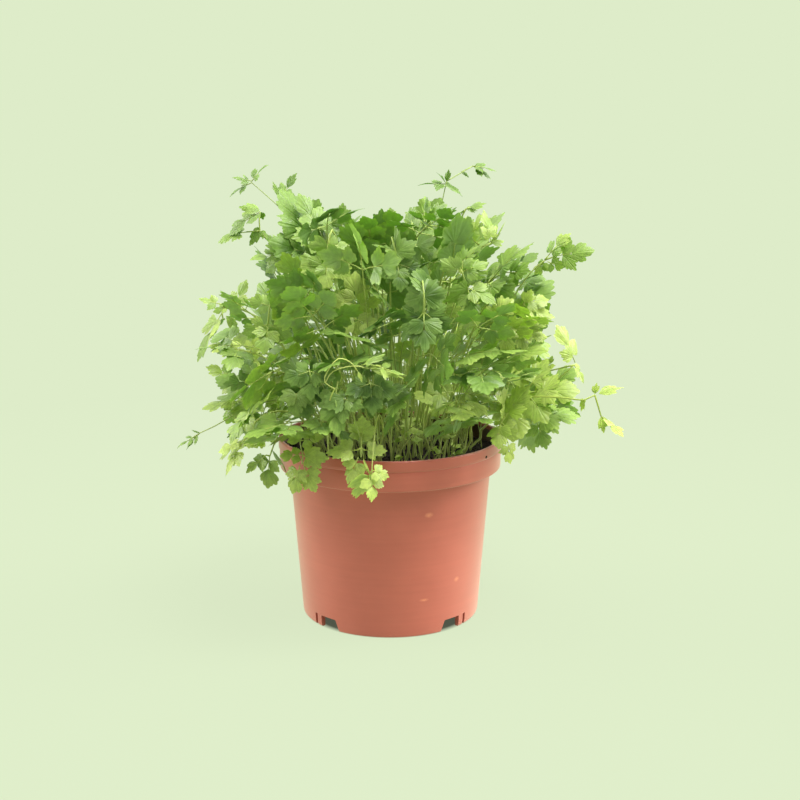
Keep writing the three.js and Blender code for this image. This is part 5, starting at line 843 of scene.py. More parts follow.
      [0,6,[3.8,51.8,125.5],[-0.1,54.3,123.6]]], [
      [0,8, 15.5,76.3,107.5, 0.35,0.73,-0.58,-0.15,0.66,0.74, 30.1,28.6],
      [1,1, 14.9,69.5,113, 0.97,0.23,-0.07,0.08,-0.03,1, 24.7,22.7],
      [2,1, 10.3,71,111.7, -0.54,0.62,-0.57,0.15,0.73,0.66, 24.7,22.7],
      [3,1, 8.7,51.6,126, 1,-0.05,-0.03,0.05,0.7,0.71, 28.6,26.3],
      [4,1, -0.1,54.3,123.6, -0.74,0.47,-0.48,-0.11,0.62,0.78, 28.6,26.3]]],
    ['parsley_leaf_26', 0.4, [
      [-1,0,[0.4,12.6,97.6],[0.6,14,123.5],[0.9,16.2,146.1],[1.3,19,166.3],[1.5,22.3,184.9],[1.5,26,202.7],[1,30,220.5],[0.8,30.6,223.2]]], [
      [0,7, 0.8,30.6,223.2, -0.04,0.22,0.97,0.24,-0.94,0.22, 10.9,10.3],
      [0,6, 1,30,220.5, -0.92,0.3,0.27,0.27,-0.05,0.96, 20.1,19.1],
      [0,6, 1,30,220.5, -0.95,-0.11,-0.31,-0.27,-0.28,0.92, 11.2,10.6],
      [0,6, 1,30,220.5, 0.89,0.33,-0.32,0.46,-0.56,0.69, 12,11.4]]],
    ['parsley_leaf_27', 0.21, [
      [-1,0,[-1.1,31.3,97.6],[-1,34.1,118.5],[-0.7,38.1,137.2],[-0.4,43.4,153.9],[-0.5,50,169],[-1.3,57.9,182.5],[-3,67.2,194.8],[-4.6,74.3,203.2]],
      [0,6,[-3,67.2,194.8],[0.3,68.6,196.6]],
      [0,6,[-3,67.2,194.8],[-6.8,68.1,195.6]]], [
      [0,7, -4.6,74.3,203.2, -0.16,0.7,0.69,-0.14,-0.71,0.69, 29,27.5],
      [1,1, 0.3,68.6,196.6, 0.86,0.37,0.35,0.24,-0.9,0.35, 26.1,24],
      [2,1, -6.8,68.1,195.6, -0.97,0.23,0.1,-0.23,-0.97,0.02, 26.1,24]]],
    ['parsley_leaf_28', 0.05, [
      [-1,0,[-9,35.9,97.6],[-9.2,37.8,108.8],[-9.1,40.6,119],[-9.2,44.3,128.2],[-10.1,48.4,136.2],[-12.3,52.7,143.2],[-16.2,56.9,149.1],[-26,64.9,158.6],[-30.7,68.8,162.8]],
      [0,7,[-26,64.9,158.6],[-25.2,67.4,160]],
      [0,7,[-26,64.9,158.6],[-28.8,64.1,159.2]],
      [0,6,[-16.2,56.9,149.1],[-13.6,60.8,150.9]],
      [0,6,[-16.2,56.9,149.1],[-20.6,54.4,149.2]]], [
      [0,8, -30.7,68.8,162.8, -0.64,0.53,0.55,0.39,-0.39,0.83, 29.1,27.6],
      [1,1, -25.2,67.4,160, 0.3,0.87,0.39,0.01,-0.41,0.91, 23.8,21.9],
      [2,1, -28.8,64.1,159.2, -0.95,-0.3,0.08,0.13,-0.15,0.98, 23.8,21.9],
      [3,1, -13.6,60.8,150.9, 0.54,0.81,0.23,0.45,-0.51,0.73, 27.6,25.4],
      [4,1, -20.6,54.4,149.2, -0.86,-0.49,-0.1,0.33,-0.71,0.62, 27.6,25.4]]],
    ['parsley_leaf_29', 0.35, [
      [-1,0,[-4.4,9,97.6],[-4.3,10,110.1],[-3.9,11.2,121.6],[-3.6,13,132],[-3.9,15.6,141.1],[-5.2,19.4,148.7],[-7.9,24.8,154.9],[-16.6,39.7,166.4],[-20.7,46.9,171.6]],
      [0,7,[-16.6,39.7,166.4],[-16.8,42.6,165.7]],
      [0,7,[-16.6,39.7,166.4],[-17.7,39.1,169.1]],
      [0,6,[-7.9,24.8,154.9],[-7.6,29.1,152.4]],
      [0,6,[-7.9,24.8,154.9],[-9.4,22.4,159]]], [
      [0,8, -20.7,46.9,171.6, -0.43,0.74,0.51,0.86,0.17,0.48, 28.5,27.1],
      [1,1, -16.8,42.6,165.7, -0.06,0.93,-0.36,0.87,0.22,0.43, 23.4,21.5],
      [2,1, -17.7,39.1,169.1, -0.49,-0.35,0.8,0.77,0.26,0.59, 23.4,21.5],
      [3,1, -7.6,29.1,152.4, 0.23,0.69,-0.69,0.9,0.11,0.41, 27.1,24.9],
      [4,1, -9.4,22.4,159, -0.32,-0.52,0.79,0.8,0.3,0.53, 27.1,24.9]]],
    ['parsley_leaf_30', 0.05, [
      [-1,0,[-26.1,22.6,97.6],[-28.1,24.7,117.8],[-32.3,29,133.2],[-37.7,34.6,143.6],[-43.4,40.5,148.5],[-48.5,45.9,147.8],[-52.1,49.7,141],[-63.9,58.5,151],[-69.6,62.7,155.4]],
      [0,7,[-63.9,58.5,151],[-63.8,61.4,151.5]],
      [0,7,[-63.9,58.5,151],[-66.2,57.1,152.4]],
      [0,6,[-52.1,49.7,141],[-50.8,54.5,141]],
      [0,6,[-52.1,49.7,141],[-55.3,46.2,142.7]]], [
      [0,8, -69.6,62.7,155.4, -0.69,0.51,0.52,0.59,-0.03,0.81, 24.9,23.7],
      [1,1, -63.8,61.4,151.5, 0.06,1,0.06,0.36,-0.08,0.93, 20.4,18.8],
      [2,1, -66.2,57.1,152.4, -0.79,-0.49,0.37,0.52,-0.22,0.82, 20.4,18.8],
      [3,1, -50.8,54.5,141, 0.27,0.96,-0.11,0.67,-0.11,0.73, 23.7,21.8],
      [4,1, -55.3,46.2,142.7, -0.66,-0.71,0.23,0.61,-0.34,0.72, 23.7,21.8]]],
    ['parsley_leaf_31', 0.2, [
      [-1,0,[-25.8,15.5,97.6],[-27.4,16.5,110.9],[-29.6,17.7,123.1],[-32.5,19.4,134.1],[-36.3,21.9,143.7],[-41.1,25.1,151.9],[-46.9,29.5,158.5],[-58,38,167.4],[-63.2,42,171.4]],
      [0,7,[-58,38,167.4],[-57.1,39.6,169.8]],
      [0,7,[-58,38,167.4],[-60.9,38,166.9]],
      [0,6,[-46.9,29.5,158.5],[-44.2,31.7,162.1]],
      [0,6,[-46.9,29.5,158.5],[-51.4,28.6,156.6]]], [
      [0,8, -63.2,42,171.4, -0.69,0.53,0.49,-0.18,-0.79,0.59, 28.2,26.8],
      [1,1, -57.1,39.6,169.8, 0.27,0.5,0.82,0.27,-0.86,0.44, 23.1,21.3],
      [2,1, -60.9,38,166.9, -0.96,0,-0.28,-0.05,-0.98,0.17, 23.1,21.3],
      [3,1, -44.2,31.7,162.1, 0.59,0.49,0.65,0.14,-0.85,0.51, 26.8,24.7],
      [4,1, -51.4,28.6,156.6, -0.87,-0.16,-0.47,-0.32,-0.55,0.77, 26.8,24.7]]],
    ['parsley_leaf_32', 0.34, [
      [-1,0,[-29.3,14.9,97.6],[-31.2,16,119.3],[-35.1,18.3,132.9],[-40.2,21.3,138.9],[-45.6,24.4,138],[-50.4,27.2,130.6],[-53.9,29.2,117.5],[-57.8,50.9,111.1],[-59.5,60.4,108]],
      [0,7,[-57.8,50.9,111.1],[-55.8,53.1,111.6]],
      [0,7,[-57.8,50.9,111.1],[-60.3,51.9,109.9]],
      [0,6,[-53.9,29.2,117.5],[-49.8,31.8,118.8]],
      [0,6,[-53.9,29.2,117.5],[-58.5,29.5,115.5]]], [
      [0,8, -59.5,60.4,108, -0.17,0.93,-0.33,-0.18,0.3,0.94, 31.7,30.1],
      [1,1, -55.8,53.1,111.6, 0.68,0.73,0.05,-0.5,0.42,0.76, 26,23.9],
      [2,1, -60.3,51.9,109.9, -0.81,0.3,-0.5,-0.29,0.53,0.79, 26,23.9],
      [3,1, -49.8,31.8,118.8, 0.84,0.52,0.14,-0.31,0.24,0.92, 30.1,27.7],
      [4,1, -58.5,29.5,115.5, -0.87,0.04,-0.48,-0.48,0.08,0.87, 30.1,27.7]]],
    ['parsley_leaf_33', 0.4, [
      [-1,0,[-20.3,15.9,97.6],[-25.2,16.3,124.4],[-34.2,16.8,148.3],[-44.3,17.6,169.7],[-52.4,19,189.1],[-55.4,21.4,206.8],[-50.4,25,223.3],[-48.6,25.8,226.2]]], [
      [0,7, -48.6,25.8,226.2, 0.52,0.22,0.83,0.14,-0.97,0.18, 14.4,13.7],
      [0,6, -50.4,25,223.3, -0.59,0,0.8,0.72,-0.44,0.53, 17.3,16.4],
      [0,6, -50.4,25,223.3, 0.94,0.23,0.25,-0.09,-0.55,0.83, 12.9,12.3],
      [0,6, -50.4,25,223.3, -0.96,0.11,-0.24,-0.26,-0.61,0.75, 9.8,9.2]]],
    ['parsley_leaf_34', 0.45, [
      [-1,0,[-34.1,12.5,97.6],[-38.1,14.3,125.6],[-44.5,17.3,152.6],[-52.4,20.9,177.1],[-61,24.4,197.8],[-69.3,27,213],[-76.5,28,221.3],[-76.5,30,232.2]],
      [0,6,[-76.5,28,221.3],[-84.7,28,220.7]]], [
      [0,7, -76.5,30,232.2, -0.86,-0.19,-0.47,-0.36,-0.44,0.82, 21.5,20.5],
      [0,7, -76.5,30,232.8, -0.98,0,0.2,0.16,-0.6,0.79, 11.9,11.3],
      [0,7, -75.9,30,232.2, 0.19,0.46,-0.87,0.26,-0.88,-0.41, 5.6,4.8],
      [1,1, -84.7,28,220.7, -0.99,-0.02,-0.16,-0.13,-0.43,0.89, 16.6,14.8],
      [0,6, -76.5,28,221.3, -0.64,0,-0.77,-0.43,-0.83,0.36, 10.2,9.2],
      [0,6, -76.5,28,221.3, 0.59,0.5,-0.63,0.76,-0.6,0.23, 7.9,6.8]]],
    ['parsley_leaf_35', 0.38, [
      [-1,0,[-25.1,5.9,97.6],[-28.9,6.9,127.9],[-35.2,8.5,157.5],[-42.7,10.3,184.3],[-50.1,12.1,206.8],[-56.1,13.5,222.9],[-59.3,14,231],[-65.1,16,237.1],[-80,18,250.1]],
      [0,7,[-65.1,16,237.1],[-62.8,10,241.5]]], [
      [0,8, -79.4,18,250.7, 0.62,0,0.79,-0.68,-0.5,0.53, 12.9,11.6],
      [0,8, -80,18,250.7, -0.95,-0.18,0.26,0.31,-0.45,0.84, 10.1,9],
      [0,8, -80,18,249.6, -0.89,0.18,-0.42,-0.45,-0.35,0.82, 15.1,13.5],
      [1,1, -62.8,10,241.5, 0.59,0.11,0.8,-0.68,-0.47,0.57, 15.8,14.1],
      [1,1, -62.8,10,240.9, -0.27,0,0.96,0.87,-0.42,0.24, 9.9,9.4],
      [1,1, -62.2,10,240.9, 0.61,0.62,0.5,-0.38,-0.32,0.87, 7.7,6.6]]],
    ['parsley_leaf_36', 0.58, [
      [-1,0,[-43,7.5,97.6],[-46.1,7.7,118.9],[-52.6,8.1,132.9],[-61.1,8.6,140],[-70.1,9.1,140.5],[-78.1,9.6,134.7],[-83.8,10,123.1],[-87.7,6,137.7]],
      [0,7,[-87.7,6,137.7],[-91.2,6,138.9]],
      [0,6,[-83.8,10,123.1],[-89.7,10,123.1]],
      [2,1,[-89.7,10,123.1],[-88,10,120.7]],
      [3,1,[-88,10,120.7],[-85.7,10,118.3]]], [
      [1,1, -91.2,6,138.9, -0.95,0,0.3,0.26,-0.49,0.83, 15.8,15],
      [1,1, -90.1,6,137.1, -0.71,0,-0.7,-0.47,-0.74,0.48, 11.8,11.2],
      [0,7, -87.7,6,137.1, 0.33,-0.18,-0.93,-0.25,-0.96,0.1, 10.5,11],
      [2,1, -89.7,10,123.1, -1,0,-0.08,-0.07,-0.41,0.91, 14.8,14.1],
      [3,1, -88,10,120.7, -0.81,0,-0.59,-0.38,-0.77,0.52, 11.2,10.6],
      [4,1, -85.7,10,118.3, -0.46,0.19,-0.86,-0.84,-0.42,0.35, 15.5,14.7]]],
    ['parsley_leaf_37', 0.45, [
      [-1,0,[-47,1.7,97.6],[-52,1.9,117.7],[-62.3,2.3,124.9],[-75.7,2.9,123.3],[-89.9,3.4,116.9],[-102.7,3.8,109.5],[-111.8,4,105.2],[-114.7,4,103.4]]], [
      [0,7, -114.7,4,103.4, -0.85,0,-0.53,-0.5,-0.33,0.8, 12.3,11],
      [0,6, -111.8,4,105.2, -0.71,0,-0.71,-0.69,-0.23,0.69, 12.3,11.1],
      [0,6, -111.8,4,105.2, -0.95,0,0.3,0.27,-0.43,0.86, 4.9,4.2]]],
    ['parsley_leaf_38', 0.3, [
      [-1,0,[-26.4,0.9,97.6],[-27.9,1.5,123.9],[-29.4,2.9,150.3],[-32,4.4,174.4],[-37.2,5.2,194],[-46.2,4.6,206.8],[-60.4,2,210.3],[-63.9,1.2,210]]], [
      [0,7, -63.9,1.2,210, -0.97,-0.22,-0.1,0.03,-0.52,0.85, 14.7,14],
      [0,6, -60.4,2,210.3, -0.62,0,0.78,0.69,-0.48,0.55, 15.2,14.4],
      [0,6, -60.4,2,210.3, -0.66,0.21,-0.72,-0.67,-0.6,0.44, 14.6,13.9],
      [0,6, -60.4,2,210.3, 0.25,0.32,0.91,-0.97,0.13,0.22, 13.3,12.6]]],
    ['parsley_leaf_39', 0.6, [
      [-1,0,[-43.2,0,97.6],[-46.6,0,116.3],[-51.5,0,134.4],[-57.9,0,150.8],[-66.3,0,164.6],[-76.7,0,174.7],[-89.4,0,180.2],[-95.1,0,181.4],[-98,0,182.1]],
      [0,7,[-95.1,0,181.4],[-92.8,0,180.2]],
      [0,7,[-95.1,0,181.4],[-97.2,6,175.9]],
      [2,1,[-97.2,6,175.9],[-96.7,6,173]]], [
      [0,8, -98,0,182.1, -0.97,0,0.23,0.15,-0.75,0.65, 10.9,9.8],
      [1,1, -92.8,0,180.2, -0.94,0,-0.34,-0.24,-0.69,0.68, 8.6,8.2],
      [0,6, -89.4,0,180.2, 0.44,0.13,0.89,-0.54,-0.76,0.37, 15.9,15.1],
      [2,1, -97.2,6,175.9, -0.53,-0.06,-0.85,-0.81,-0.26,0.52, 29.5,26.5],
      [3,1, -96.7,6,173, -0.58,0.42,-0.7,-0.77,-0.02,0.63, 18.5,14.4],
      [3,1, -94.9,6,174.2, 0.62,0,-0.78,0.57,-0.69,0.45, 12.7,12]]],
    ['parsley_leaf_40', 0.15, [
      [-1,0,[-11.3,-2.5,97.6],[-13.1,-3.4,123.6],[-16.2,-5,146.3],[-19.8,-6.8,166.5],[-23.3,-8.1,185.2],[-25.9,-8,203.1],[-26.9,-6,221.2],[-26.9,-5.4,224.6]]], [
      [0,7, -26.9,-5.4,224.6, 0,0.17,0.98,0.04,-0.98,0.17, 13.9,17.9],
      [0,6, -26.9,-6,221.2, -0.83,0,0.56,0.35,-0.78,0.52, 12.1,11.5],
      [0,6, -26.9,-6,221.2, 0.65,0.32,0.7,-0.52,-0.49,0.7, 15.5,14.3],
      [0,6, -26.9,-6,221.2, 0.6,-0.44,-0.67,0.14,-0.76,0.63, 9.5,8.6]]],
    ['parsley_leaf_41', 0.21, [
      [-1,0,[-15.7,-4.3,97.6],[-17.3,-5.2,118],[-19.7,-6.7,135.9],[-22.8,-8.5,151.8],[-26.6,-9.9,166.5],[-30.9,-10.6,180.3],[-35.8,-9.9,194],[-42.5,-8,210.8],[-45.8,-7.1,218.8]],
      [0,7,[-42.5,-8,210.8],[-41.4,-6,212.8]],
      [0,7,[-42.5,-8,210.8],[-44.7,-9.7,211.9]],
      [0,6,[-35.8,-9.9,194],[-33.2,-6.2,196.2]],
      [0,6,[-35.8,-9.9,194],[-39.4,-13.3,194.6]]], [
      [0,8, -45.8,-7.1,218.8, -0.39,0.11,0.91,0.77,-0.5,0.39, 30.2,28.7],
      [1,1, -41.4,-6,212.8, 0.39,0.73,0.57,0.68,-0.64,0.36, 24.8,22.8],
      [2,1, -44.7,-9.7,211.9, -0.76,-0.59,0.26,0.62,-0.57,0.54, 24.8,22.8],
      [3,1, -33.2,-6.2,196.2, 0.55,0.77,0.32,0.77,-0.62,0.17, 28.7,26.4],
      [4,1, -39.4,-13.3,194.6, -0.73,-0.68,-0.01,0.62,-0.66,0.42, 28.7,26.4]]],
    ['parsley_leaf_42', 0.9, [
      [-1,0,[-39.1,-12,97.6],[-42.1,-13.4,111.3],[-46.5,-15.8,124.6],[-52.3,-18.5,136.5],[-59.5,-21.2,146.6],[-68.1,-23.2,154.1],[-78.1,-24,158.2]],
      [0,6,[-78.1,-24,158.2],[-83.6,-24,159.3]]], [
      [1,1, -83.6,-24,159.3, -0.98,0,0.21,0.18,-0.45,0.87, 16.4,15.6],
      [1,1, -82,-24,158.2, -0.84,-0.26,-0.47,-0.14,-0.74,0.66, 11,11.7],
      [0,6, -78.1,-24,158.2, 0.51,0,0.86,-0.25,-0.96,0.14, 9.2,8.7],
      [0,6, -78.1,-24,158.2, 0.43,0,-0.91,0.75,-0.56,0.35, 12.5,11.9]]],
    ['parsley_leaf_43', 0.86, [
      [-1,0,[-41.5,-22,97.6],[-44.5,-23.5,112],[-50.5,-26.7,121.4],[-58.3,-30.9,125.9],[-66.6,-35.3,126],[-74,-39.2,121.9],[-79.3,-42,113.8]],
      [0,6,[-79.3,-42,113.8],[-82.8,-42,108.1]],
      [1,1,[-82.8,-42,108.1],[-82.7,-42,111.5]]], [
      [1,1, -82.8,-42,108.1, -0.54,-0.23,-0.81,-0.69,-0.43,0.59, 17.1,16.2],
      [2,1, -82.7,-42,111.5, -0.87,0,-0.49,-0.47,-0.29,0.83, 12.8,12.2],
      [0,6, -79.3,-42,113.8, 0.86,0,-0.51,0.36,-0.69,0.62, 10.1,9.6]]],
    ['parsley_leaf_44', 0.1, [
      [-1,0,[-35,-26.1,97.6],[-37.3,-27.8,112.5],[-42,-31.3,121.4],[-48.1,-35.8,125],[-54.6,-40.6,123.5],[-60.4,-44.9,117.7],[-64.5,-48,107.9]],
      [0,6,[-64.5,-48,107.9],[-65.7,-48,104.5]],
      [1,1,[-65.7,-48,104.5],[-67.9,-48,105]]], [
      [1,1, -65.7,-48,104.5, -0.13,-0.24,-0.96,-0.59,-0.76,0.27, 16.6,15.7],
      [2,1, -67.9,-48,105, -0.72,0,-0.69,-0.54,-0.62,0.57, 14,13.3],
      [0,6, -64.5,-48,107.9, 0.6,0.12,-0.79,0.75,0.27,0.61, 14.9,13.8]]],
    ['parsley_leaf_45', 0.28, [
      [-1,0,[-22.3,-16.2,97.6],[-24.4,-18,111.6],[-27.7,-20.6,125.8],[-31.8,-24,138.7],[-36.8,-28.6,149.1],[-42.6,-34.4,155.8],[-48.9,-41.7,157.3],[-62,-57.6,153.3],[-67.8,-64.6,151.1]],
      [0,7,[-62,-57.6,153.3],[-64,-57.7,151]],
      [0,7,[-62,-57.6,153.3],[-62.2,-59.9,155.1]],
      [0,6,[-48.9,-41.7,157.3],[-51.5,-40.7,153.2]],
      [0,6,[-48.9,-41.7,157.3],[-48.1,-44.9,161.1]]], [
      [0,8, -67.8,-64.6,151.1, -0.62,-0.75,-0.25,-0.73,0.43,0.53, 25,23.8],
      [1,1, -64,-57.7,151, -0.58,-0.04,-0.81,-0.49,0.82,0.31, 20.5,18.9],
      [2,1, -62.2,-59.9,155.1, -0.05,-0.84,0.54,-0.48,0.49,0.72, 20.5,18.9],
      [3,1, -51.5,-40.7,153.2, -0.47,0.18,-0.86,-0.86,0.14,0.5, 23.8,21.9],
      [4,1, -48.1,-44.9,161.1, 0.17,-0.7,0.69,-0.47,0.56,0.68, 23.8,21.9]]],
    ['parsley_leaf_46', 0.34, [
      [-1,0,[-29.9,-26.5,97.6],[-33.5,-29.9,120.7],[-39.4,-35.7,146.1],[-46.6,-42.6,169.7],[-53.7,-49.1,187.4],[-59.6,-54.1,195],[-63.2,-56,188.4],[-64.5,-56,178.8]]], [
      [0,7, -64.5,-56,177.7, -0.12,-0.42,-0.9,0.14,-0.91,0.4, 14.4,15.8],
      [0,7, -64.5,-56,178.8, -0.92,0,-0.38,-0.04,-1,0.09, 14,13.6],
      [0,7, -64.5,-56,178.8, 0.89,-0.11,-0.43,-0.27,-0.9,-0.33, 14.3,13.6],
      [0,6, -63.2,-56,188.4, -0.95,0.18,0.26,-0.13,-0.97,0.2, 11.3,12.4],
      [0,6, -63.2,-56,188.4, 0.91,-0.3,0.28,-0.04,-0.74,-0.67, 13.2,12.4],
      [0,6, -63.2,-56,188.4, 0.08,0.64,0.77,-0.98,0.18,-0.04, 16.4,13.6]]],
    ['parsley_leaf_47', 0.7, [
      [-1,0,[-26.2,-30.3,97.6],[-27.9,-32.3,108.9],[-31.5,-36.4,116.7],[-36.1,-41.7,121.2],[-41,-47.3,122.4],[-45.3,-52.4,120.2],[-48.5,-56,114.9],[-46.2,-66,109.6],[-46.5,-70,105.7]],
      [0,7,[-46.2,-66,109.6],[-44.5,-68,109]]], [
      [0,8, -47.6,-70,104.6, -0.3,-0.14,-0.95,-0.52,-0.81,0.28, 14.6,13.9],
      [0,8, -45.4,-70,104.6, 0.34,-0.28,-0.9,-0.33,-0.93,0.17, 14.2,13.4],
      [1,1, -44.5,-68,109, 1,0,-0.05,0.03,-0.79,0.62, 11.7,11.2],
      [0,7, -46.7,-66,109.6, -1,0,0,0,-0.56,0.83, 11.2,10.7],
      [0,6, -48.5,-56,114.9, 0.97,0,0.23,-0.17,-0.64,0.75, 12.3,11.6],
      [0,6, -48.5,-56,114.9, -0.84,0,0.54,0.36,-0.74,0.56, 8.3,7.8]]],
    ['parsley_leaf_48', 0.16, [
      [-1,0,[-23.7,-35.4,97.6],[-26.5,-39.4,112.2],[-31.4,-46.2,128.5],[-37.1,-54.3,143.6],[-42.4,-61.9,154.8],[-46.1,-67.7,159.3],[-46.8,-70,154.4],[-45.9,-70,145.9]]], [
      [0,7, -45.9,-70,144.8, 0.16,-0.29,-0.94,0.06,-0.95,0.3, 13.9,16.8],
      [0,7, -45.9,-70,145.9, -0.97,-0.13,-0.22,0.23,-0.81,-0.54, 13,14.4],
      [0,7, -45.9,-70,145.9, 0.97,-0.14,-0.18,0.01,-0.75,0.66, 15.2,14.3],
      [0,6, -46.8,-70,154.4, -0.92,0.17,0.34,-0.09,-0.96,0.25, 11.5,12.3],
      [0,6, -46.8,-70,154.4, 0.91,0.16,0.39,0.09,-0.98,0.19, 12.7,12.3]]],
    ['parsley_leaf_49', 0.5, [
      [-1,0,[-14.5,-23.2,97.6],[-16.3,-27.2,128.6],[-19.3,-34.1,162.6],[-23,-42.2,194.2],[-26.7,-49.9,217.9],[-29.9,-55.7,228.4],[-32,-58,220.3],[-32.6,-58,211.9]]], [
      [0,7, -32.6,-58,210.9, -0.1,-0.45,-0.89,0.1,-0.89,0.44, 13.4,15.6],
      [0,7, -32.6,-58,211.9, -0.87,0.11,-0.49,-0.15,-0.99,0.05, 15.4,14.4],
      [0,7, -32.6,-58,211.9, 0.89,0,-0.46,0.05,-0.99,0.1, 13.6,13.4],
      [0,6, -32,-58,220.3, -0.96,0.28,-0.03,-0.26,-0.92,-0.31, 11.1,11.1],
      [0,6, -32,-58,220.3, 0.99,0.08,0.09,0.02,-0.85,0.53, 10.5,11]]],
    ['parsley_leaf_50', 0.37, [
      [-1,0,[-6.3,-10.4,97.6],[-6.5,-11,116.9],[-6.8,-11.5,134.1],[-7.2,-12.5,149.5],[-7.9,-14.6,163.4],[-9.1,-18.1,176.1],[-10.8,-23.8,188.1],[-13.9,-34.1,204.4],[-15.5,-39.1,212]],
      [0,7,[-13.9,-34.1,204.4],[-16.7,-34.8,205.4]],
      [0,7,[-13.9,-34.1,204.4],[-11.7,-35,206.1]],
      [0,6,[-10.8,-23.8,188.1],[-15.8,-24.3,188.6]],
      [0,6,[-10.8,-23.8,188.1],[-6.3,-24.7,190]]], [
      [0,8, -15.5,-39.1,212, -0.17,-0.56,0.81,0.01,0.82,0.57, 25.8,24.5],
      [1,1, -16.7,-34.8,205.4, -0.94,-0.24,0.23,-0.17,0.94,0.28, 21.2,19.5],
      [2,1, -11.7,-35,206.1, 0.8,-0.34,0.5,-0.04,0.8,0.6, 21.2,19.5],
      [3,1, -15.8,-24.3,188.6, -1,-0.1,-0.02,-0.08,0.74,0.67, 24.5,22.6],
      [4,1, -6.3,-24.7,190, 0.94,-0.2,0.28,0.05,0.89,0.46, 24.5,22.6]]],
    ['parsley_leaf_51', 0.78, [
      [-1,0,[-6.7,-20.4,97.6],[-8.3,-24.1,115.1],[-11,-30.3,130.2],[-14.2,-37.8,143.6],[-17,-44.9,156.1],[-18.9,-50.2,168.5],[-18.9,-52.3,181.5],[-18.3,-52.3,188.5]]], [
      [0,7, -18.3,-52.3,189, 0.03,0.25,0.97,0.04,-0.97,0.25, 16.1,17],
      [0,7, -18.3,-52.3,188.5, -0.95,0.11,0.28,0.04,-0.88,0.47, 12.9,13.6],
      [0,7, -18.3,-52.3,188.5, 0.99,-0.11,0.13,-0.06,-0.96,-0.28, 13.5,13.6],
      [0,6, -18.9,-52.3,181.5, -0.91,-0.18,-0.38,-0.04,-0.87,0.49, 10.5,12.3],
      [0,6, -18.9,-52.3,181.5, 0.85,-0.32,-0.42,-0.22,-0.94,0.26, 13.9,12.9]]],
    ['parsley_leaf_52', 0.3, [
      [-1,0,[-14,-43.1,97.6],[-15.6,-47.6,110.6],[-18.3,-55.1,125],[-21.4,-64,138.4],[-24.4,-72.9,148.4],[-26.6,-80,152.3],[-27.3,-84,147.6],[-27.2,-84.8,143.4]]], [
      [0,7, -27.2,-84.8,143.4, 0.02,-0.18,-0.98,0.54,-0.82,0.17, 17.3,16.5],
      [0,6, -27.3,-84,147.6, -0.42,0.21,-0.89,-0.29,-0.95,-0.09, 15.7,13.9],
      [0,6, -27.3,-84,147.6, 0.61,0,-0.79,0.7,-0.47,0.54, 13.3,12.7]]],
    ['parsley_leaf_53', 0.78, [
      [-1,0,[-7.9,-34.5,97.6],[-8.4,-36.8,108.3],[-9.5,-41.5,116.3],[-10.9,-47.6,121.5],[-12.4,-54.1,123.8],[-13.7,-59.9,123],[-14.6,-64,119],[-14.9,-76,115.9],[-14.8,-78,111.6]],
      [0,7,[-14.9,-76,115.9],[-17,-76,114.8]],
      [0,7,[-14.9,-76,115.9],[-12.8,-76,114.8]]], [
      [0,8, -16.4,-78,111, -0.38,-0.22,-0.9,-0.27,-0.9,0.34, 13.6,13],
      [1,1, -17,-76,114.8, -1,0,-0.04,-0.03,-0.6,0.8, 15.3,14.5],
      [2,1, -12.8,-76,114.8, 1,0,-0.1,0.02,-0.97,0.24, 11.1,11.2],
      [0,8, -13.8,-78,111, 0.45,-0.33,-0.83,0.89,0.07,0.45, 9.5,8.9],
      [0,6, -14.6,-64,119, -0.7,0,0.72,0.49,-0.73,0.47, 9.9,9.4],
      [0,6, -14.6,-64,119, 0.02,-0.46,0.89,-0.25,-0.86,-0.44, 13.9,10.2],
      [0,6, -14.6,-64,119, 0.84,0,0.55,-0.1,-0.98,0.15, 7,6.8]]],
    ['parsley_leaf_54', 0.1, [
      [-1,0,[-5.5,-31.7,97.6],[-5.9,-34.6,112.3],[-6.7,-39.4,128.3],[-7.5,-45.2,143.2],[-8.4,-50.7,154.4],[-9,-54.9,159.2],[-9.3,-56.5,155.1],[-9.3,-56.5,146.4]]], [
      [0,7, -9.3,-56.5,145.3, 0,-0.25,-0.97,0.02,-0.97,0.25, 16.1,19.4],
      [0,7, -9.3,-56.5,146.4, -0.74,0.17,-0.65,-0.07,-0.98,-0.19, 16.1,14.7],
      [0,7, -9.3,-56.5,146.4, 0.79,-0.22,-0.57,0.14,-0.84,0.52, 17.7,16.8],
      [0,6, -9.3,-56.5,155.1, 0.95,0.18,0.26,0.12,-0.97,0.21, 11.2,12.5],
      [0,6, -9.3,-56.5,155.1, -0.97,0.2,-0.15,-0.22,-0.96,0.15, 10,11.4]]],
    ['parsley_leaf_55', 0.76, [
      [-1,0,[-5.8,-46,97.6],[-7.6,-51.3,113.1],[-11.2,-60.4,128.5],[-15,-71.1,142.7],[-17.4,-81.3,154.2],[-16.8,-89,161.6],[-11.6,-92,163.7]],
      [0,6,[-11.6,-92,163.7],[-5.5,-92,162.7]]], [
      [1,1, -5.5,-92,162.7, 0.94,0,-0.35,0.34,-0.3,0.89, 14.6,13.9],
      [0,6, -11.6,-92,163.7, 0.8,0.35,0.48,-0.24,-0.55,0.8, 11.3,10.8]]],
    ['parsley_leaf_56', 0.93, [
      [-1,0,[-3,-46,97.6],[-3.5,-49.3,116.4],[-4.4,-56,127.3],[-5.6,-64.6,131.1],[-6.9,-73.8,128.5],[-8,-82.1,120.3],[-8.9,-88,107.2],[-8.8,-88.4,104]]], [
      [0,7, -8.8,-88.4,104, 0.03,-0.13,-0.99,0.58,-0.81,0.12, 12.6,11.9],
      [0,6, -8.9,-88,107.2, -0.37,0.46,-0.81,-0.65,0.49,0.58, 20.7,15],
      [0,6, -8.9,-88,107.2, 0.91,0,-0.41,0.21,-0.86,0.47, 9.1,8.6]]],
]

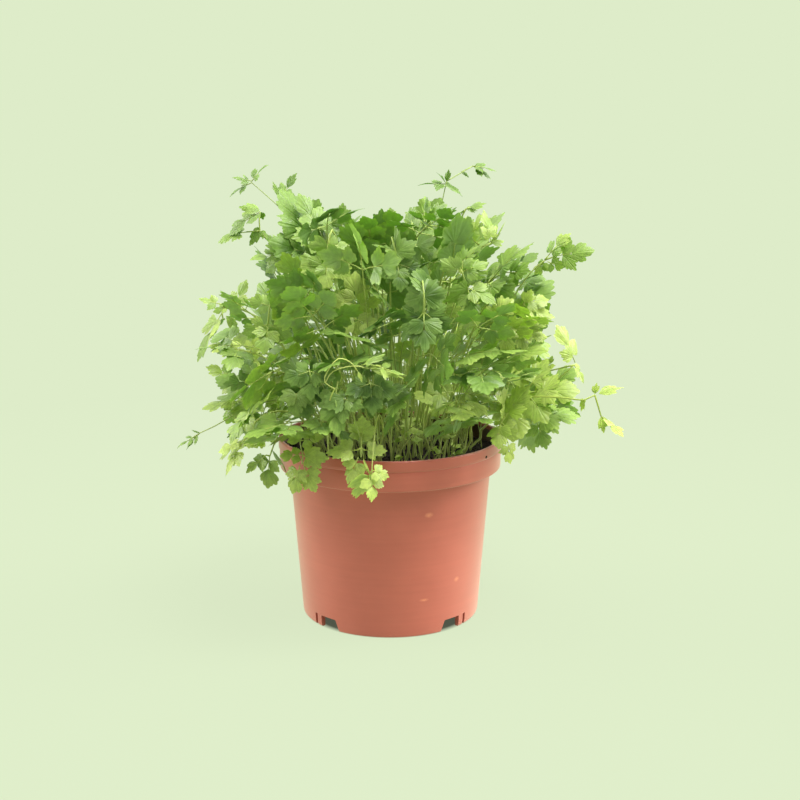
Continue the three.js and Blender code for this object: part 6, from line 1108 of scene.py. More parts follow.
SMALL = [
    ['x_01', 0.26, [
      [-1,0,[3.4,-10.2,97.6],[3.7,-12.3,113.2],[4.1,-15.3,127.2],[4.8,-19.3,139.8],[5.6,-24.4,151],[6.8,-30.5,161],[8.4,-37.7,169.9],[9.7,-43.8,175.9],[10.4,-46.7,178.6]],
      [0,7,[9.7,-43.8,175.9],[7.6,-45.7,176.7]],
      [0,7,[9.7,-43.8,175.9],[12.3,-44,177.4]],
      [0,6,[8.4,-37.7,169.9],[4.1,-40.4,170.3]],
      [0,6,[8.4,-37.7,169.9],[13,-37,171.6]]], [
      [0,8, 10.4,-46.7,178.6, 0.17,-0.73,0.66,-0.85,0.24,0.48, 13.5,12.8],
      [1,1, 7.6,-45.7,176.7, -0.71,-0.68,0.17,-0.27,0.49,0.83, 11.1,10.2],
      [2,1, 12.3,-44,177.4, 0.91,-0.07,0.41,-0.26,0.66,0.7, 11.1,10.2],
      [3,1, 4.1,-40.4,170.3, -0.85,-0.53,-0.04,-0.4,0.58,0.71, 12.8,11.8],
      [4,1, 13,-37,171.6, 0.96,0.15,0.22,-0.26,0.33,0.91, 12.8,11.8]]],
    ['x_02', 0.58, [
      [-1,0,[-17.3,-17.7,97.6],[-19.3,-18.8,115.6],[-22.3,-20.2,131.6],[-26.1,-22.3,145.9],[-30.5,-25.1,158.9],[-35.2,-28.8,170.9],[-40,-33.7,182.2],[-44.8,-39.3,192.7],[-47.2,-42.1,197.6]],
      [0,7,[-44.8,-39.3,192.7],[-47.7,-39,193.6]],
      [0,7,[-44.8,-39.3,192.7],[-43.1,-41,194.6]],
      [0,6,[-40,-33.7,182.2],[-44.8,-32.5,182.5]],
      [0,6,[-40,-33.7,182.2],[-36.2,-36.2,184.4]]], [
      [0,8, -47.2,-42.1,197.6, -0.39,-0.46,0.8,-0.08,0.88,0.47, 19.5,18.5],
      [1,1, -47.7,-39,193.6, -0.98,0.1,0.18,0.19,0.75,0.63, 16,14.7],
      [2,1, -43.1,-41,194.6, 0.61,-0.59,0.53,-0.03,0.65,0.76, 16,14.7],
      [3,1, -44.8,-32.5,182.5, -0.97,0.25,-0.06,0.2,0.89,0.4, 18.5,17.1],
      [4,1, -36.2,-36.2,184.4, 0.8,-0.51,0.32,0.42,0.85,0.31, 18.5,17.1]]],
    ['x_03', 0.41, [
      [-1,0,[-9.6,23.6,97.6],[-10.8,25.8,118.4],[-13.4,30.4,133],[-16.7,36.4,141.6],[-20.1,42.7,144.2],[-23.3,48.4,140.8],[-25.5,52.4,131.5],[-36.4,60.4,127.9],[-41.2,63.9,126]],
      [0,7,[-36.4,60.4,127.9],[-36.2,63.2,126.8]],
      [0,7,[-36.4,60.4,127.9],[-39.3,59.5,128.2]],
      [0,6,[-25.5,52.4,131.5],[-23.7,56.8,129.9]],
      [0,6,[-25.5,52.4,131.5],[-29.6,49.7,132.5]]], [
      [0,8, -41.2,63.9,126, -0.77,0.56,-0.31,-0.36,0.03,0.93, 23,21.8],
      [1,1, -36.2,63.2,126.8, 0.08,0.9,-0.44,0.14,0.42,0.89, 18.8,17.3],
      [2,1, -39.3,59.5,128.2, -0.95,-0.31,0,-0.21,0.62,0.75, 18.8,17.3],
      [3,1, -23.7,56.8,129.9, 0.34,0.84,-0.42,0.07,0.42,0.9, 21.8,20.1],
      [4,1, -29.6,49.7,132.5, -0.83,-0.55,0.08,-0.02,0.18,0.98, 21.8,20.1]]],
    ['x_04', 0.45, [
      [-1,0,[5.3,31.4,97.6],[6.3,33,118.4],[8.3,36.4,133],[10.9,40.9,141.4],[13.7,45.5,143.8],[16.2,49.7,140.1],[18,52.7,130.6],[21.4,65.2,136.9],[23,71.1,139.6]],
      [0,7,[21.4,65.2,136.9],[24.1,65.8,138]],
      [0,7,[21.4,65.2,136.9],[19.4,67.4,137.4]],
      [0,6,[18,52.7,130.6],[22.8,52.4,131.8]],
      [0,6,[18,52.7,130.6],[13.8,55.5,130.7]]], [
      [0,8, 23,71.1,139.6, 0.24,0.89,0.39,-0.58,-0.19,0.79, 18.4,17.5],
      [1,1, 24.1,65.8,138, 0.95,0.2,0.25,-0.11,-0.53,0.84, 15.1,13.9],
      [2,1, 19.4,67.4,137.4, -0.67,0.74,0.05,-0.55,-0.54,0.64, 15.1,13.9],
      [3,1, 22.8,52.4,131.8, 0.99,-0.07,0.13,-0.15,-0.25,0.96, 17.5,16.1],
      [4,1, 13.8,55.5,130.7, -0.83,0.55,-0.09,-0.52,-0.71,0.47, 17.5,16.1]]],
    ['x_05', 0.32, [
      [-1,0,[8.9,-33.4,97.6],[8.7,-35.4,117.8],[8.2,-39.4,133.1],[7.6,-44.7,143.3],[7,-50.3,148.1],[6.4,-55.4,147.2],[6,-59,140.3],[8,-71.1,146.1],[9,-76.8,148.5]],
      [0,7,[8,-71.1,146.1],[7.1,-73.7,145]],
      [0,7,[8,-71.1,146.1],[9.5,-71.3,148.7]],
      [0,6,[6,-59,140.3],[4,-62.5,137.5]],
      [0,6,[6,-59,140.3],[8.5,-57.9,144.6]]], [
      [0,8, 9,-76.8,148.5, 0.15,-0.92,0.37,-0.71,0.16,0.69, 18.8,17.9],
      [1,1, 7.1,-73.7,145, -0.3,-0.83,-0.46,-0.63,-0.19,0.75, 15.5,14.2],
      [2,1, 9.5,-71.3,148.7, 0.53,-0.08,0.85,-0.77,0.38,0.51, 15.5,14.2],
      [3,1, 4,-62.5,137.5, -0.38,-0.66,-0.64,-0.8,-0.12,0.59, 17.9,16.5],
      [4,1, 8.5,-57.9,144.6, 0.55,0.23,0.8,-0.79,0.47,0.4, 17.9,16.5]]],
    ['x_06', 0.36, [
      [-1,0,[-22.3,-5.1,97.6],[-25.3,-5.1,118.5],[-31.4,-5.2,133],[-39.3,-5.2,141.3],[-47.7,-5.2,143.4],[-55.2,-5.3,139.5],[-60.6,-5.3,129.7],[-73.1,-10.6,122.8],[-78.5,-12.9,119.6]],
      [0,7,[-73.1,-10.6,122.8],[-75.6,-8.9,122.5]],
      [0,7,[-73.1,-10.6,122.8],[-73.3,-13.4,121.8]],
      [0,6,[-60.6,-5.3,129.7],[-63.9,-1.6,129.9]],
      [0,6,[-60.6,-5.3,129.7],[-59.6,-10,128.4]]], [
      [0,8, -78.5,-12.9,119.6, -0.8,-0.34,-0.5,-0.53,-0.01,0.85, 13.7,13],
      [1,1, -75.6,-8.9,122.5, -0.82,0.54,-0.21,-0.41,-0.29,0.86, 14.1,12.9],
      [2,1, -73.3,-13.4,121.8, -0.08,-0.89,-0.45,0.17,-0.46,0.87, 14.1,12.9],
      [3,1, -63.9,-1.6,129.9, -0.67,0.74,-0.09,-0.09,0.04,1, 16.3,15],
      [4,1, -59.6,-10,128.4, 0.18,-0.91,-0.37,-0.69,-0.38,0.61, 16.3,15]]],
    ['x_07', 0.49, [
      [-1,0,[36.7,-18.4,97.6],[38.8,-19.3,118.2],[43.4,-21.1,133.1],[49.2,-23.3,142.2],[55.4,-25.8,145.6],[61,-27.9,143],[64.9,-29.5,134.6],[75.8,-33.5,137.1],[80.8,-35.3,138.1]],
      [0,7,[75.8,-33.5,137.1],[77.3,-35.5,135.5]],
      [0,7,[75.8,-33.5,137.1],[77.2,-32.5,139.6]],
      [0,6,[64.9,-29.5,134.6],[66.3,-32.8,131.1]],
      [0,6,[64.9,-29.5,134.6],[66.1,-27.1,138.8]]], [
      [0,8, 80.8,-35.3,138.1, 0.93,-0.34,0.16,-0.34,-0.61,0.72, 20.6,19.6],
      [1,1, 77.3,-35.5,135.5, 0.48,-0.64,-0.6,-0.33,-0.77,0.55, 16.9,15.6],
      [2,1, 77.2,-32.5,139.6, 0.52,0.36,0.78,-0.18,-0.84,0.51, 16.9,15.6],
      [3,1, 66.3,-32.8,131.1, 0.26,-0.61,-0.74,-0.23,-0.79,0.57, 19.6,18],
      [4,1, 66.1,-27.1,138.8, 0.26,0.53,0.81,-0.11,-0.81,0.57, 19.6,18]]],
    ['x_08', 0.18, [
      [-1,0,[1.4,-8.7,97.6],[1.9,-10,125.7],[2.2,-11.3,152],[3,-13.7,175.7],[5.2,-18.2,196.2],[9.3,-26,213],[16.3,-38.2,225.3],[20.9,-46,229.9],[23,-49.7,231.9]],
      [0,7,[20.9,-46,229.9],[19.3,-48,231.5]],
      [0,7,[20.9,-46,229.9],[23.8,-46.4,229.9]],
      [0,6,[16.3,-38.2,225.3],[12.6,-40.7,227.6]],
      [0,6,[16.3,-38.2,225.3],[21.2,-37.8,224.5]]], [
      [0,8, 23,-49.7,231.9, 0.46,-0.79,0.4,0.18,0.53,0.83, 15.5,14.7],
      [1,1, 19.3,-48,231.5, -0.55,-0.7,0.45,0.59,0.06,0.81, 12.7,11.7],
      [2,1, 23.8,-46.4,229.9, 0.98,-0.15,-0.12,0.15,0.24,0.96, 12.7,11.7],
      [3,1, 12.6,-40.7,227.6, -0.77,-0.53,0.35,0.15,0.39,0.91, 14.7,13.5],
      [4,1, 21.2,-37.8,224.5, 0.96,0.08,-0.28,0.07,0.88,0.48, 14.7,13.5]]],
    ['x_09', 0.13, [
      [-1,0,[-14.4,-7.1,97.6],[-16.4,-8.4,107.7],[-19.5,-10.5,116.7],[-23.4,-13.1,124.7],[-27.9,-15.4,131.9],[-32.9,-17,138.6],[-38.1,-17.4,144.8],[-46.2,-16.7,153.4],[-50.1,-16.4,157.4]],
      [0,7,[-46.2,-16.7,153.4],[-46.6,-14.2,155.1]],
      [0,7,[-46.2,-16.7,153.4],[-47.9,-19,154.3]],
      [0,6,[-38.1,-17.4,144.8],[-37.7,-12.8,146.7]],
      [0,6,[-38.1,-17.4,144.8],[-40.3,-21.9,145.1]]], [
      [0,8, -50.1,-16.4,157.4, -0.72,0.06,0.7,0.65,0.41,0.64, 18.7,17.7],
      [1,1, -46.6,-14.2,155.1, -0.14,0.88,0.45,0.47,-0.34,0.81, 15.3,14.1],
      [2,1, -47.9,-19,154.3, -0.6,-0.79,0.16,0.68,-0.38,0.63, 15.3,14.1],
      [3,1, -37.7,-12.8,146.7, 0.07,0.96,0.26,0.94,-0.16,0.32, 17.7,16.3],
      [4,1, -40.3,-21.9,145.1, -0.44,-0.89,-0.06,0.87,-0.45,0.21, 17.7,16.3]]],
    ['x_10', 0.6, [
      [-1,0,[5.9,-8.6,97.6],[6.5,-8.9,108.3],[7.5,-9.2,117.7],[8.7,-9.7,126.1],[10.2,-10.6,133.7],[11.8,-12.3,140.8],[13.5,-14.9,147.6],[15.5,-18.3,154.4],[16.4,-19.9,157.6]],
      [0,7,[15.5,-18.3,154.4],[13.4,-19.1,156.4]],
      [0,7,[15.5,-18.3,154.4],[18.3,-18.7,155.3]],
      [0,6,[13.5,-14.9,147.6],[9.2,-15.9,149.9]],
      [0,6,[13.5,-14.9,147.6],[18.5,-15.1,147.8]]], [
      [0,8, 16.4,-19.9,157.6, 0.26,-0.46,0.85,-0.07,0.87,0.49, 14.8,14.1],
      [1,1, 13.4,-19.1,156.4, -0.75,-0.32,0.59,-0.18,0.94,0.28, 12.1,11.2],
      [2,1, 18.3,-18.7,155.3, 0.97,-0.16,0.18,0.13,0.98,0.13, 12.1,11.2],
      [3,1, 9.2,-15.9,149.9, -0.91,-0.21,0.36,-0.21,0.98,0.03, 14.1,12.9],
      [4,1, 18.5,-15.1,147.8, 1,-0.04,-0.08,0.05,0.99,0.15, 14.1,12.9]]],
    ['x_11', 0.11, [
      [-1,0,[-13,-15.1,97.6],[-15.7,-14.7,126.1],[-20.5,-13.1,152.3],[-26,-12.1,175.9],[-30.9,-13.4,196.6],[-34,-19.1,214.3],[-33.9,-30.9,228.5],[-33.2,-35.6,232.4]],
      [0,6,[-33.9,-30.9,228.5],[-36.6,-33.7,228.3]],
      [0,6,[-33.9,-30.9,228.5],[-30.7,-30.7,231]]], [
      [0,7, -33.2,-35.6,232.4, 0.12,-0.83,0.54,-0.48,0.43,0.76, 14.2,13.5],
      [1,1, -36.6,-33.7,228.3, -0.68,-0.71,-0.18,-0.69,0.54,0.47, 16,14.7],
      [2,1, -30.7,-30.7,231, 0.84,0.03,0.53,-0.5,0.41,0.76, 16,14.7]]],
    ['x_12', 0.52, [
      [-1,0,[26.9,32.4,97.6],[28.1,34.9,118.5],[30.7,40,133],[34.1,46.7,141.2],[37.7,53.7,143.3],[40.9,60.1,139.3],[43.1,64.6,129.4],[47.7,75.5,122.6],[49.7,80.1,119.4]],
      [0,7,[47.7,75.5,122.6],[50.3,75.5,121]],
      [0,7,[47.7,75.5,122.6],[46.3,78.1,122.7]],
      [0,6,[43.1,64.6,129.4],[47.4,63.3,127.2]],
      [0,6,[43.1,64.6,129.4],[39.9,68.3,130.4]]], [
      [0,8, 49.7,80.1,119.4, 0.33,0.77,-0.54,0.43,0.39,0.82, 21,20],
      [1,1, 50.3,75.5,121, 0.8,0.01,-0.6,0.5,0.55,0.67, 17.3,15.9],
      [2,1, 46.3,78.1,122.7, -0.47,0.88,-0.09,0.14,0.17,0.98, 17.3,15.9],
      [3,1, 47.4,63.3,127.2, 0.81,-0.25,-0.54,0.56,0.06,0.82, 20,18.4],
      [4,1, 39.9,68.3,130.4, -0.67,0.74,0.07,0.4,0.28,0.87, 20,18.4]]],
    ['x_13', 0.51, [
      [-1,0,[-37.7,-5.6,97.6],[-41.1,-5.9,118.4],[-47.9,-6.5,133],[-56.8,-7.2,141.6],[-66.2,-8,144.1],[-74.7,-8.7,140.6],[-80.7,-9.2,131.2],[-86.6,-11.1,130.1]],
      [0,6,[-80.7,-9.2,131.2],[-83.6,-6.8,132.5]],
      [0,6,[-80.7,-9.2,131.2],[-81.1,-12.7,129.3]]], [
      [0,7, -86.6,-11.1,130.1, -0.91,-0.3,-0.28,-0.24,-0.18,0.96, 18.5,17.5],
      [1,1, -83.6,-6.8,132.5, -0.76,0.62,0.22,-0.41,-0.71,0.58, 16.6,15.3],
      [2,1, -81.1,-12.7,129.3, -0.1,-0.82,-0.57,-0.24,-0.53,0.81, 16.6,15.3]]],
    ['x_14', 0.05, [
      [-1,0,[31.4,11.8,97.6],[34.6,11.7,117.5],[39.4,10.8,136.3],[45.6,10.3,153.3],[52.9,11.4,167.8],[61.3,15,179.3],[70.5,22.5,187.1],[76.5,28.6,190.2],[79.3,31.5,191.5]],
      [0,7,[76.5,28.6,190.2],[78.8,27.8,191.9]],
      [0,7,[76.5,28.6,190.2],[76.2,31.6,189.9]],
      [0,6,[70.5,22.5,187.1],[73.9,19.8,189.7]],
      [0,6,[70.5,22.5,187.1],[68.9,27,185.8]]], [
      [0,8, 79.3,31.5,191.5, 0.67,0.69,0.28,0.04,-0.41,0.91, 15.5,14.8],
      [1,1, 78.8,27.8,191.9, 0.84,-0.29,0.46,-0.39,0.26,0.88, 10.2,9.4],
      [2,1, 76.2,31.6,189.9, -0.09,0.97,-0.24,-0.77,0.09,0.64, 12.7,11.7],
      [3,1, 73.9,19.8,189.7, 0.72,-0.56,0.4,-0.57,-0.15,0.81, 14.8,13.6],
      [4,1, 68.9,27,185.8, -0.3,0.87,-0.38,-0.87,-0.08,0.49, 14.8,13.6]]],
    ['x_15', 0.55, [
      [-1,0,[-37.8,12.1,97.6],[-39.2,13.4,118.5],[-42,16,133],[-45.6,19.4,141.2],[-49.5,23.1,143.1],[-53,26.4,139.1],[-55.5,28.7,129.1],[-64.8,30.7,135.2],[-69.2,31.6,137.9]],
      [0,7,[-64.8,30.7,135.2],[-64.9,33,137.1]],
      [0,7,[-64.8,30.7,135.2],[-67.2,28.9,135.2]],
      [0,6,[-55.5,28.7,129.1],[-54.5,32.8,131.7]],
      [0,6,[-55.5,28.7,129.1],[-58.8,25,128.1]]], [
      [0,8, -69.2,31.6,137.9, -0.85,0.18,0.49,0.33,-0.54,0.77, 18.2,17.3],
      [1,1, -64.9,33,137.1, -0.06,0.83,0.55,0.35,-0.5,0.79, 15,13.8],
      [2,1, -67.2,28.9,135.2, -0.8,-0.58,-0.12,0.18,-0.43,0.88, 15,13.8],
      [3,1, -54.5,32.8,131.7, 0.21,0.88,0.43,0.41,-0.48,0.77, 17.3,15.9],
      [4,1, -58.8,25,128.1, -0.64,-0.71,-0.3,0.33,-0.61,0.72, 17.3,15.9]]],
    ['x_16', 0.72, [
      [-1,0,[14.9,-18.7,97.6],[16.3,-19.5,115.3],[18.3,-20.1,132.2],[21,-21.5,147.5],[24.3,-24.4,160.5],[28.3,-29.9,170.2],[32.9,-38.8,175.9],[36.9,-47.8,178.1],[38.8,-51.9,179]],
      [0,7,[36.9,-47.8,178.1],[36.3,-50.4,176.7]],
      [0,7,[36.9,-47.8,178.1],[38.9,-48.1,180.4]],
      [0,6,[32.9,-38.8,175.9],[31,-42.3,172.8]],
      [0,6,[32.9,-38.8,175.9],[35.9,-37.9,179.8]]], [
      [0,8, 38.8,-51.9,179, 0.41,-0.9,0.16,-0.75,-0.23,0.62, 16,15.2],
      [1,1, 36.3,-50.4,176.7, -0.2,-0.81,-0.55,-0.81,-0.18,0.56, 13.1,12],
      [2,1, 38.9,-48.1,180.4, 0.7,-0.1,0.7,-0.62,-0.57,0.54, 13.1,12],
      [3,1, 31,-42.3,172.8, -0.35,-0.64,-0.69,-0.53,-0.47,0.71, 15.2,13.9],
      [4,1, 35.9,-37.9,179.8, 0.66,0.2,0.72,-0.75,0.11,0.65, 15.2,13.9]]],
    ['x_17', 0.23, [
      [-1,0,[10.7,-1.1,97.6],[12.8,-1.4,108.8],[15.8,-1.8,118.9],[19.7,-2.4,128],[24.4,-2.8,136],[29.8,-3.2,143.2],[35.8,-3.2,149.6],[45,-3,157.7],[49.5,-2.9,161.3]],
      [0,7,[45,-3,157.7],[47,-5.2,158]],
      [0,7,[45,-3,157.7],[45.4,-0.7,159.5]],
      [0,6,[35.8,-3.2,149.6],[38.3,-7.5,149.1]],
      [0,6,[35.8,-3.2,149.6],[35.3,1.1,152]]], [
      [0,8, 49.5,-2.9,161.3, 0.78,0.02,0.62,-0.5,-0.58,0.65, 20.7,19.7],
      [1,1, 47,-5.2,158, 0.66,-0.75,0,-0.39,-0.34,0.85, 17,15.7],
      [2,1, 45.4,-0.7,159.5, 0.14,0.82,0.55,-0.96,-0.03,0.29, 17,15.7],
      [3,1, 38.3,-7.5,149.1, 0.5,-0.84,-0.21,-0.78,-0.54,0.32, 19.7,18.1],
      [4,1, 35.3,1.1,152, -0.1,0.92,0.39,-0.21,-0.4,0.89, 19.7,18.1]]],
    ['x_18', 0.76, [
      [-1,0,[39.4,13.7,97.6],[40.9,16.3,120.1],[44,21.7,132.7],[48.1,28.7,136.6],[52.4,36,132.8],[56.2,42.7,122.2],[58.9,47.4,105.8],[68,56,100],[71.9,59.8,97.2]],
      [0,7,[68,56,100],[70.9,55.8,100.5]],
      [0,7,[68,56,100],[67.3,58.3,98.2]],
      [0,6,[58.9,47.4,105.8],[63.4,45.9,107.4]],
      [0,6,[58.9,47.4,105.8],[56.4,50.7,103.1]]], [
      [0,8, 71.9,59.8,97.2, 0.64,0.61,-0.47,-0.22,0.73,0.65, 20,19],
      [1,1, 70.9,55.8,100.5, 1,-0.08,0.06,-0.03,0.36,0.93, 13.1,12.1],
      [2,1, 67.3,58.3,98.2, -0.23,0.72,-0.65,-0.27,0.6,0.75, 16.4,15.1],
      [3,1, 63.4,45.9,107.4, 0.93,-0.31,0.21,-0.1,0.35,0.93, 19,17.5],
      [4,1, 56.4,50.7,103.1, -0.48,0.63,-0.62,-0.35,0.51,0.79, 19,17.5]]],
    ['x_19', 0.58, [
      [-1,0,[3.3,-5.5,97.6],[3,-6,124.1],[1.8,-6.4,148.1],[1,-7.3,169.6],[1.9,-9.1,188.8],[5.8,-12.3,205.8],[13.9,-17.6,220.6],[19.7,-21.1,227.5],[22.5,-22.8,230.6]],
      [0,7,[19.7,-21.1,227.5],[21.5,-23.5,227.2]],
      [0,7,[19.7,-21.1,227.5],[19.8,-19.8,230.2]],
      [0,6,[13.9,-17.6,220.6],[16.3,-21.6,218.8]],
      [0,6,[13.9,-17.6,220.6],[13.2,-14.6,224.5]]], [
      [0,8, 22.5,-22.8,230.6, 0.63,-0.38,0.68,-0.71,-0.64,0.3, 12.4,11.8],
      [1,1, 21.5,-23.5,227.2, 0.58,-0.79,-0.22,-0.41,-0.51,0.76, 12.7,11.7],
      [2,1, 19.8,-19.8,230.2, 0.04,0.48,0.88,-0.97,-0.18,0.15, 12.7,11.7],
      [3,1, 16.3,-21.6,218.8, 0.46,-0.76,-0.46,-0.85,-0.53,0.04, 14.7,13.5],
      [4,1, 13.2,-14.6,224.5, -0.16,0.66,0.73,-0.78,-0.54,0.32, 14.7,13.5]]],
    ['x_20', 0.71, [
      [-1,0,[17.9,-29.9,97.6],[19.1,-31.4,117.8],[21.8,-34.6,133.2],[25.2,-38.7,143.5],[28.8,-43.1,148.4],[32,-47,147.6],[34.4,-49.8,140.8],[36,-63.3,138.4],[36.8,-69.4,137.1]],
      [0,7,[36,-63.3,138.4],[33.7,-65.3,138.2]],
      [0,7,[36,-63.3,138.4],[38.7,-64.6,138.1]],
      [0,6,[34.4,-49.8,140.8],[29.8,-51.8,140.8]],
      [0,6,[34.4,-49.8,140.8],[39.3,-50.6,140.6]]], [
      [0,8, 36.8,-69.4,137.1, 0.12,-0.97,-0.23,0.22,-0.2,0.96, 16.6,15.8],
      [1,1, 33.7,-65.3,138.2, -0.76,-0.63,-0.17,-0.36,0.2,0.91, 13.6,12.6],
      [2,1, 38.7,-64.6,138.1, 0.88,-0.42,-0.2,0.06,-0.31,0.95, 13.6,12.6],
      [3,1, 29.8,-51.8,140.8, -0.91,-0.4,-0.13,0.21,-0.71,0.68, 15.8,14.5],
      [4,1, 39.3,-50.6,140.6, 0.97,-0.16,-0.17,0.09,-0.43,0.9, 15.8,14.5]]],
    ['x_21', 0.43, [
      [-1,0,[-40.3,5.2,97.6],[-42.9,7.8,118.8],[-48.1,13.1,132.9],[-54.9,19.9,140.2],[-62.2,27.2,141],[-68.6,33.7,135.6],[-73.3,38.3,124.4],[-83.9,45.3,117.1],[-88.4,48.3,113.7]],
      [0,7,[-83.9,45.3,117.1],[-83.8,48.3,116.5]],
      [0,7,[-83.9,45.3,117.1],[-86.4,44,116.2]],
      [0,6,[-73.3,38.3,124.4],[-71.8,43.1,124]],
      [0,6,[-73.3,38.3,124.4],[-76.8,35,123.4]]], [
      [0,8, -88.4,48.3,113.7, -0.7,0.46,-0.54,-0.37,0.41,0.84, 19.6,18.7],
      [1,1, -83.8,48.3,116.5, 0.03,0.95,-0.31,-0.36,0.3,0.88, 16.1,14.8],
      [2,1, -86.4,44,116.2, -0.81,-0.43,-0.4,-0.41,-0.06,0.91, 16.1,14.8],
      [3,1, -71.8,43.1,124, 0.28,0.94,-0.19,-0.16,0.24,0.96, 18.7,17.2],
      [4,1, -76.8,35,123.4, -0.7,-0.65,-0.3,-0.11,-0.31,0.94, 18.7,17.2]]],
    ['x_22', 0.31, [
      [-1,0,[6.5,2.4,97.6],[7.1,2.7,120.6],[7.8,2.9,140.7],[8.8,3.4,158.7],[10.5,4.2,175.2],[13.1,5.7,190.8],[16.9,7.9,206.3],[20.6,10.2,218.7],[22.5,11.4,224.6]],
      [0,7,[20.6,10.2,218.7],[23,8.9,220]],
      [0,7,[20.6,10.2,218.7],[19.2,12.1,220.5]],
      [0,6,[16.9,7.9,206.3],[20.9,5,207.2]],
      [0,6,[16.9,7.9,206.3],[13.6,11.3,208.1]]], [
      [0,8, 22.5,11.4,224.6, 0.3,0.19,0.93,-0.22,-0.94,0.26, 15.5,14.7],
      [1,1, 23,8.9,220, 0.81,-0.48,0.33,-0.36,-0.86,-0.36, 15.9,14.6],
      [2,1, 19.2,12.1,220.5, -0.52,0.68,0.51,-0.17,-0.67,0.72, 15.9,14.6],
      [3,1, 20.9,5,207.2, 0.81,-0.58,0.06,-0.59,-0.8,0.11, 18.4,16.9],
      [4,1, 13.6,11.3,208.1, -0.67,0.7,0.26,-0.72,-0.69,0, 18.4,16.9]]],
    ['x_23', 0.42, [
      [-1,0,[-19.5,20.6,97.6],[-21.8,21.9,118.2],[-25.4,23.4,136.7],[-29.8,25.7,153.4],[-34.4,29.5,168.2],[-38.6,35.4,181.4],[-41.8,44.1,192.9],[-44,52.7,201.2],[-45,56.8,205]],
      [0,7,[-44,52.7,201.2],[-41.8,53.8,202.9]],
      [0,7,[-44,52.7,201.2],[-46.7,53.8,201.9]],
      [0,6,[-41.8,44.1,192.9],[-37.4,45.2,195]],
      [0,6,[-41.8,44.1,192.9],[-46.8,45,192.9]]], [
      [0,8, -45,56.8,205, -0.18,0.74,0.65,-0.3,-0.67,0.68, 19.7,18.7],
      [1,1, -41.8,53.8,202.9, 0.78,0.41,0.48,0.18,-0.87,0.46, 16.2,14.9],
      [2,1, -46.7,53.8,201.9, -0.93,0.36,0.09,-0.29,-0.85,0.43, 16.2,14.9],
      [3,1, -37.4,45.2,195, 0.93,0.22,0.3,0.07,-0.9,0.43, 18.7,17.2],
      [4,1, -46.8,45,192.9, -0.98,0.18,-0.12,-0.21,-0.84,0.5, 18.7,17.2]]],
    ['x_24', 0.28, [
      [-1,0,[-12.2,-26.9,97.6],[-12.2,-29.8,114.1],[-12,-34,129.6],[-11.9,-39.6,143.7],[-12.4,-46.6,155.7],[-13.9,-55.1,165.2],[-16.8,-65.2,171.8],[-19.4,-72.7,174.5],[-20.6,-76.2,175.7]],
      [0,7,[-19.4,-72.7,174.5],[-22.1,-73.2,175.6]],
      [0,7,[-19.4,-72.7,174.5],[-17.6,-75.1,174.8]],
      [0,6,[-16.8,-65.2,171.8],[-21.6,-64.7,173.1]],
      [0,6,[-16.8,-65.2,171.8],[-12.9,-68.3,171.6]]], [
      [0,8, -20.6,-76.2,175.7, -0.31,-0.91,0.28,0.4,0.14,0.91, 14.5,13.8],
      [1,1, -22.1,-73.2,175.6, -0.96,-0.16,0.23,0.26,-0.25,0.93, 11.9,11],
      [2,1, -17.6,-75.1,174.8, 0.6,-0.8,-0.04,0.28,0.16,0.95, 11.9,11],
      [3,1, -21.6,-64.7,173.1, -0.98,0.12,0.15,0.18,0.74,0.64, 13.8,12.7],
      [4,1, -12.9,-68.3,171.6, 0.78,-0.61,-0.16,0.32,0.17,0.93, 13.8,12.7]]],
    ['x_25', 0.6, [
      [-1,0,[-15.6,23.4,97.6],[-18.4,25.5,122.7],[-22.5,28.8,144.9],[-27.8,33,164.8],[-34.2,37.9,182.8],[-41.3,43.2,199.7],[-49,48.8,215.9],[-54.4,52.7,226],[-57,54.5,230.7]],
      [0,7,[-54.4,52.7,226],[-52.9,54.3,228.1]],
      [0,7,[-54.4,52.7,226],[-57.2,52,226.8]],
      [0,6,[-49,48.8,215.9],[-45.5,51.5,218.4]],
      [0,6,[-49,48.8,215.9],[-53.7,47.1,215.9]]], [
      [0,8, -57,54.5,230.7, -0.47,0.33,0.82,-0.02,-0.93,0.37, 12.6,12],
      [1,1, -52.9,54.3,228.1, 0.52,0.59,0.61,0.79,-0.61,-0.08, 12.9,11.9],
      [2,1, -57.2,52,226.8, -0.97,-0.23,0.13,0.24,-0.6,0.76, 10.4,9.5],
      [3,1, -45.5,51.5,218.4, 0.73,0.56,0.4,0.29,-0.78,0.56, 15,13.8],
      [4,1, -53.7,47.1,215.9, -0.93,-0.35,-0.12,0.26,-0.85,0.46, 15,13.8]]],
    ['x_26', 0.25, [
      [-1,0,[-20.6,-1.3,97.6],[-21.6,-1,110.4],[-22.9,-0.4,122],[-24.9,0.3,132.4],[-27.7,0.7,141.6],[-31.8,0.4,149.6],[-37.5,-0.8,156.4],[-47.7,-3.6,165.2],[-52.6,-4.9,169.1]],
      [0,7,[-47.7,-3.6,165.2],[-50,-1.7,165.8]],
      [0,7,[-47.7,-3.6,165.2],[-47.8,-6.1,166.8]],
      [0,6,[-37.5,-0.8,156.4],[-40.6,3.1,156.4]],
      [0,6,[-37.5,-0.8,156.4],[-36.4,-5.3,158.4]]], [
      [0,8, -52.6,-4.9,169.1, -0.77,-0.21,0.6,0.29,0.72,0.63, 17.5,16.6],
      [1,1, -50,-1.7,165.8, -0.77,0.64,0.07,0.5,0.52,0.69, 14.3,13.2],
      [2,1, -47.8,-6.1,166.8, -0.02,-0.89,0.45,0.72,0.29,0.63, 14.3,13.2],
      [3,1, -40.6,3.1,156.4, -0.62,0.78,-0.12,0.78,0.63,0.06, 16.6,15.3],
      [4,1, -36.4,-5.3,158.4, 0.22,-0.93,0.28,0.73,0.35,0.59, 16.6,15.3]]],
    ['x_27', 0.05, [
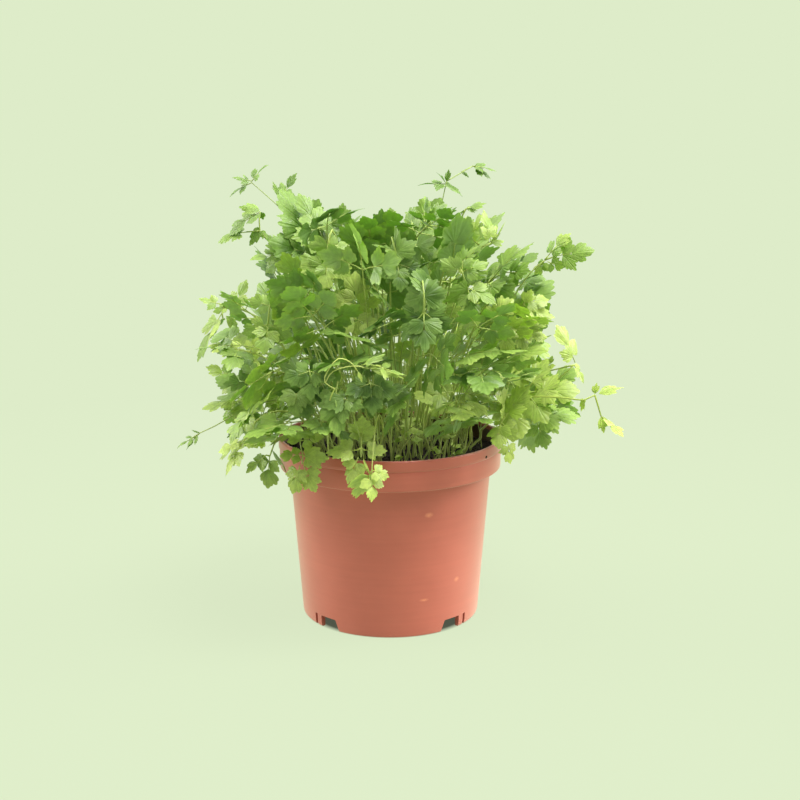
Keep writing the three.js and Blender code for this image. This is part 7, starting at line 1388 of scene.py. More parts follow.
      [-1,0,[4.3,19.1,97.6],[4.8,20,113.8],[5.5,20.8,128.9],[6.5,22.4,142.4],[7.9,25.3,154.2],[9.8,30.3,163.9],[12.2,38,171.2],[16,50.5,178.2],[17.7,56.5,181.3]],
      [0,7,[16,50.5,178.2],[18.7,51.8,178.1]],
      [0,7,[16,50.5,178.2],[14,52,180.1]],
      [0,6,[12.2,38,171.2],[17,39.1,170.1]],
      [0,6,[12.2,38,171.2],[8.2,39.4,173.8]]], [
      [0,8, 17.7,56.5,181.3, 0.26,0.87,0.43,0.21,-0.48,0.85, 17.9,17],
      [1,1, 18.7,51.8,178.1, 0.9,0.42,-0.16,0.41,-0.65,0.64, 14.6,13.5],
      [2,1, 14,52,180.1, -0.69,0.5,0.52,0.45,-0.27,0.85, 14.6,13.5],
      [3,1, 17,39.1,170.1, 0.92,0.2,-0.33,0.38,-0.31,0.87, 17,15.6],
      [4,1, 8.2,39.4,173.8, -0.86,0.28,0.42,0.28,-0.44,0.85, 17,15.6]]],
    ['x_28', 0.28, [
      [-1,0,[-6.1,-7.5,97.6],[-6.8,-8.1,112.9],[-7.9,-8.7,126.7],[-9.2,-9.8,139.1],[-10.8,-11.9,150.1],[-12.5,-15.7,159.8],[-14.4,-21.8,168.2],[-16.2,-29.1,175.2],[-17.1,-32.6,178.4]],
      [0,7,[-16.2,-29.1,175.2],[-17.5,-28.4,177.8]],
      [0,7,[-16.2,-29.1,175.2],[-15.5,-32,174.9]],
      [0,6,[-14.4,-21.8,168.2],[-16.5,-19.3,172]],
      [0,6,[-14.4,-21.8,168.2],[-12.7,-26.2,166.4]]], [
      [0,8, -17.1,-32.6,178.4, -0.19,-0.74,0.65,0.97,-0.24,0.01, 14,13.3],
      [1,1, -17.5,-28.4,177.8, -0.48,0.26,0.84,0.86,0.35,0.38, 11.5,10.6],
      [2,1, -15.5,-32,174.9, 0.23,-0.95,-0.21,0.95,0.27,-0.14, 11.5,10.6],
      [3,1, -16.5,-19.3,172, -0.47,0.54,0.7,0.86,0.45,0.23, 13.3,12.3],
      [4,1, -12.7,-26.2,166.4, 0.31,-0.84,-0.45,0.7,-0.11,0.7, 13.3,12.3]]],
    ['x_29', 0.49, [
      [-1,0,[-17.7,39.2,97.6],[-18.1,43,108.9],[-18.4,49,120.6],[-19.2,56.3,131.4],[-21,64.1,139.9],[-24.5,71.5,144.7],[-30.2,77.6,144.5],[-40.5,84.9,139.2],[-44.9,88.1,136.6]],
      [0,7,[-40.5,84.9,139.2],[-40.1,87.2,137.3]],
      [0,7,[-40.5,84.9,139.2],[-43.3,84.4,139.9]],
      [0,6,[-30.2,77.6,144.5],[-28.3,81.1,141.5]],
      [0,6,[-30.2,77.6,144.5],[-34.4,75.7,146.5]]], [
      [0,8, -44.9,88.1,136.6, -0.73,0.52,-0.44,-0.1,0.55,0.83, 16.3,15.5],
      [1,1, -40.1,87.2,137.3, 0.11,0.71,-0.69,0.23,0.66,0.72, 13.3,12.3],
      [2,1, -43.3,84.4,139.9, -0.97,-0.18,0.14,0.02,0.54,0.84, 13.3,12.3],
      [3,1, -28.3,81.1,141.5, 0.36,0.65,-0.67,-0.03,0.73,0.68, 15.5,14.2],
      [4,1, -34.4,75.7,146.5, -0.87,-0.4,0.3,0.09,0.46,0.88, 15.5,14.2]]],
    ['x_30', 0.61, [
      [-1,0,[-35.2,-3.3,97.6],[-37.7,-4.1,119.5],[-42.9,-5.7,132.8],[-49.7,-7.8,138.2],[-56.9,-10,136.3],[-63.3,-12,127.8],[-67.9,-13.5,113.6],[-78.3,-12.1,108.1],[-82.7,-11.5,105.6]],
      [0,7,[-78.3,-12.1,108.1],[-79.5,-9.4,107.6]],
      [0,7,[-78.3,-12.1,108.1],[-80,-14.4,107.3]],
      [0,6,[-67.9,-13.5,113.6],[-68.7,-8.5,113.3]],
      [0,6,[-67.9,-13.5,113.6],[-69.6,-18.1,112.7]]], [
      [0,8, -82.7,-11.5,105.6, -0.86,0.11,-0.51,-0.51,0.02,0.86, 17.7,16.8],
      [1,1, -79.5,-9.4,107.6, -0.4,0.87,-0.28,-0.65,-0.05,0.76, 14.5,13.4],
      [2,1, -80,-14.4,107.3, -0.55,-0.74,-0.39,-0.43,-0.14,0.89, 14.5,13.4],
      [3,1, -68.7,-8.5,113.3, -0.16,0.97,-0.17,-0.83,-0.04,0.56, 16.8,15.5],
      [4,1, -69.6,-18.1,112.7, -0.34,-0.89,-0.3,0.41,-0.43,0.8, 16.8,15.5]]],
    ['x_31', 0.44, [
      [-1,0,[-10.4,37.4,97.6],[-10.7,40.1,119.7],[-11.3,45.7,132.8],[-12.1,52.9,137.6],[-13,60.5,135.1],[-13.7,67.3,125.9],[-14.2,72.2,110.9],[-16.4,78.5,107.5]],
      [0,6,[-14.2,72.2,110.9],[-11.9,75.4,111.4]],
      [0,6,[-14.2,72.2,110.9],[-17.6,72,108.8]]], [
      [0,7, -16.4,78.5,107.5, -0.27,0.8,-0.54,-0.5,0.36,0.79, 20.1,19.1],
      [1,1, -11.9,75.4,111.4, 0.59,0.81,0.01,-0.57,0.41,0.71, 18.1,16.6],
      [2,1, -17.6,72,108.8, -0.79,-0.04,-0.61,-0.61,0.19,0.77, 18.1,16.6]]],
    ['x_32', 0.19, [
      [-1,0,[21.9,-14.2,97.6],[22.9,-15.9,119.2],[24.9,-19.4,132.9],[27.6,-23.9,139.1],[30.4,-28.6,138.4],[32.9,-32.9,131.3],[34.7,-36,118.3],[37,-42.3,121.1],[38.1,-45.3,122.3]],
      [0,8,[38.1,-45.3,122.3],[35.5,-44.9,120.9]],
      [0,7,[37,-42.3,121.1],[39.5,-42.5,122.8]],
      [0,6,[34.7,-36,118.3],[31.3,-39.4,117.2]],
      [0,6,[34.7,-36,118.3],[39,-34.9,120.7]]], [
      [0,8, 38.1,-45.3,122.3, 0.32,-0.89,0.33,-0.31,0.23,0.92, 11.2,10.7],
      [1,1, 35.5,-44.9,120.9, -0.5,-0.85,-0.19,-0.04,-0.19,0.98, 9.2,8.5],
      [2,1, 39.5,-42.5,122.8, 0.89,-0.07,0.45,-0.36,0.49,0.79, 9.2,8.5],
      [3,1, 31.3,-39.4,117.2, -0.66,-0.67,-0.33,-0.65,0.3,0.69, 10.7,9.8],
      [4,1, 39,-34.9,120.7, 0.9,0.22,0.37,-0.19,-0.56,0.81, 10.7,9.8]]],
    ['x_33', 0.36, [
      [-1,0,[-18.1,-32.7,97.6],[-19.6,-35.3,118.4],[-22.7,-40.8,133],[-26.6,-47.8,141.4],[-30.8,-55.3,143.7],[-34.6,-62,140],[-37.3,-66.8,130.4],[-50.9,-73.8,129.3],[-57,-76.9,128.6]],
      [0,7,[-50.9,-73.8,129.3],[-53.5,-72.3,129.5]],
      [0,7,[-50.9,-73.8,129.3],[-51.2,-76.8,129.1]],
      [0,6,[-37.3,-66.8,130.4],[-40.8,-63.2,130.7]],
      [0,6,[-37.3,-66.8,130.4],[-36.4,-71.7,130]]], [
      [0,8, -57,-76.9,128.6, -0.88,-0.46,-0.13,-0.16,0.04,0.99, 18.2,17.3],
      [1,1, -53.5,-72.3,129.5, -0.87,0.49,-0.06,-0.17,-0.19,0.97, 14.9,13.7],
      [2,1, -51.2,-76.8,129.1, -0.1,-0.98,-0.19,-0.11,-0.18,0.98, 14.9,13.7],
      [3,1, -40.8,-63.2,130.7, -0.7,0.72,-0.05,-0.09,-0.03,1, 17.3,15.9],
      [4,1, -36.4,-71.7,130, 0.18,-0.96,-0.19,0.16,-0.17,0.97, 17.3,15.9]]],
    ['x_34', 0.33, [
      [-1,0,[9.9,-26.8,97.6],[11,-29.3,112.9],[12.5,-32.7,128],[14.5,-37.4,141.8],[16.8,-43.5,153.1],[19.3,-51.4,160.8],[21.9,-61.3,163.6],[24.9,-73.9,162.9],[26.3,-79.5,162.4]],
      [0,7,[24.9,-73.9,162.9],[24.7,-75.6,160.5]],
      [0,7,[24.9,-73.9,162.9],[25.9,-75.3,165.4]],
      [0,6,[21.9,-61.3,163.6],[21.1,-63,159]],
      [0,6,[21.9,-61.3,163.6],[23.4,-62.4,168.3]]], [
      [0,8, 26.3,-79.5,162.4, 0.23,-0.97,-0.11,-0.97,-0.24,0.04, 17.1,16.3],
      [1,1, 24.7,-75.6,160.5, -0.07,-0.53,-0.84,-0.85,-0.42,0.33, 14.1,12.9],
      [2,1, 25.9,-75.3,165.4, 0.37,-0.52,0.77,-0.93,-0.29,0.24, 14.1,12.9],
      [3,1, 21.1,-63,159, -0.15,-0.31,-0.94,-0.95,-0.21,0.22, 16.3,15],
      [4,1, 23.4,-62.4,168.3, 0.34,-0.24,0.91,-0.93,-0.26,0.27, 16.3,15]]],
    ['x_35', 0.21, [
      [-1,0,[24.5,-5.2,97.6],[26.3,-5.2,118.7],[28.4,-5.5,138.2],[31.6,-5.7,155.8],[36.6,-5.6,171.1],[44,-5,184],[54.6,-3.6,194],[64.1,-2.3,199.9],[68.6,-1.6,202.4]],
      [0,7,[64.1,-2.3,199.9],[66,-4.5,200.5]],
      [0,7,[64.1,-2.3,199.9],[64.9,0.4,201.1]],
      [0,6,[54.6,-3.6,194],[56.8,-8.1,194.3]],
      [0,6,[54.6,-3.6,194],[54.7,1.2,195.4]]], [
      [0,8, 68.6,-1.6,202.4, 0.87,0.12,0.47,-0.43,-0.28,0.86, 15.2,14.4],
      [1,1, 66,-4.5,200.5, 0.64,-0.76,0.09,-0.7,-0.53,0.48, 15.6,14.3],
      [2,1, 64.9,0.4,201.1, 0.27,0.92,0.29,-0.7,-0.02,0.72, 15.6,14.3],
      [3,1, 56.8,-8.1,194.3, 0.44,-0.89,-0.07,-0.39,-0.26,0.88, 18,16.6],
      [4,1, 54.7,1.2,195.4, 0.03,0.99,0.16,-0.17,-0.15,0.97, 18,16.6]]],
    ['x_36', 0.31, [
      [-1,0,[-18.8,7.4,97.6],[-20.1,9.6,120.7],[-22.3,13.2,140.9],[-25,17.6,159],[-27.9,22.5,175.6],[-31,27.6,191.5],[-33.8,32.6,207.4],[-34.7,34.2,213]],
      [0,6,[-33.8,32.6,207.4],[-31.2,35.2,208.9]],
      [0,6,[-33.8,32.6,207.4],[-36.9,30.9,209.2]]], [
      [0,7, -34.7,34.2,213, -0.17,0.31,0.93,0.77,-0.55,0.33, 17.8,16.9],
      [1,1, -31.2,35.2,208.9, 0.67,0.69,0.28,0.74,-0.58,-0.35, 16,14.7],
      [2,1, -36.9,30.9,209.2, -0.82,-0.44,0.36,0.43,-0.9,-0.11, 16,14.7]]],
    ['x_37', 0.05, [
      [-1,0,[-29.5,4.8,97.6],[-32.2,6.4,116.9],[-36.2,9.1,133.9],[-41.3,12.4,149.1],[-47.4,15.7,163],[-54.3,18.7,175.9],[-61.8,20.8,188.3],[-67.6,21.9,196.8],[-70.5,22.5,200.7]],
      [0,7,[-67.6,21.9,196.8],[-68.3,24.6,198]],
      [0,7,[-67.6,21.9,196.8],[-68.7,19.6,198.3]],
      [0,6,[-61.8,20.8,188.3],[-62.3,25.7,189.1]],
      [0,6,[-61.8,20.8,188.3],[-63,16.2,189.9]]], [
      [0,8, -70.5,22.5,200.7, -0.59,0.12,0.8,0.8,-0.07,0.6, 13.7,13],
      [1,1, -68.3,24.6,198, -0.24,0.93,0.28,0.68,-0.05,0.73, 14,12.9],
      [2,1, -68.7,19.6,198.3, -0.37,-0.83,0.43,0.83,-0.09,0.55, 14,12.9],
      [3,1, -62.3,25.7,189.1, -0.08,1,0.05,1,0.09,-0.04, 16.3,15],
      [4,1, -63,16.2,189.9, -0.23,-0.95,0.2,0.9,-0.13,0.43, 16.3,15]]],
    ['x_38', 0.39, [
      [-1,0,[-20.8,-31.4,97.6],[-21.8,-34.1,114.8],[-23.1,-38.2,130.2],[-24.9,-43.5,144.1],[-27.3,-49.8,156.5],[-30.7,-56.9,167.5],[-35,-64.5,177.3],[-39.6,-71.9,185.1],[-41.8,-75.4,188.7]],
      [0,7,[-39.6,-71.9,185.1],[-42.5,-72.8,185.2]],
      [0,7,[-39.6,-71.9,185.1],[-38,-73,187.4]],
      [0,6,[-35,-64.5,177.3],[-39.9,-65.2,176.2]],
      [0,6,[-35,-64.5,177.3],[-31.3,-65.6,180.5]]], [
      [0,8, -41.8,-75.4,188.7, -0.41,-0.66,0.63,-0.25,0.75,0.61, 18.5,17.6],
      [1,1, -42.5,-72.8,185.2, -0.95,-0.29,-0.11,-0.31,0.83,0.46, 15.2,14],
      [2,1, -38,-73,187.4, 0.6,-0.4,0.7,0.24,0.92,0.31, 15.2,14],
      [3,1, -39.9,-65.2,176.2, -0.93,-0.13,-0.33,-0.36,0.36,0.86, 17.6,16.2],
      [4,1, -31.3,-65.6,180.5, 0.81,-0.23,0.55,-0.31,0.62,0.72, 17.6,16.2]]],
    ['x_39', 0.57, [
      [-1,0,[32.3,5.6,97.6],[34.4,6.5,118.7],[38.7,8.3,133],[44.3,10.7,140.7],[50.3,13.2,142],[55.6,15.5,137.2],[59.5,17.1,126.5],[65.8,19.6,126.6]],
      [0,6,[59.5,17.1,126.5],[62.3,14.9,124.8]],
      [0,6,[59.5,17.1,126.5],[59.9,20.6,128.3]]], [
      [0,7, 65.8,19.6,126.6, 0.92,0.37,-0.1,0.3,-0.52,0.8, 17.7,16.8],
      [1,1, 62.3,14.9,124.8, 0.67,-0.52,-0.52,0.26,-0.49,0.83, 15.9,14.7],
      [2,1, 59.9,20.6,128.3, 0.12,0.93,0.34,0.16,-0.36,0.92, 15.9,14.7]]],
    ['x_40', 0.45, [
      [-1,0,[-11.9,10.5,97.6],[-13.6,11.4,116],[-16.4,12.7,132.2],[-19.7,14.4,146.6],[-23.4,16.5,159.8],[-27,19.1,172.4],[-30.3,22,185],[-31.8,23.6,191.7]],
      [0,6,[-30.3,22,185],[-27.8,24.6,186.8]],
      [0,6,[-30.3,22,185],[-33.5,20.2,186.6]]], [
      [0,7, -31.8,23.6,191.7, -0.24,0.26,0.93,0.49,-0.8,0.35, 17.5,16.7],
      [1,1, -27.8,24.6,186.8, 0.64,0.69,0.35,0.32,-0.65,0.69, 15.8,14.5],
      [2,1, -33.5,20.2,186.6, -0.83,-0.47,0.29,0.52,-0.85,0.13, 15.8,14.5]]],
    ['x_41', 0.05, [
      [-1,0,[22.1,13.4,97.6],[23.4,14,109.1],[25.6,14.3,120.4],[28.1,15.2,130.6],[30.8,17.2,139.1],[33.3,21.1,145.1],[35.1,27.5,147.9],[35.9,31.6,148.5]],
      [0,6,[35.1,27.5,147.9],[37.8,29.2,145.5]],
      [0,6,[35.1,27.5,147.9],[33.1,29.3,150.8]]], [
      [0,7, 35.9,31.6,148.5, 0.18,0.98,0.01,0.25,-0.05,0.97, 14.7,14],
      [1,1, 37.8,29.2,145.5, 0.62,0.39,-0.68,0.78,-0.37,0.5, 13.2,12.2],
      [2,1, 33.1,29.3,150.8, -0.56,0.5,0.66,0.76,-0.02,0.65, 13.2,12.2]]],
    ['x_42', 0.41, [
      [-1,0,[14.5,20.9,97.6],[15.6,22.6,124.1],[16.4,24.9,149.3],[18.3,28.2,172.1],[22.2,32.8,191.5],[29.6,39.1,206.5],[41.5,47.5,216.1],[46,50.5,218.1]],
      [0,6,[41.5,47.5,216.1],[44.5,45.4,217.7]],
      [0,6,[41.5,47.5,216.1],[41.4,51.5,215.7]]], [
      [0,7, 46,50.5,218.1, 0.81,0.53,0.24,-0.35,0.12,0.93, 13.9,13.2],
      [1,1, 44.5,45.4,217.7, 0.78,-0.56,0.3,-0.53,-0.33,0.78, 12.5,11.5],
      [2,1, 41.4,51.5,215.7, -0.04,0.98,-0.21,-0.23,0.19,0.95, 12.5,11.5]]],
    ['x_43', 0.62, [
      [-1,0,[7.9,13.1,97.6],[8.4,13,114.3],[9.2,12.6,128.9],[10.2,12.4,142],[11.7,12.6,153.9],[13.5,13.8,165.2],[15.9,16.1,176.3],[18.5,19.2,186.6],[19.8,20.8,191.4]],
      [0,7,[18.5,19.2,186.6],[21.2,20.4,187.3]],
      [0,7,[18.5,19.2,186.6],[16.6,19,188.8]],
      [0,6,[15.9,16.1,176.3],[20.6,17.8,176.2]],
      [0,6,[15.9,16.1,176.3],[11.8,15.2,179.1]]], [
      [0,8, 19.8,20.8,191.4, 0.25,0.3,0.92,0.83,-0.56,-0.05, 18.2,17.3],
      [1,1, 21.2,20.4,187.3, 0.91,0.38,0.14,0.37,-0.92,0.12, 14.9,13.8],
      [2,1, 16.6,19,188.8, -0.71,-0.1,0.7,0.22,-0.97,0.09, 14.9,13.8],
      [3,1, 20.6,17.8,176.2, 0.93,0.34,-0.13,0.33,-0.94,-0.07, 17.3,15.9],
      [4,1, 11.8,15.2,179.1, -0.86,-0.2,0.46,0.31,-0.94,0.17, 17.3,15.9]]],
    ['x_44', 0.34, [
      [-1,0,[18.4,19.1,97.6],[20.9,20.5,118.2],[24.9,22.8,136.2],[29.8,25.6,152.2],[35.3,28.8,167],[40.7,32.2,181.1],[45.5,35.5,195.3],[47.1,36.6,200.3]],
      [0,6,[45.5,35.5,195.3],[49.2,34.2,196.4]],
      [0,6,[45.5,35.5,195.3],[43,37.6,197.5]]], [
      [0,7, 47.1,36.6,200.3, 0.33,0.23,0.92,-0.67,-0.63,0.4, 19.4,18.4],
      [1,1, 49.2,34.2,196.4, 0.93,-0.34,0.16,-0.34,-0.62,0.71, 17.5,16.1],
      [2,1, 43,37.6,197.5, -0.69,0.55,0.47,-0.4,-0.83,0.38, 17.5,16.1]]],
    ['x_45', 0.43, [
      [-1,0,[9,17.8,97.6],[9,19.1,118.7],[9.1,21.9,133],[9.1,25.4,140.6],[9.2,29.1,141.8],[9.2,32.5,136.8],[9.3,34.8,126],[13.5,36.6,126.2]],
      [0,6,[9.3,34.8,126],[11.2,34.4,129.5]],
      [0,6,[9.3,34.8,126],[10.6,36.7,122.7]]], [
      [0,7, 13.5,36.6,126.2, 0.92,0.39,-0.06,-0.25,0.7,0.67, 12.7,12.1],
      [1,1, 11.2,34.4,129.5, 0.54,-0.13,0.83,-0.2,0.94,0.27, 11.5,10.5],
      [2,1, 10.6,36.7,122.7, 0.31,0.42,-0.85,-0.77,0.64,0.04, 11.5,10.5]]],
    ['x_46', 0.52, [
      [-1,0,[33.2,-10.9,97.6],[36.4,-11.2,118.6],[43.1,-11.7,133],[51.7,-12.4,141.1],[60.8,-13.2,142.9],[69,-13.8,138.7],[74.8,-14.3,128.6],[87,-12.2,126.1],[92.4,-11.2,124.8]],
      [0,7,[87,-12.2,126.1],[89,-12.6,128.3]],
      [0,7,[87,-12.2,126.1],[88.1,-11.2,123.5]],
      [0,6,[74.8,-14.3,128.6],[77.1,-15.4,132.9]],
      [0,6,[74.8,-14.3,128.6],[75.3,-12.7,123.9]]], [
      [0,8, 92.4,-11.2,124.8, 0.95,0.17,-0.25,-0.01,0.84,0.53, 15.6,14.8],
      [1,1, 89,-12.6,128.3, 0.74,-0.16,0.65,-0.11,0.93,0.35, 15.9,14.7],
      [2,1, 88.1,-11.2,123.5, 0.34,0.3,-0.89,-0.56,0.82,0.06, 15.9,14.7],
      [3,1, 77.1,-15.4,132.9, 0.5,-0.25,0.83,-0.54,0.65,0.53, 18.5,17],
      [4,1, 75.3,-12.7,123.9, 0.1,0.29,-0.95,-0.58,0.79,0.18, 18.5,17]]],
    ['x_47', 0.44, [
      [-1,0,[-1.7,9.7,97.6],[-2.5,11.1,120.8],[-4,12.6,141.5],[-5.7,15.1,160],[-7.1,18.9,176.7],[-7.8,24.7,191.9],[-7.3,33,205.8],[-6.7,38,212.1],[-6.4,40.5,215]],
      [0,7,[-6.7,38,212.1],[-4.1,38.7,213.4]],
      [0,7,[-6.7,38,212.1],[-9.1,39.3,213.4]],
      [0,6,[-7.3,33,205.8],[-2.5,33.2,207]],
      [0,6,[-7.3,33,205.8],[-11.9,34.5,206.9]]], [
      [0,8, -6.4,40.5,215, 0.08,0.65,0.75,-0.69,-0.51,0.51, 14.7,14],
      [1,1, -4.1,38.7,213.4, 0.91,0.22,0.34,0.06,-0.91,0.4, 12.1,11.1],
      [2,1, -9.1,39.3,213.4, -0.83,0.46,0.32,-0.14,-0.72,0.68, 12.1,11.1],
      [3,1, -2.5,33.2,207, 0.99,0.04,0.12,0.01,-0.97,0.25, 14,12.9],
      [4,1, -11.9,34.5,206.9, -0.95,0.31,0.1,-0.19,-0.77,0.6, 14,12.9]]],
    ['x_48', 0.55, [
      [-1,0,[-34.7,3,97.6],[-37.1,3.3,113.3],[-40.4,3.8,129],[-44.9,4.4,143.3],[-50.9,4.8,154.9],[-58.8,4.9,162.6],[-68.9,4.5,165],[-74.2,4.1,164.7]],
      [0,6,[-68.9,4.5,165],[-71,7.7,166]],
      [0,6,[-68.9,4.5,165],[-70.4,1,163.8]]], [
      [0,7, -74.2,4.1,164.7, -0.98,-0.07,-0.18,-0.12,-0.51,0.85, 15.9,15.1],
      [1,1, -71,7.7,166, -0.53,0.83,0.14,0.31,0.04,0.95, 14.3,13.2],
      [2,1, -70.4,1,163.8, -0.36,-0.84,-0.41,-0.51,-0.2,0.84, 14.3,13.2]]],
    ['x_49', 0.5, [
      [-1,0,[-15.7,-1,97.6],[-17.6,-1.5,115.1],[-20.2,-2.4,131.2],[-23.7,-3.4,145.7],[-28.8,-4.4,158.4],[-35.7,-5.2,169.1],[-45,-5.6,177.4],[-48.9,-5.7,180.1]],
      [0,6,[-45,-5.6,177.4],[-47.1,-2.2,177.6]],
      [0,6,[-45,-5.6,177.4],[-45.9,-9.1,179.2]]], [
      [0,7, -48.9,-5.7,180.1, -0.88,-0.01,0.47,0.3,0.75,0.59, 14.5,13.8],
      [1,1, -47.1,-2.2,177.6, -0.52,0.85,-0.07,0.6,0.42,0.69, 13.1,12],
      [2,1, -45.9,-9.1,179.2, -0.23,-0.91,0.35,0.42,0.23,0.88, 13.1,12]]],
    ['x_50', 0.1, [
      [-1,0,[4.9,-4,97.6],[5.6,-5.4,121.6],[6,-7.2,143.5],[7,-9.9,163.3],[9.7,-13.6,180.7],[14.9,-18.7,195.6],[23.7,-25.5,207.7],[28.7,-29.1,212.7]],
      [0,6,[23.7,-25.5,207.7],[22.8,-29.2,208.7]],
      [0,6,[23.7,-25.5,207.7],[26.8,-23.3,208.9]]], [
      [0,7, 28.7,-29.1,212.7, 0.68,-0.49,0.54,-0.6,0.05,0.8, 17.7,16.8],
      [1,1, 22.8,-29.2,208.7, -0.23,-0.96,0.14,-0.31,0.21,0.93, 15.9,14.6],
      [2,1, 26.8,-23.3,208.9, 0.81,0.55,0.19,-0.44,0.36,0.83, 15.9,14.6]]],
    ['x_51', 0.18, [
      [-1,0,[-0.4,-1.4,97.6],[-0.9,-2.4,120.2],[-1.7,-3.8,140],[-2.6,-5.6,157.7],[-3.4,-8.2,173.9],[-4.1,-11.6,189.3],[-4.4,-16.1,204.5],[-4.4,-20.2,216.1],[-4.4,-22.3,221.7]],
      [0,7,[-4.4,-20.2,216.1],[-6.9,-20.5,217.8]],
      [0,7,[-4.4,-20.2,216.1],[-1.9,-21,217.6]],
      [0,6,[-4.4,-16.1,204.5],[-9.2,-16,206]],
      [0,6,[-4.4,-16.1,204.5],[0.4,-17.1,205.7]]], [
      [0,8, -4.4,-22.3,221.7, 0,-0.36,0.93,0.35,0.87,0.33, 14.6,13.9],
      [1,1, -6.9,-20.5,217.8, -0.89,-0.08,0.45,0.2,0.82,0.54, 15,13.8],
      [2,1, -1.9,-21,217.6, 0.88,-0.28,0.39,0.25,0.96,0.11, 15,13.8],
      [3,1, -9.2,-16,206, -0.98,0.01,0.19,0.06,0.97,0.23, 17.3,15.9],
      [4,1, 0.4,-17.1,205.7, 0.97,-0.2,0.12,0.17,0.96,0.2, 17.3,15.9]]],
    ['x_52', 0.68, [
      [-1,0,[-3.4,-7.8,97.6],[-3.9,-8.5,121.4],[-4.7,-8.9,142.8],[-5.7,-9.9,162],[-6.9,-12.5,179.2],[-8.1,-17.5,194.7],[-9.2,-25.9,208.7],[-10,-33.2,217.4],[-10.3,-36.8,221.4]],
      [0,7,[-10,-33.2,217.4],[-12.5,-33.6,219]],
      [0,7,[-10,-33.2,217.4],[-7.7,-34.8,218.4]],
      [0,6,[-9.2,-25.9,208.7],[-13.9,-25.6,210.4]],
      [0,6,[-9.2,-25.9,208.7],[-4.7,-28,209.3]]], [
      [0,8, -10.3,-36.8,221.4, -0.07,-0.67,0.74,-0.01,0.74,0.68, 17.5,16.6],
      [1,1, -12.5,-33.6,219, -0.9,-0.14,0.42,0.23,0.67,0.71, 14.3,13.2],
      [2,1, -7.7,-34.8,218.4, 0.8,-0.55,0.22,0.28,0.68,0.67, 14.3,13.2],
      [3,1, -13.9,-25.6,210.4, -0.97,0.06,0.22,0.19,0.72,0.67, 16.6,15.3],
      [4,1, -4.7,-28,209.3, 0.91,-0.41,0,0.3,0.68,0.67, 16.6,15.3]]],
    ['x_53', 0.38, [
      [-1,0,[-0.5,36.6,97.6],[-2,40.1,115],[-4.9,45.4,130.7],[-8,52.1,144.9],[-10.1,59.7,157.4],[-9.8,67.9,168.5],[-6.1,76.1,178.1],[-3.7,79.3,181.7]],
      [0,6,[-6.1,76.1,178.1],[-2.6,74.8,179.7]],
      [0,6,[-6.1,76.1,178.1],[-7.9,79.6,178.9]]], [
      [0,7, -3.7,79.3,181.7, 0.48,0.65,0.59,-0.71,-0.1,0.69, 14.7,13.9],
      [1,1, -2.6,74.8,179.7, 0.9,-0.34,0.28,-0.4,-0.33,0.86, 13.2,12.1],
      [2,1, -7.9,79.6,178.9, -0.47,0.88,0.08,-0.64,-0.4,0.66, 13.2,12.1]]],
    ['x_54', 0.07, [
      [-1,0,[-30.7,-20.1,97.6],[-34.2,-21.5,108.3],[-39.5,-23.9,118.8],[-46.3,-26.7,128.4],[-54.3,-29.7,136.3],[-63.1,-32.6,141.7],[-72.3,-35,143.9],[-76.3,-35.9,144.1]],
      [0,6,[-72.3,-35,143.9],[-74.3,-33.7,147.1]],
      [0,6,[-72.3,-35,143.9],[-73.8,-37.1,140.9]]], [
      [0,7, -76.3,-35.9,144.1, -0.97,-0.22,-0.08,0.19,-0.95,0.26, 13.2,12.6],
      [1,1, -74.3,-33.7,147.1, -0.55,0.37,0.75,0.52,-0.56,0.65, 11.9,11],
      [2,1, -73.8,-37.1,140.9, -0.34,-0.48,-0.81,-0.07,-0.84,0.53, 11.9,11]]],
    ['x_55', 0.14, [
      [-1,0,[7.9,38.2,97.6],[7.6,41,112.1],[7.2,45.2,125.2],[6.7,50.6,137],[6.3,57,147.4],[5.9,64.4,156.7],[5.8,72.5,164.9],[5.9,80.1,171.2],[5.9,83.8,174]],
      [0,7,[5.9,80.1,171.2],[8.2,82,171.6]],
      [0,7,[5.9,80.1,171.2],[3.6,80.7,173]],
      [0,6,[5.8,72.5,164.9],[10.2,74.8,164.4]],
      [0,6,[5.8,72.5,164.9],[1.4,72.3,167.2]]], [
      [0,8, 5.9,83.8,174, 0,0.8,0.6,0.47,-0.53,0.71, 15,14.3],
      [1,1, 8.2,82,171.6, 0.78,0.62,0,0.43,-0.54,0.72, 12.3,11.3],
      [2,1, 3.6,80.7,173, -0.83,0.2,0.53,0.12,-0.85,0.52, 12.3,11.3],
      [3,1, 10.2,74.8,164.4, 0.87,0.45,-0.2,0.48,-0.68,0.55, 14.3,13.1],
      [4,1, 1.4,72.3,167.2, -0.93,-0.04,0.37,0.33,-0.56,0.76, 14.3,13.1]]],
    ['x_56', 0.46, [
      [-1,0,[22,-36.6,97.6],[24.7,-39.2,111.8],[29.2,-42.9,126.2],[34.6,-47.9,139.4],[40,-54.3,150],[44.3,-62.4,156.6],[46.7,-72.3,157.7],[47.3,-78.7,156.5]],
      [0,6,[46.7,-72.3,157.7],[43.3,-74.3,157.1]],
      [0,6,[46.7,-72.3,157.7],[50.4,-73.7,157.6]]], [
      [0,7, 47.3,-78.7,156.5, 0.09,-0.95,-0.29,-0.05,-0.3,0.95, 18.7,17.8],
      [1,1, 43.3,-74.3,157.1, -0.83,-0.5,-0.26,-0.15,-0.25,0.96, 16.8,15.5],
      [2,1, 50.4,-73.7,157.6, 0.92,-0.36,-0.14,0,-0.36,0.93, 16.8,15.5]]],
    ['x_57', 0.67, [
      [-1,0,[14.1,-13.2,97.6],[14.6,-13.4,118.6],[15.8,-13.9,133],[17.3,-14.6,141.1],[18.9,-15.3,142.9],[20.3,-15.9,138.7],[21.4,-16.3,128.6],[24.6,-19.7,128.4]],
      [0,6,[21.4,-16.3,128.6],[20.6,-19.4,126.1]],
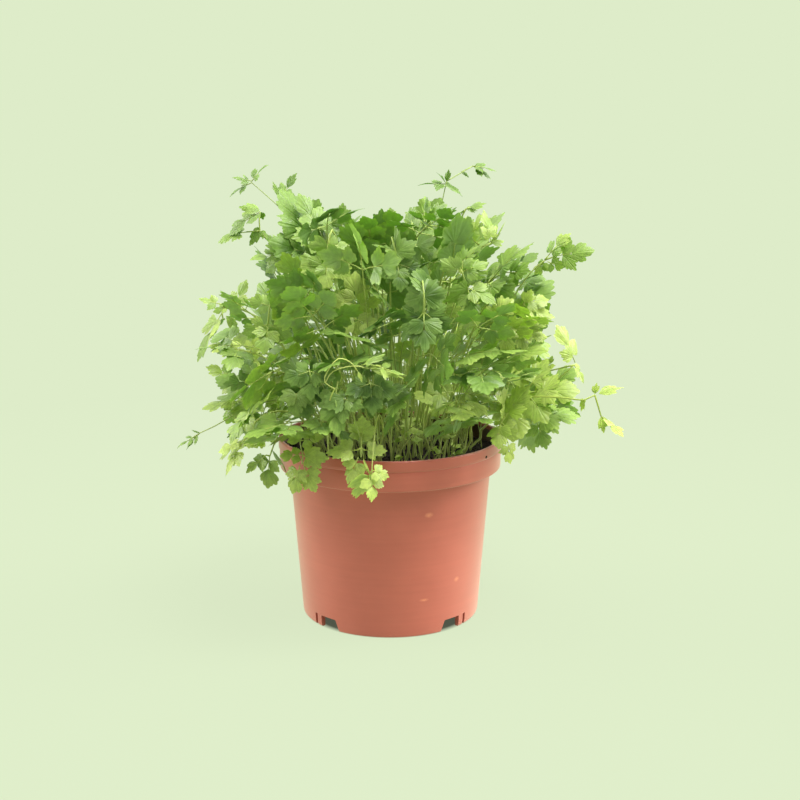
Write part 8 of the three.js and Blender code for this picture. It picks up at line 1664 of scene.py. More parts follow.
      [0,6,[21.4,-16.3,128.6],[24.6,-15.8,130.9]]], [
      [0,7, 24.6,-19.7,128.4, 0.68,-0.71,-0.16,-0.34,-0.5,0.79, 13.3,12.7],
      [1,1, 20.6,-19.4,126.1, -0.18,-0.71,-0.68,-0.91,-0.14,0.38, 12,11],
      [2,1, 24.6,-15.8,130.9, 0.86,0.13,0.49,-0.36,-0.52,0.77, 12,11]]],
    ['x_58', 0.57, [
      [-1,0,[1,14.8,97.6],[0.9,17,112.4],[0.6,20.1,126.3],[0.5,24.2,138.9],[0.6,29.7,149.7],[1.3,36.7,158.3],[2.8,45.6,164.2],[4.7,55.1,167.8],[5.6,59.5,169.3]],
      [0,7,[4.7,55.1,167.8],[7.3,56.6,167.4]],
      [0,7,[4.7,55.1,167.8],[2.7,56.5,169.5]],
      [0,6,[2.8,45.6,164.2],[7.4,47,162.7]],
      [0,6,[2.8,45.6,164.2],[-1.3,46.9,166.8]]], [
      [0,8, 5.6,59.5,169.3, 0.19,0.94,0.29,0.67,-0.34,0.66, 16.5,15.7],
      [1,1, 7.3,56.6,167.4, 0.84,0.48,-0.26,0.48,-0.41,0.78, 13.6,12.5],
      [2,1, 2.7,56.5,169.5, -0.71,0.51,0.49,0.15,-0.57,0.81, 13.6,12.5],
      [3,1, 7.4,47,162.7, 0.88,0.26,-0.4,0.4,0.05,0.92, 15.7,14.5],
      [4,1, -1.3,46.9,166.8, -0.86,0.26,0.43,0.22,-0.57,0.79, 15.7,14.5]]],
    ['x_59', 0.48, [
      [-1,0,[39,18.4,97.6],[41.5,18.7,109.5],[45.1,18.7,121.4],[49.9,19,132.3],[55.5,20.1,141],[61.8,22.4,146.6],[68.7,26.5,147.9],[77.1,32.6,145.9],[80.9,35.3,144.8]],
      [0,7,[77.1,32.6,145.9],[79.4,31.8,144.1]],
      [0,7,[77.1,32.6,145.9],[77.5,35.3,147.3]],
      [0,6,[68.7,26.5,147.9],[71.7,24.1,144.8]],
      [0,6,[68.7,26.5,147.9],[68,30.6,150.7]]], [
      [0,8, 80.9,35.3,144.8, 0.79,0.57,-0.25,0.56,-0.47,0.68, 13.2,12.5],
      [1,1, 79.4,31.8,144.1, 0.71,-0.24,-0.66,0.62,-0.23,0.75, 10.8,10],
      [2,1, 77.5,35.3,147.3, 0.12,0.93,0.34,0.51,-0.35,0.79, 10.8,10],
      [3,1, 71.7,24.1,144.8, 0.56,-0.45,-0.7,0.7,-0.19,0.68, 12.5,11.5],
      [4,1, 68,30.6,150.7, -0.15,0.87,0.46,0.05,-0.46,0.89, 12.5,11.5]]],
    ['x_60', 0.3, [
      [-1,0,[19.4,16,97.6],[22.3,17.1,122.4],[27.1,18.4,144.1],[32.8,20.4,163.5],[38.5,23.2,181.4],[43,27,198.4],[45.4,32.1,215.4],[45.6,33.4,219.1]],
      [0,6,[45.4,32.1,215.4],[49,32.4,217]],
      [0,6,[45.4,32.1,215.4],[41.9,33,217.2]]], [
      [0,7, 45.6,33.4,219.1, 0.06,0.36,0.93,0.08,-0.93,0.36, 10,9.5],
      [1,1, 49,32.4,217, 0.95,0.08,0.29,-0.01,-0.96,0.28, 11.2,10.3],
      [2,1, 41.9,33,217.2, -0.91,0.22,0.35,0.01,-0.82,0.57, 11.2,10.3]]],
    ['x_61', 0.2, [
      [-1,0,[10.1,5.3,97.6],[10.8,5.7,124.6],[11.4,5.6,149.6],[12.5,6.3,172.2],[14.8,8.9,191.9],[18.8,14.8,208.3],[25.3,25.4,221.2],[27.8,29.5,224.6]],
      [0,6,[25.3,25.4,221.2],[27.6,24.1,224.2]],
      [0,6,[25.3,25.4,221.2],[24.5,29.2,220.2]]], [
      [0,7, 27.8,29.5,224.6, 0.45,0.75,0.49,-0.8,0.09,0.6, 16.2,15.4],
      [1,1, 27.6,24.1,224.2, 0.62,-0.35,0.7,-0.74,0.02,0.67, 14.6,13.4],
      [2,1, 24.5,29.2,220.2, -0.19,0.92,-0.35,-0.98,-0.15,0.13, 18.2,16.8]]],
    ['x_62', 0.13, [
      [-1,0,[5.1,-29.5,97.6],[4.7,-31.7,115.9],[4.2,-34.5,133.2],[3.4,-38.6,148.8],[2.4,-44.3,162.2],[1.3,-52.3,172.8],[-0.1,-63,180],[-1.1,-70.6,182.9],[-1.5,-74.2,184.1]],
      [0,7,[-1.1,-70.6,182.9],[-3.5,-72.3,182.5]],
      [0,7,[-1.1,-70.6,182.9],[1,-71.9,184.6]],
      [0,6,[-0.1,-63,180],[-4.6,-64.6,178.6]],
      [0,6,[-0.1,-63,180],[4.1,-63.9,182.6]]], [
      [0,8, -1.5,-74.2,184.1, -0.12,-0.95,0.29,-0.47,0.31,0.82, 13,12.3],
      [1,1, -3.5,-72.3,182.5, -0.8,-0.54,-0.25,-0.34,0.07,0.94, 10.6,9.8],
      [2,1, 1,-71.9,184.6, 0.75,-0.46,0.48,-0.14,0.59,0.79, 10.6,9.8],
      [3,1, -4.6,-64.6,178.6, -0.87,-0.32,-0.39,-0.49,0.4,0.77, 12.3,11.3],
      [4,1, 4.1,-63.9,182.6, 0.89,-0.2,0.42,-0.12,0.76,0.63, 12.3,11.3]]],
    ['x_63', 0.08, [
      [-1,0,[17.1,-2.1,97.6],[18.7,-1.2,113.8],[21.1,0.7,128.9],[24.2,2.7,142.5],[28.5,3.6,154.3],[34.1,2.4,163.8],[41.2,-2,170.8],[48.1,-7.5,175],[51.4,-10.1,176.9]],
      [0,7,[48.1,-7.5,175],[48.6,-10.4,174.5]],
      [0,7,[48.1,-7.5,175],[49.9,-6.3,177.2]],
      [0,6,[41.2,-2,170.8],[40.9,-6.6,169]],
      [0,6,[41.2,-2,170.8],[43.4,1.1,174]]], [
      [0,8, 51.4,-10.1,176.9, 0.73,-0.57,0.38,-0.63,-0.33,0.7, 12.8,12.1],
      [1,1, 48.6,-10.4,174.5, 0.14,-0.94,-0.29,-0.52,-0.33,0.79, 10.5,9.6],
      [2,1, 49.9,-6.3,177.2, 0.65,0.41,0.64,-0.76,0.37,0.54, 10.5,9.6],
      [3,1, 40.9,-6.6,169, -0.06,-0.88,-0.46,-0.98,-0.03,0.18, 12.1,11.1],
      [4,1, 43.4,1.1,174, 0.49,0.66,0.57,-0.34,-0.45,0.82, 12.1,11.1]]],
    ['x_64', 0.58, [
      [-1,0,[-36.3,10.5,97.6],[-38.3,11.8,119],[-42.5,14.5,132.9],[-47.8,18,139.8],[-53.5,21.7,140.1],[-58.7,25,134.1],[-62.3,27.4,122.2],[-66.7,26.7,123.4]],
      [0,6,[-62.3,27.4,122.2],[-63.6,29.5,125.3]],
      [0,6,[-62.3,27.4,122.2],[-64.4,24.7,120.1]]], [
      [0,7, -66.7,26.7,123.4, -0.97,-0.16,0.16,0.23,-0.62,0.75, 14.4,13.7],
      [1,1, -63.6,29.5,125.3, -0.36,0.59,0.72,-0.11,-0.8,0.59, 13,11.9],
      [2,1, -64.4,24.7,120.1, -0.48,-0.63,-0.61,0.07,-0.72,0.69, 13,11.9]]],
    ['x_65', 0.33, [
      [-1,0,[15.8,-21,97.6],[17.3,-22.9,118.6],[20.3,-26.8,133],[24.2,-31.9,140.8],[28.3,-37.3,142.3],[32.1,-42.1,137.7],[34.7,-45.6,127.2],[40.7,-57,128.9],[43.4,-62.2,129.4]],
      [0,7,[40.7,-57,128.9],[39.3,-59.6,128.6]],
      [0,7,[40.7,-57,128.9],[43.5,-57.1,129.8]],
      [0,6,[34.7,-45.6,127.2],[31.3,-49.2,126.3]],
      [0,6,[34.7,-45.6,127.2],[39.4,-44.5,128.6]]], [
      [0,8, 43.4,-62.2,129.4, 0.46,-0.88,0.07,0.01,0.09,1, 17.6,16.8],
      [1,1, 39.3,-59.6,128.6, -0.45,-0.87,-0.21,-0.89,0.42,0.14, 14.5,13.3],
      [2,1, 43.5,-57.1,129.8, 0.98,-0.06,0.19,-0.18,0.1,0.98, 14.5,13.3],
      [3,1, 31.3,-49.2,126.3, -0.65,-0.7,-0.29,-0.41,0.01,0.91, 16.8,15.4],
      [4,1, 39.4,-44.5,128.6, 0.96,0.23,0.17,-0.23,0.28,0.93, 16.8,15.4]]],
    ['x_66', 0.05, [
      [-1,0,[38.9,23.3,97.6],[41.5,26.9,115],[45.4,33,130.1],[50.3,40.1,143.5],[55.9,46.9,155.9],[61.8,51.9,167.9],[67.7,53.7,180.2],[72.1,53.4,189.1],[74.3,53.2,193.3]],
      [0,7,[72.1,53.4,189.1],[72.1,50.9,190.8]],
      [0,7,[72.1,53.4,189.1],[73.5,55.7,190.3]],
      [0,6,[67.7,53.7,180.2],[67,49,182]],
      [0,6,[67.7,53.7,180.2],[69.7,58.2,181]]], [
      [0,8, 74.3,53.2,193.3, 0.47,-0.03,0.88,-0.64,0.68,0.36, 12.1,11.5],
      [1,1, 72.1,50.9,190.8, -0.01,-0.87,0.49,-0.87,0.25,0.43, 9.9,9.1],
      [2,1, 73.5,55.7,190.3, 0.48,0.82,0.3,-0.79,0.26,0.55, 9.9,9.1],
      [3,1, 67,49,182, -0.16,-0.96,0.25,-0.59,0.29,0.76, 11.5,10.6],
      [4,1, 69.7,58.2,181, 0.4,0.92,0.04,-0.8,0.32,0.51, 11.5,10.6]]],
    ['x_67', 0.45, [
      [-1,0,[-37.9,-17.7,97.6],[-40.7,-18.9,115.1],[-45.1,-20.5,130.9],[-50.6,-22.7,145.1],[-57.2,-25.7,157.7],[-64.5,-29.8,168.8],[-72.4,-35.2,178.4],[-78.1,-39.4,184.1],[-80.9,-41.4,186.7]],
      [0,7,[-78.1,-39.4,184.1],[-80.9,-38.4,184.8]],
      [0,7,[-78.1,-39.4,184.1],[-77.4,-41.9,185.6]],
      [0,6,[-72.4,-35.2,178.4],[-76.6,-32.5,178.6]],
      [0,6,[-72.4,-35.2,178.4],[-69.9,-39.1,180.2]]], [
      [0,8, -80.9,-41.4,186.7, -0.65,-0.48,0.58,0.35,0.49,0.8, 12.8,12.1],
      [1,1, -80.9,-38.4,184.8, -0.93,0.35,0.1,0.36,0.85,0.38, 10.5,9.6],
      [2,1, -77.4,-41.9,185.6, 0.27,-0.87,0.4,0.37,0.48,0.8, 10.5,9.6],
      [3,1, -76.6,-32.5,178.6, -0.84,0.54,-0.09,0.35,0.66,0.67, 12.1,11.2],
      [4,1, -69.9,-39.1,180.2, 0.51,-0.82,0.24,0.82,0.55,0.14, 12.1,11.2]]],
    ['x_68', 0.27, [
      [-1,0,[25.1,-30.7,97.6],[26.2,-34.8,115.5],[27.3,-41.5,131.8],[29.2,-49.6,146.5],[32.5,-58.5,159.4],[37.8,-67.2,170.5],[45.9,-74.8,179.7],[50.5,-78.1,183.5]],
      [0,6,[45.9,-74.8,179.7],[44.4,-77.5,182.2]],
      [0,6,[45.9,-74.8,179.7],[49.7,-73.8,179.1]]], [
      [0,7, 50.5,-78.1,183.5, 0.72,-0.51,0.48,0.03,0.71,0.71, 16.3,15.4],
      [1,1, 44.4,-77.5,182.2, -0.39,-0.73,0.57,0.04,0.6,0.8, 14.6,13.5],
      [2,1, 49.7,-73.8,179.1, 0.94,0.24,-0.25,-0.07,0.83,0.55, 14.6,13.5]]],
    ['x_69', 0.05, [
      [-1,0,[43.9,16.9,97.6],[47,18,118.9],[53.4,20.2,132.9],[61.7,23.1,140.2],[70.6,26.2,140.9],[78.5,28.9,135.3],[84.1,30.9,123.9],[94.2,32.1,121.6],[98.6,32.6,120.4]],
      [0,7,[94.2,32.1,121.6],[96,29.8,120.9]],
      [0,7,[94.2,32.1,121.6],[95.6,34.7,121.8]],
      [0,6,[84.1,30.9,123.9],[85.9,26.4,122.8]],
      [0,6,[84.1,30.9,123.9],[85.1,35.7,124.6]]], [
      [0,8, 98.6,32.6,120.4, 0.95,0.11,-0.28,0.29,-0.59,0.75, 11.7,11.1],
      [1,1, 96,29.8,120.9, 0.58,-0.73,-0.35,0.26,-0.24,0.94, 12,11],
      [2,1, 95.6,34.7,121.8, 0.46,0.89,-0.06,0.13,-0.01,0.99, 12,11],
      [3,1, 85.9,26.4,122.8, 0.35,-0.87,-0.33,0.41,-0.17,0.9, 13.9,12.8],
      [4,1, 85.1,35.7,124.6, 0.2,0.98,0.01,0.29,-0.07,0.95, 11.1,10.2]]],
    ['x_70', 0.23, [
      [-1,0,[24.1,40.3,97.6],[27.1,42.2,117.9],[33.1,45.9,133.1],[40.9,50.8,143],[49.2,56,147.5],[56.6,60.6,146.1],[61.9,63.9,138.8],[66.3,74.6,138.5],[68.3,79.4,138.1]],
      [0,7,[66.3,74.6,138.5],[68.4,75.6,136.6]],
      [0,7,[66.3,74.6,138.5],[65.5,76.7,140.5]],
      [0,6,[61.9,63.9,138.8],[65.3,64.2,135.1]],
      [0,6,[61.9,63.9,138.8],[59.7,66.3,142.6]]], [
      [0,8, 68.3,79.4,138.1, 0.38,0.92,-0.09,0.52,-0.13,0.84, 20,19],
      [1,1, 68.4,75.6,136.6, 0.65,0.3,-0.7,0.73,-0.48,0.48, 16.4,15.1],
      [2,1, 65.5,76.7,140.5, -0.32,0.74,0.59,0.63,-0.3,0.71, 16.4,15.1],
      [3,1, 65.3,64.2,135.1, 0.62,0.05,-0.78,0.5,-0.79,0.34, 19,17.5],
      [4,1, 59.7,66.3,142.6, -0.5,0.52,0.69,0.31,-0.64,0.7, 19,17.5]]],
    ['x_71', 0.5, [
      [-1,0,[29.7,4.8,97.6],[32.7,5.1,118.2],[38.9,5.5,133.1],[46.9,6.1,142.1],[55.4,6.7,145.4],[63,7.2,142.7],[68.4,7.6,134.1],[73.2,6.2,142.7]],
      [0,6,[68.4,7.6,134.1],[70.4,4.2,134.5]],
      [0,6,[68.4,7.6,134.1],[68.1,10.5,136.8]]], [
      [0,7, 73.2,6.2,142.7, 0.54,-0.15,0.83,-0.84,-0.07,0.53, 24.3,23.1],
      [1,1, 70.4,4.2,134.5, 0.51,-0.86,-0.02,-0.85,-0.51,0.11, 21.8,20.1],
      [2,1, 68.1,10.5,136.8, -0.08,0.79,0.6,-0.9,-0.32,0.29, 21.8,20.1]]],
    ['x_72', 0.22, [
      [-1,0,[-7.8,-29.2,97.6],[-8.9,-31.4,111],[-10.5,-34.4,123.8],[-12.6,-38.5,135.3],[-15.1,-43.8,145.1],[-17.7,-50.6,152.6],[-20.6,-59.1,157],[-24.7,-72.5,160.2],[-26.6,-78.6,161.4]],
      [0,7,[-24.7,-72.5,160.2],[-27.5,-73.4,159.9]],
      [0,7,[-24.7,-72.5,160.2],[-22.8,-74.5,161.4]],
      [0,6,[-20.6,-59.1,157],[-25.5,-59.4,156.1]],
      [0,6,[-20.6,-59.1,157],[-16.5,-61.3,158.8]]], [
      [0,8, -26.6,-78.6,161.4, -0.29,-0.94,0.16,-0.28,0.25,0.93, 18.5,17.6],
      [1,1, -27.5,-73.4,159.9, -0.92,-0.32,-0.21,-0.37,0.59,0.72, 15.2,13.9],
      [2,1, -22.8,-74.5,161.4, 0.66,-0.7,0.29,-0.53,-0.16,0.84, 15.2,13.9],
      [3,1, -25.5,-59.4,156.1, -0.95,-0.07,-0.31,-0.31,0.34,0.89, 17.6,16.2],
      [4,1, -16.5,-61.3,158.8, 0.85,-0.47,0.25,-0.31,-0.06,0.95, 17.6,16.2]]],
    ['x_73', 0.09, [
      [-1,0,[-17.7,17.2,97.6],[-20.5,19.1,112.7],[-24.8,21.8,126.7],[-30.2,25.3,139.3],[-36.5,29.9,150.2],[-43.6,35.5,159.2],[-51.1,42.3,166],[-55.7,46.6,169.3]],
      [0,6,[-51.1,42.3,166],[-49.6,44.9,168.6]],
      [0,6,[-51.1,42.3,166],[-55,41.8,165.1]]], [
      [0,7, -55.7,46.6,169.3, -0.68,0.64,0.36,-0.22,-0.64,0.73, 22.1,21],
      [1,1, -49.6,44.9,168.6, 0.42,0.71,0.56,-0.17,-0.54,0.82, 19.9,18.3],
      [2,1, -55,41.8,165.1, -0.94,-0.11,-0.34,-0.12,-0.79,0.6, 19.9,18.3]]],
    ['x_74', 0.26, [
      [-1,0,[-3.9,-23.1,97.6],[-3.6,-24.6,118.3],[-2.7,-26.7,136.8],[-1.9,-29.6,153.5],[-1.8,-33.7,168.4],[-3,-39.3,181.8],[-6.1,-46.6,193.9],[-7.7,-49.7,198.2]],
      [0,6,[-6.1,-46.6,193.9],[-8.1,-44.7,196.8]],
      [0,6,[-6.1,-46.6,193.9],[-5.2,-50.5,193.7]]], [
      [0,7, -7.7,-49.7,198.2, -0.32,-0.62,0.72,0.79,0.24,0.56, 17.6,16.7],
      [1,1, -8.1,-44.7,196.8, -0.54,0.51,0.67,0.84,0.36,0.4, 15.8,14.6],
      [2,1, -5.2,-50.5,193.7, 0.23,-0.96,-0.16,0.77,0.08,0.63, 15.8,14.6]]],
    ['x_75', 0.09, [
      [-1,0,[-44.1,16.3,97.6],[-46.7,17.7,119.8],[-52,20.6,132.8],[-59,24.2,137.4],[-66.4,28.1,134.6],[-73,31.6,125.1],[-77.7,34.1,109.8],[-82.4,38,106.6]],
      [0,6,[-77.7,34.1,109.8],[-77,38.1,109.7]],
      [0,6,[-77.7,34.1,109.8],[-80.8,32.2,108.2]]], [
      [0,7, -82.4,38,106.6, -0.65,0.53,-0.55,-0.37,0.42,0.83, 22.5,21.4],
      [1,1, -77,38.1,109.7, 0.16,0.98,-0.14,-0.53,0.2,0.82, 20.3,18.7],
      [2,1, -80.8,32.2,108.2, -0.74,-0.46,-0.49,-0.58,0.05,0.82, 20.3,18.7]]],
    ['x_76', 0.51, [
      [-1,0,[-10.8,-13.8,97.6],[-12.2,-15.3,107.2],[-14.4,-17.5,115.6],[-17.1,-20.4,123],[-19.8,-23.7,129.9],[-22.1,-27.3,136.3],[-23.7,-31.1,142.6],[-24.5,-34.2,147.9]],
      [0,6,[-23.7,-31.1,142.6],[-25.9,-34.4,142.4]],
      [0,6,[-23.7,-31.1,142.6],[-21.9,-29.5,145.9]]], [
      [0,7, -24.5,-34.2,147.9, -0.15,-0.56,0.81,-0.98,0.16,-0.07, 20.3,19.3],
      [1,1, -25.9,-34.4,142.4, -0.54,-0.82,-0.17,-0.84,0.53,0.11, 18.2,16.8],
      [2,1, -21.9,-29.5,145.9, 0.48,0.42,0.77,-0.73,0.68,0.08, 18.2,16.8]]],
    ['x_77', 0.58, [
      [-1,0,[-13.7,-1.9,97.6],[-14.8,-2.6,121.2],[-16,-3.8,142],[-18,-5.1,160.7],[-20.9,-6.3,177.6],[-25.3,-7,193.5],[-31.5,-7,208.8],[-37,-6.5,219.4],[-39.6,-6.3,224.4]],
      [0,7,[-37,-6.5,219.4],[-36.2,-4.5,221.5]],
      [0,7,[-37,-6.5,219.4],[-39.2,-8.4,220.2]],
      [0,6,[-31.5,-7,208.8],[-29.3,-3.3,211.3]],
      [0,6,[-31.5,-7,208.8],[-35,-10.6,208.9]]], [
      [0,8, -39.6,-6.3,224.4, -0.48,0.04,0.87,0.74,-0.51,0.43, 19.7,18.7],
      [1,1, -36.2,-4.5,221.5, 0.29,0.72,0.63,0.72,-0.6,0.36, 16.1,14.8],
      [2,1, -39.2,-8.4,220.2, -0.75,-0.64,0.16,0.65,-0.66,0.38, 16.1,14.8],
      [3,1, -29.3,-3.3,211.3, 0.47,0.78,0.4,0.78,-0.58,0.23, 18.7,17.2],
      [4,1, -35,-10.6,208.9, -0.69,-0.72,-0.1,0.64,-0.67,0.38, 18.7,17.2]]],
    ['x_78', 0.53, [
      [-1,0,[-11.6,2.2,97.6],[-13.7,2.8,116.9],[-17,3.6,133.8],[-21.1,4.7,148.9],[-25.7,6,162.7],[-30.3,7.6,176],[-34.7,9.2,189.3],[-36.3,9.9,194.3]],
      [0,6,[-34.7,9.2,189.3],[-32.8,12.1,191.4]],
      [0,6,[-34.7,9.2,189.3],[-37.7,6.9,190.6]]], [
      [0,7, -36.3,9.9,194.3, -0.33,0.14,0.93,0.43,-0.86,0.28, 18.3,17.4],
      [1,1, -32.8,12.1,191.4, 0.51,0.75,0.43,0.58,-0.67,0.46, 16.5,15.2],
      [2,1, -37.7,6.9,190.6, -0.76,-0.61,0.21,0.58,-0.79,-0.19, 16.5,15.2]]],
    ['x_79', 0.46, [
      [-1,0,[33.8,8.4,97.6],[36.5,8.2,113.3],[40.4,8,127.8],[45.6,7.7,140.8],[52,7,152.2],[59.8,5.8,161.8],[68.9,4,169.4],[75.4,2.5,173.7]],
      [0,6,[68.9,4,169.4],[68.3,2.1,172.8]],
      [0,6,[68.9,4,169.4],[72.4,5.3,167.9]]], [
      [0,7, 75.4,2.5,173.7, 0.87,-0.2,0.45,0.14,0.98,0.16, 16,15.2],
      [1,1, 68.3,2.1,172.8, -0.16,-0.54,0.82,-0.43,0.79,0.44, 18.1,16.6],
      [2,1, 72.4,5.3,167.9, 0.83,0.31,-0.47,-0.15,0.93,0.34, 18.1,16.6]]],
    ['x_80', 0.27, [
      [-1,0,[-33.2,-6.8,97.6],[-36.3,-7.9,118],[-42.7,-10.1,133.1],[-50.9,-12.9,142.8],[-59.7,-16,146.8],[-67.5,-18.7,145.1],[-73.1,-20.6,137.4],[-79.7,-16.9,138.5]],
      [0,6,[-73.1,-20.6,137.4],[-72.9,-16.7,138.1]],
      [0,6,[-73.1,-20.6,137.4],[-76.5,-22.8,137.2]]], [
      [0,7, -79.7,-16.9,138.5, -0.87,0.49,0.03,-0.28,-0.54,0.79, 19.9,19],
      [1,1, -72.9,-16.7,138.1, 0.06,1,0.07,0.73,-0.09,0.68, 18,16.5],
      [2,1, -76.5,-22.8,137.2, -0.82,-0.54,-0.17,-0.18,-0.02,0.98, 18,16.5]]],
    ['x_81', 0.13, [
      [-1,0,[-16.3,-25.9,97.6],[-17.3,-29,118.9],[-18,-33.9,139],[-19.5,-40,157.1],[-23,-46.7,172.7],[-29.5,-53.3,185.2],[-40.2,-59.4,193.9],[-45.1,-61.5,196.4]],
      [0,6,[-40.2,-59.4,193.9],[-43.6,-58.1,192.4]],
      [0,6,[-40.2,-59.4,193.9],[-39.7,-62,196.9]]], [
      [0,7, -45.1,-61.5,196.4, -0.87,-0.37,0.32,-0.23,0.89,0.4, 18.8,17.9],
      [1,1, -43.6,-58.1,192.4, -0.82,0.31,-0.47,-0.09,0.75,0.66, 16.9,15.6],
      [2,1, -39.7,-62,196.9, 0.13,-0.71,0.69,0.51,0.65,0.56, 16.9,15.6]]],
    ['x_82', 0.6, [
      [-1,0,[-29.1,18.4,97.6],[-30.7,20.4,109],[-33.1,23.3,119.6],[-36.3,27,129.1],[-40.3,31.3,137.3],[-45.2,36,144.1],[-51.2,40.8,149.1],[-55.6,44,151.8]],
      [0,6,[-51.2,40.8,149.1],[-50.2,44.5,150.2]],
      [0,6,[-51.2,40.8,149.1],[-54.7,39,149.5]]], [
      [0,7, -55.6,44,151.8, -0.75,0.56,0.34,0.17,-0.34,0.93, 19.5,18.5],
      [1,1, -50.2,44.5,150.2, 0.25,0.95,0.17,0.36,-0.26,0.9, 17.5,16.1],
      [2,1, -54.7,39,149.5, -0.89,-0.45,-0.01,0.16,-0.33,0.93, 17.5,16.1]]],
    ['x_83', 0.49, [
      [-1,0,[-36.4,-27.6,97.6],[-39,-29.8,118.2],[-44.4,-34.4,133.1],[-51.4,-40.4,142.2],[-58.8,-46.7,145.5],[-65.5,-52.4,143],[-70.2,-56.4,134.4],[-71.3,-66.6,135.5],[-71.7,-71.2,135.7]],
      [0,7,[-71.3,-66.6,135.5],[-73.2,-68.3,134]],
      [0,7,[-71.3,-66.6,135.5],[-69.6,-68.1,137.5]],
      [0,6,[-70.2,-56.4,134.4],[-73.8,-58,131.4]],
      [0,6,[-70.2,-56.4,134.4],[-66.9,-57.6,138]]], [
      [0,8, -71.7,-71.2,135.7, -0.1,-0.99,0.04,-0.76,0.1,0.64, 18.4,17.5],
      [1,1, -73.2,-68.3,134, -0.62,-0.53,-0.58,-0.6,-0.15,0.78, 15.1,13.9],
      [2,1, -69.6,-68.1,137.5, 0.6,-0.54,0.59,-0.78,-0.22,0.59, 15.1,13.9],
      [3,1, -73.8,-58,131.4, -0.67,-0.3,-0.68,-0.54,-0.44,0.72, 17.5,16.1],
      [4,1, -66.9,-57.6,138, 0.72,-0.27,0.64,-0.53,0.37,0.76, 17.5,16.1]]],
    ['x_84', 0.38, [
      [-1,0,[11,-9.6,97.6],[11.9,-10.7,119.1],[12.8,-12.3,138.5],[14.3,-14.5,156],[17.2,-17.2,171.5],[22.2,-20.4,185.4],[30,-24.2,197.6],[37,-27.2,205.5],[40.3,-28.7,209.1]],
      [0,7,[37,-27.2,205.5],[36.7,-29.9,206.9]],
      [0,7,[37,-27.2,205.5],[39.2,-25.5,206.5]],
      [0,6,[30,-24.2,197.6],[28.5,-28.7,199.2]],
      [0,6,[30,-24.2,197.6],[33.2,-20.4,198.3]]], [
      [0,8, 40.3,-28.7,209.1, 0.67,-0.29,0.69,-0.72,-0.04,0.69, 17.6,16.7],
      [1,1, 36.7,-29.9,206.9, -0.09,-0.92,0.38,-0.69,0.33,0.64, 14.4,13.3],
      [2,1, 39.2,-25.5,206.5, 0.77,0.6,0.21,-0.61,0.58,0.54, 14.4,13.3],
      [3,1, 28.5,-28.7,199.2, -0.31,-0.93,0.19,-0.47,0.32,0.82, 16.7,15.4],
      [4,1, 33.2,-20.4,198.3, 0.65,0.76,0,-0.39,0.33,0.86, 16.7,15.4]]],
    ['x_85', 0.48, [
      [-1,0,[-39.2,4.7,97.6],[-42,5.3,109.2],[-46.3,6.1,120.1],[-51.8,7.3,130.1],[-58.4,8.5,138.5],[-66,9.9,145],[-74.5,11.4,149.2],[-82.2,12.6,151.7]],
      [0,6,[-74.5,11.4,149.2],[-75.6,15.2,149.9]],
      [0,6,[-74.5,11.4,149.2],[-76.8,8.1,149.7]]], [
      [0,7, -82.2,12.6,151.7, -0.97,0.16,0.19,0.23,0.3,0.92, 19.5,18.5],
      [1,1, -75.6,15.2,149.9, -0.27,0.96,0.05,0.27,0.03,0.96, 17.6,16.2],
      [2,1, -76.8,8.1,149.7, -0.57,-0.82,-0.01,-0.18,0.11,0.98, 17.6,16.2]]],
    ['x_86', 0.39, [
      [-1,0,[-28.9,17.8,97.6],[-33.5,18.9,108.4],[-40.8,20.1,118.3],[-49.8,22.1,127.2],[-59.2,25.1,135],[-68,29.7,141.5],[-74.8,36.3,146.6],[-78.8,41.9,149.7]],
      [0,6,[-74.8,36.3,146.6],[-72.8,39.6,147.4]],
      [0,6,[-74.8,36.3,146.6],[-78.7,35.6,147.2]]], [
      [0,7, -78.8,41.9,149.7, -0.55,0.78,0.3,0.25,-0.19,0.95, 18.4,17.4],
      [1,1, -72.8,39.6,147.4, 0.51,0.86,0.1,0.16,-0.21,0.97, 16.5,15.2],
      [2,1, -78.7,35.6,147.2, -0.98,-0.18,0.03,0.08,-0.28,0.96, 16.5,15.2]]],
    ['x_87', 0.12, [
      [-1,0,[35.2,-23.8,97.6],[37.4,-25.1,107.7],[40.7,-26.9,116.9],[44.9,-29.3,125.3],[49.7,-32.5,132.5],[54.6,-36.5,138.6],[59.5,-41.4,143.2],[65.6,-48.7,147.7],[68.5,-52.1,149.6]],
      [0,7,[65.6,-48.7,147.7],[64.7,-51.4,148.4]],
      [0,7,[65.6,-48.7,147.7],[68.4,-48.1,148.6]],
      [0,6,[59.5,-41.4,143.2],[56.7,-45.6,143.7]],
      [0,6,[59.5,-41.4,143.2],[63.9,-39.2,144.1]]], [
      [0,8, 68.5,-52.1,149.6, 0.6,-0.71,0.38,-0.24,0.29,0.93, 16.1,15.3],
      [1,1, 64.7,-51.4,148.4, -0.33,-0.94,0.11,-0.78,0.33,0.53, 13.2,12.2],
      [2,1, 68.4,-48.1,148.6, 0.96,0.2,0.17,-0.17,-0.01,0.98, 13.2,12.2],
      [3,1, 56.7,-45.6,143.7, -0.56,-0.83,-0.02,0.17,-0.13,0.98, 15.3,14.1],
      [4,1, 63.9,-39.2,144.1, 0.89,0.45,0.05,-0.12,0.14,0.98, 12.3,11.3]]],
    ['x_88', 0.42, [
      [-1,0,[-9.9,-26.8,97.6],[-10.2,-31.3,121.2],[-10.5,-38.2,141.8],[-10.9,-46.9,160.3],[-11.5,-56.4,177.2],[-12.4,-65.9,193.4],[-13.6,-74.5,209.5],[-14.1,-77.2,215.2]],
      [0,6,[-13.6,-74.5,209.5],[-17.1,-74,211.5]],
      [0,6,[-13.6,-74.5,209.5],[-10.4,-76.6,210.8]]], [
      [0,7, -14.1,-77.2,215.2, -0.09,-0.49,0.87,0.92,0.29,0.25, 19.5,18.6],
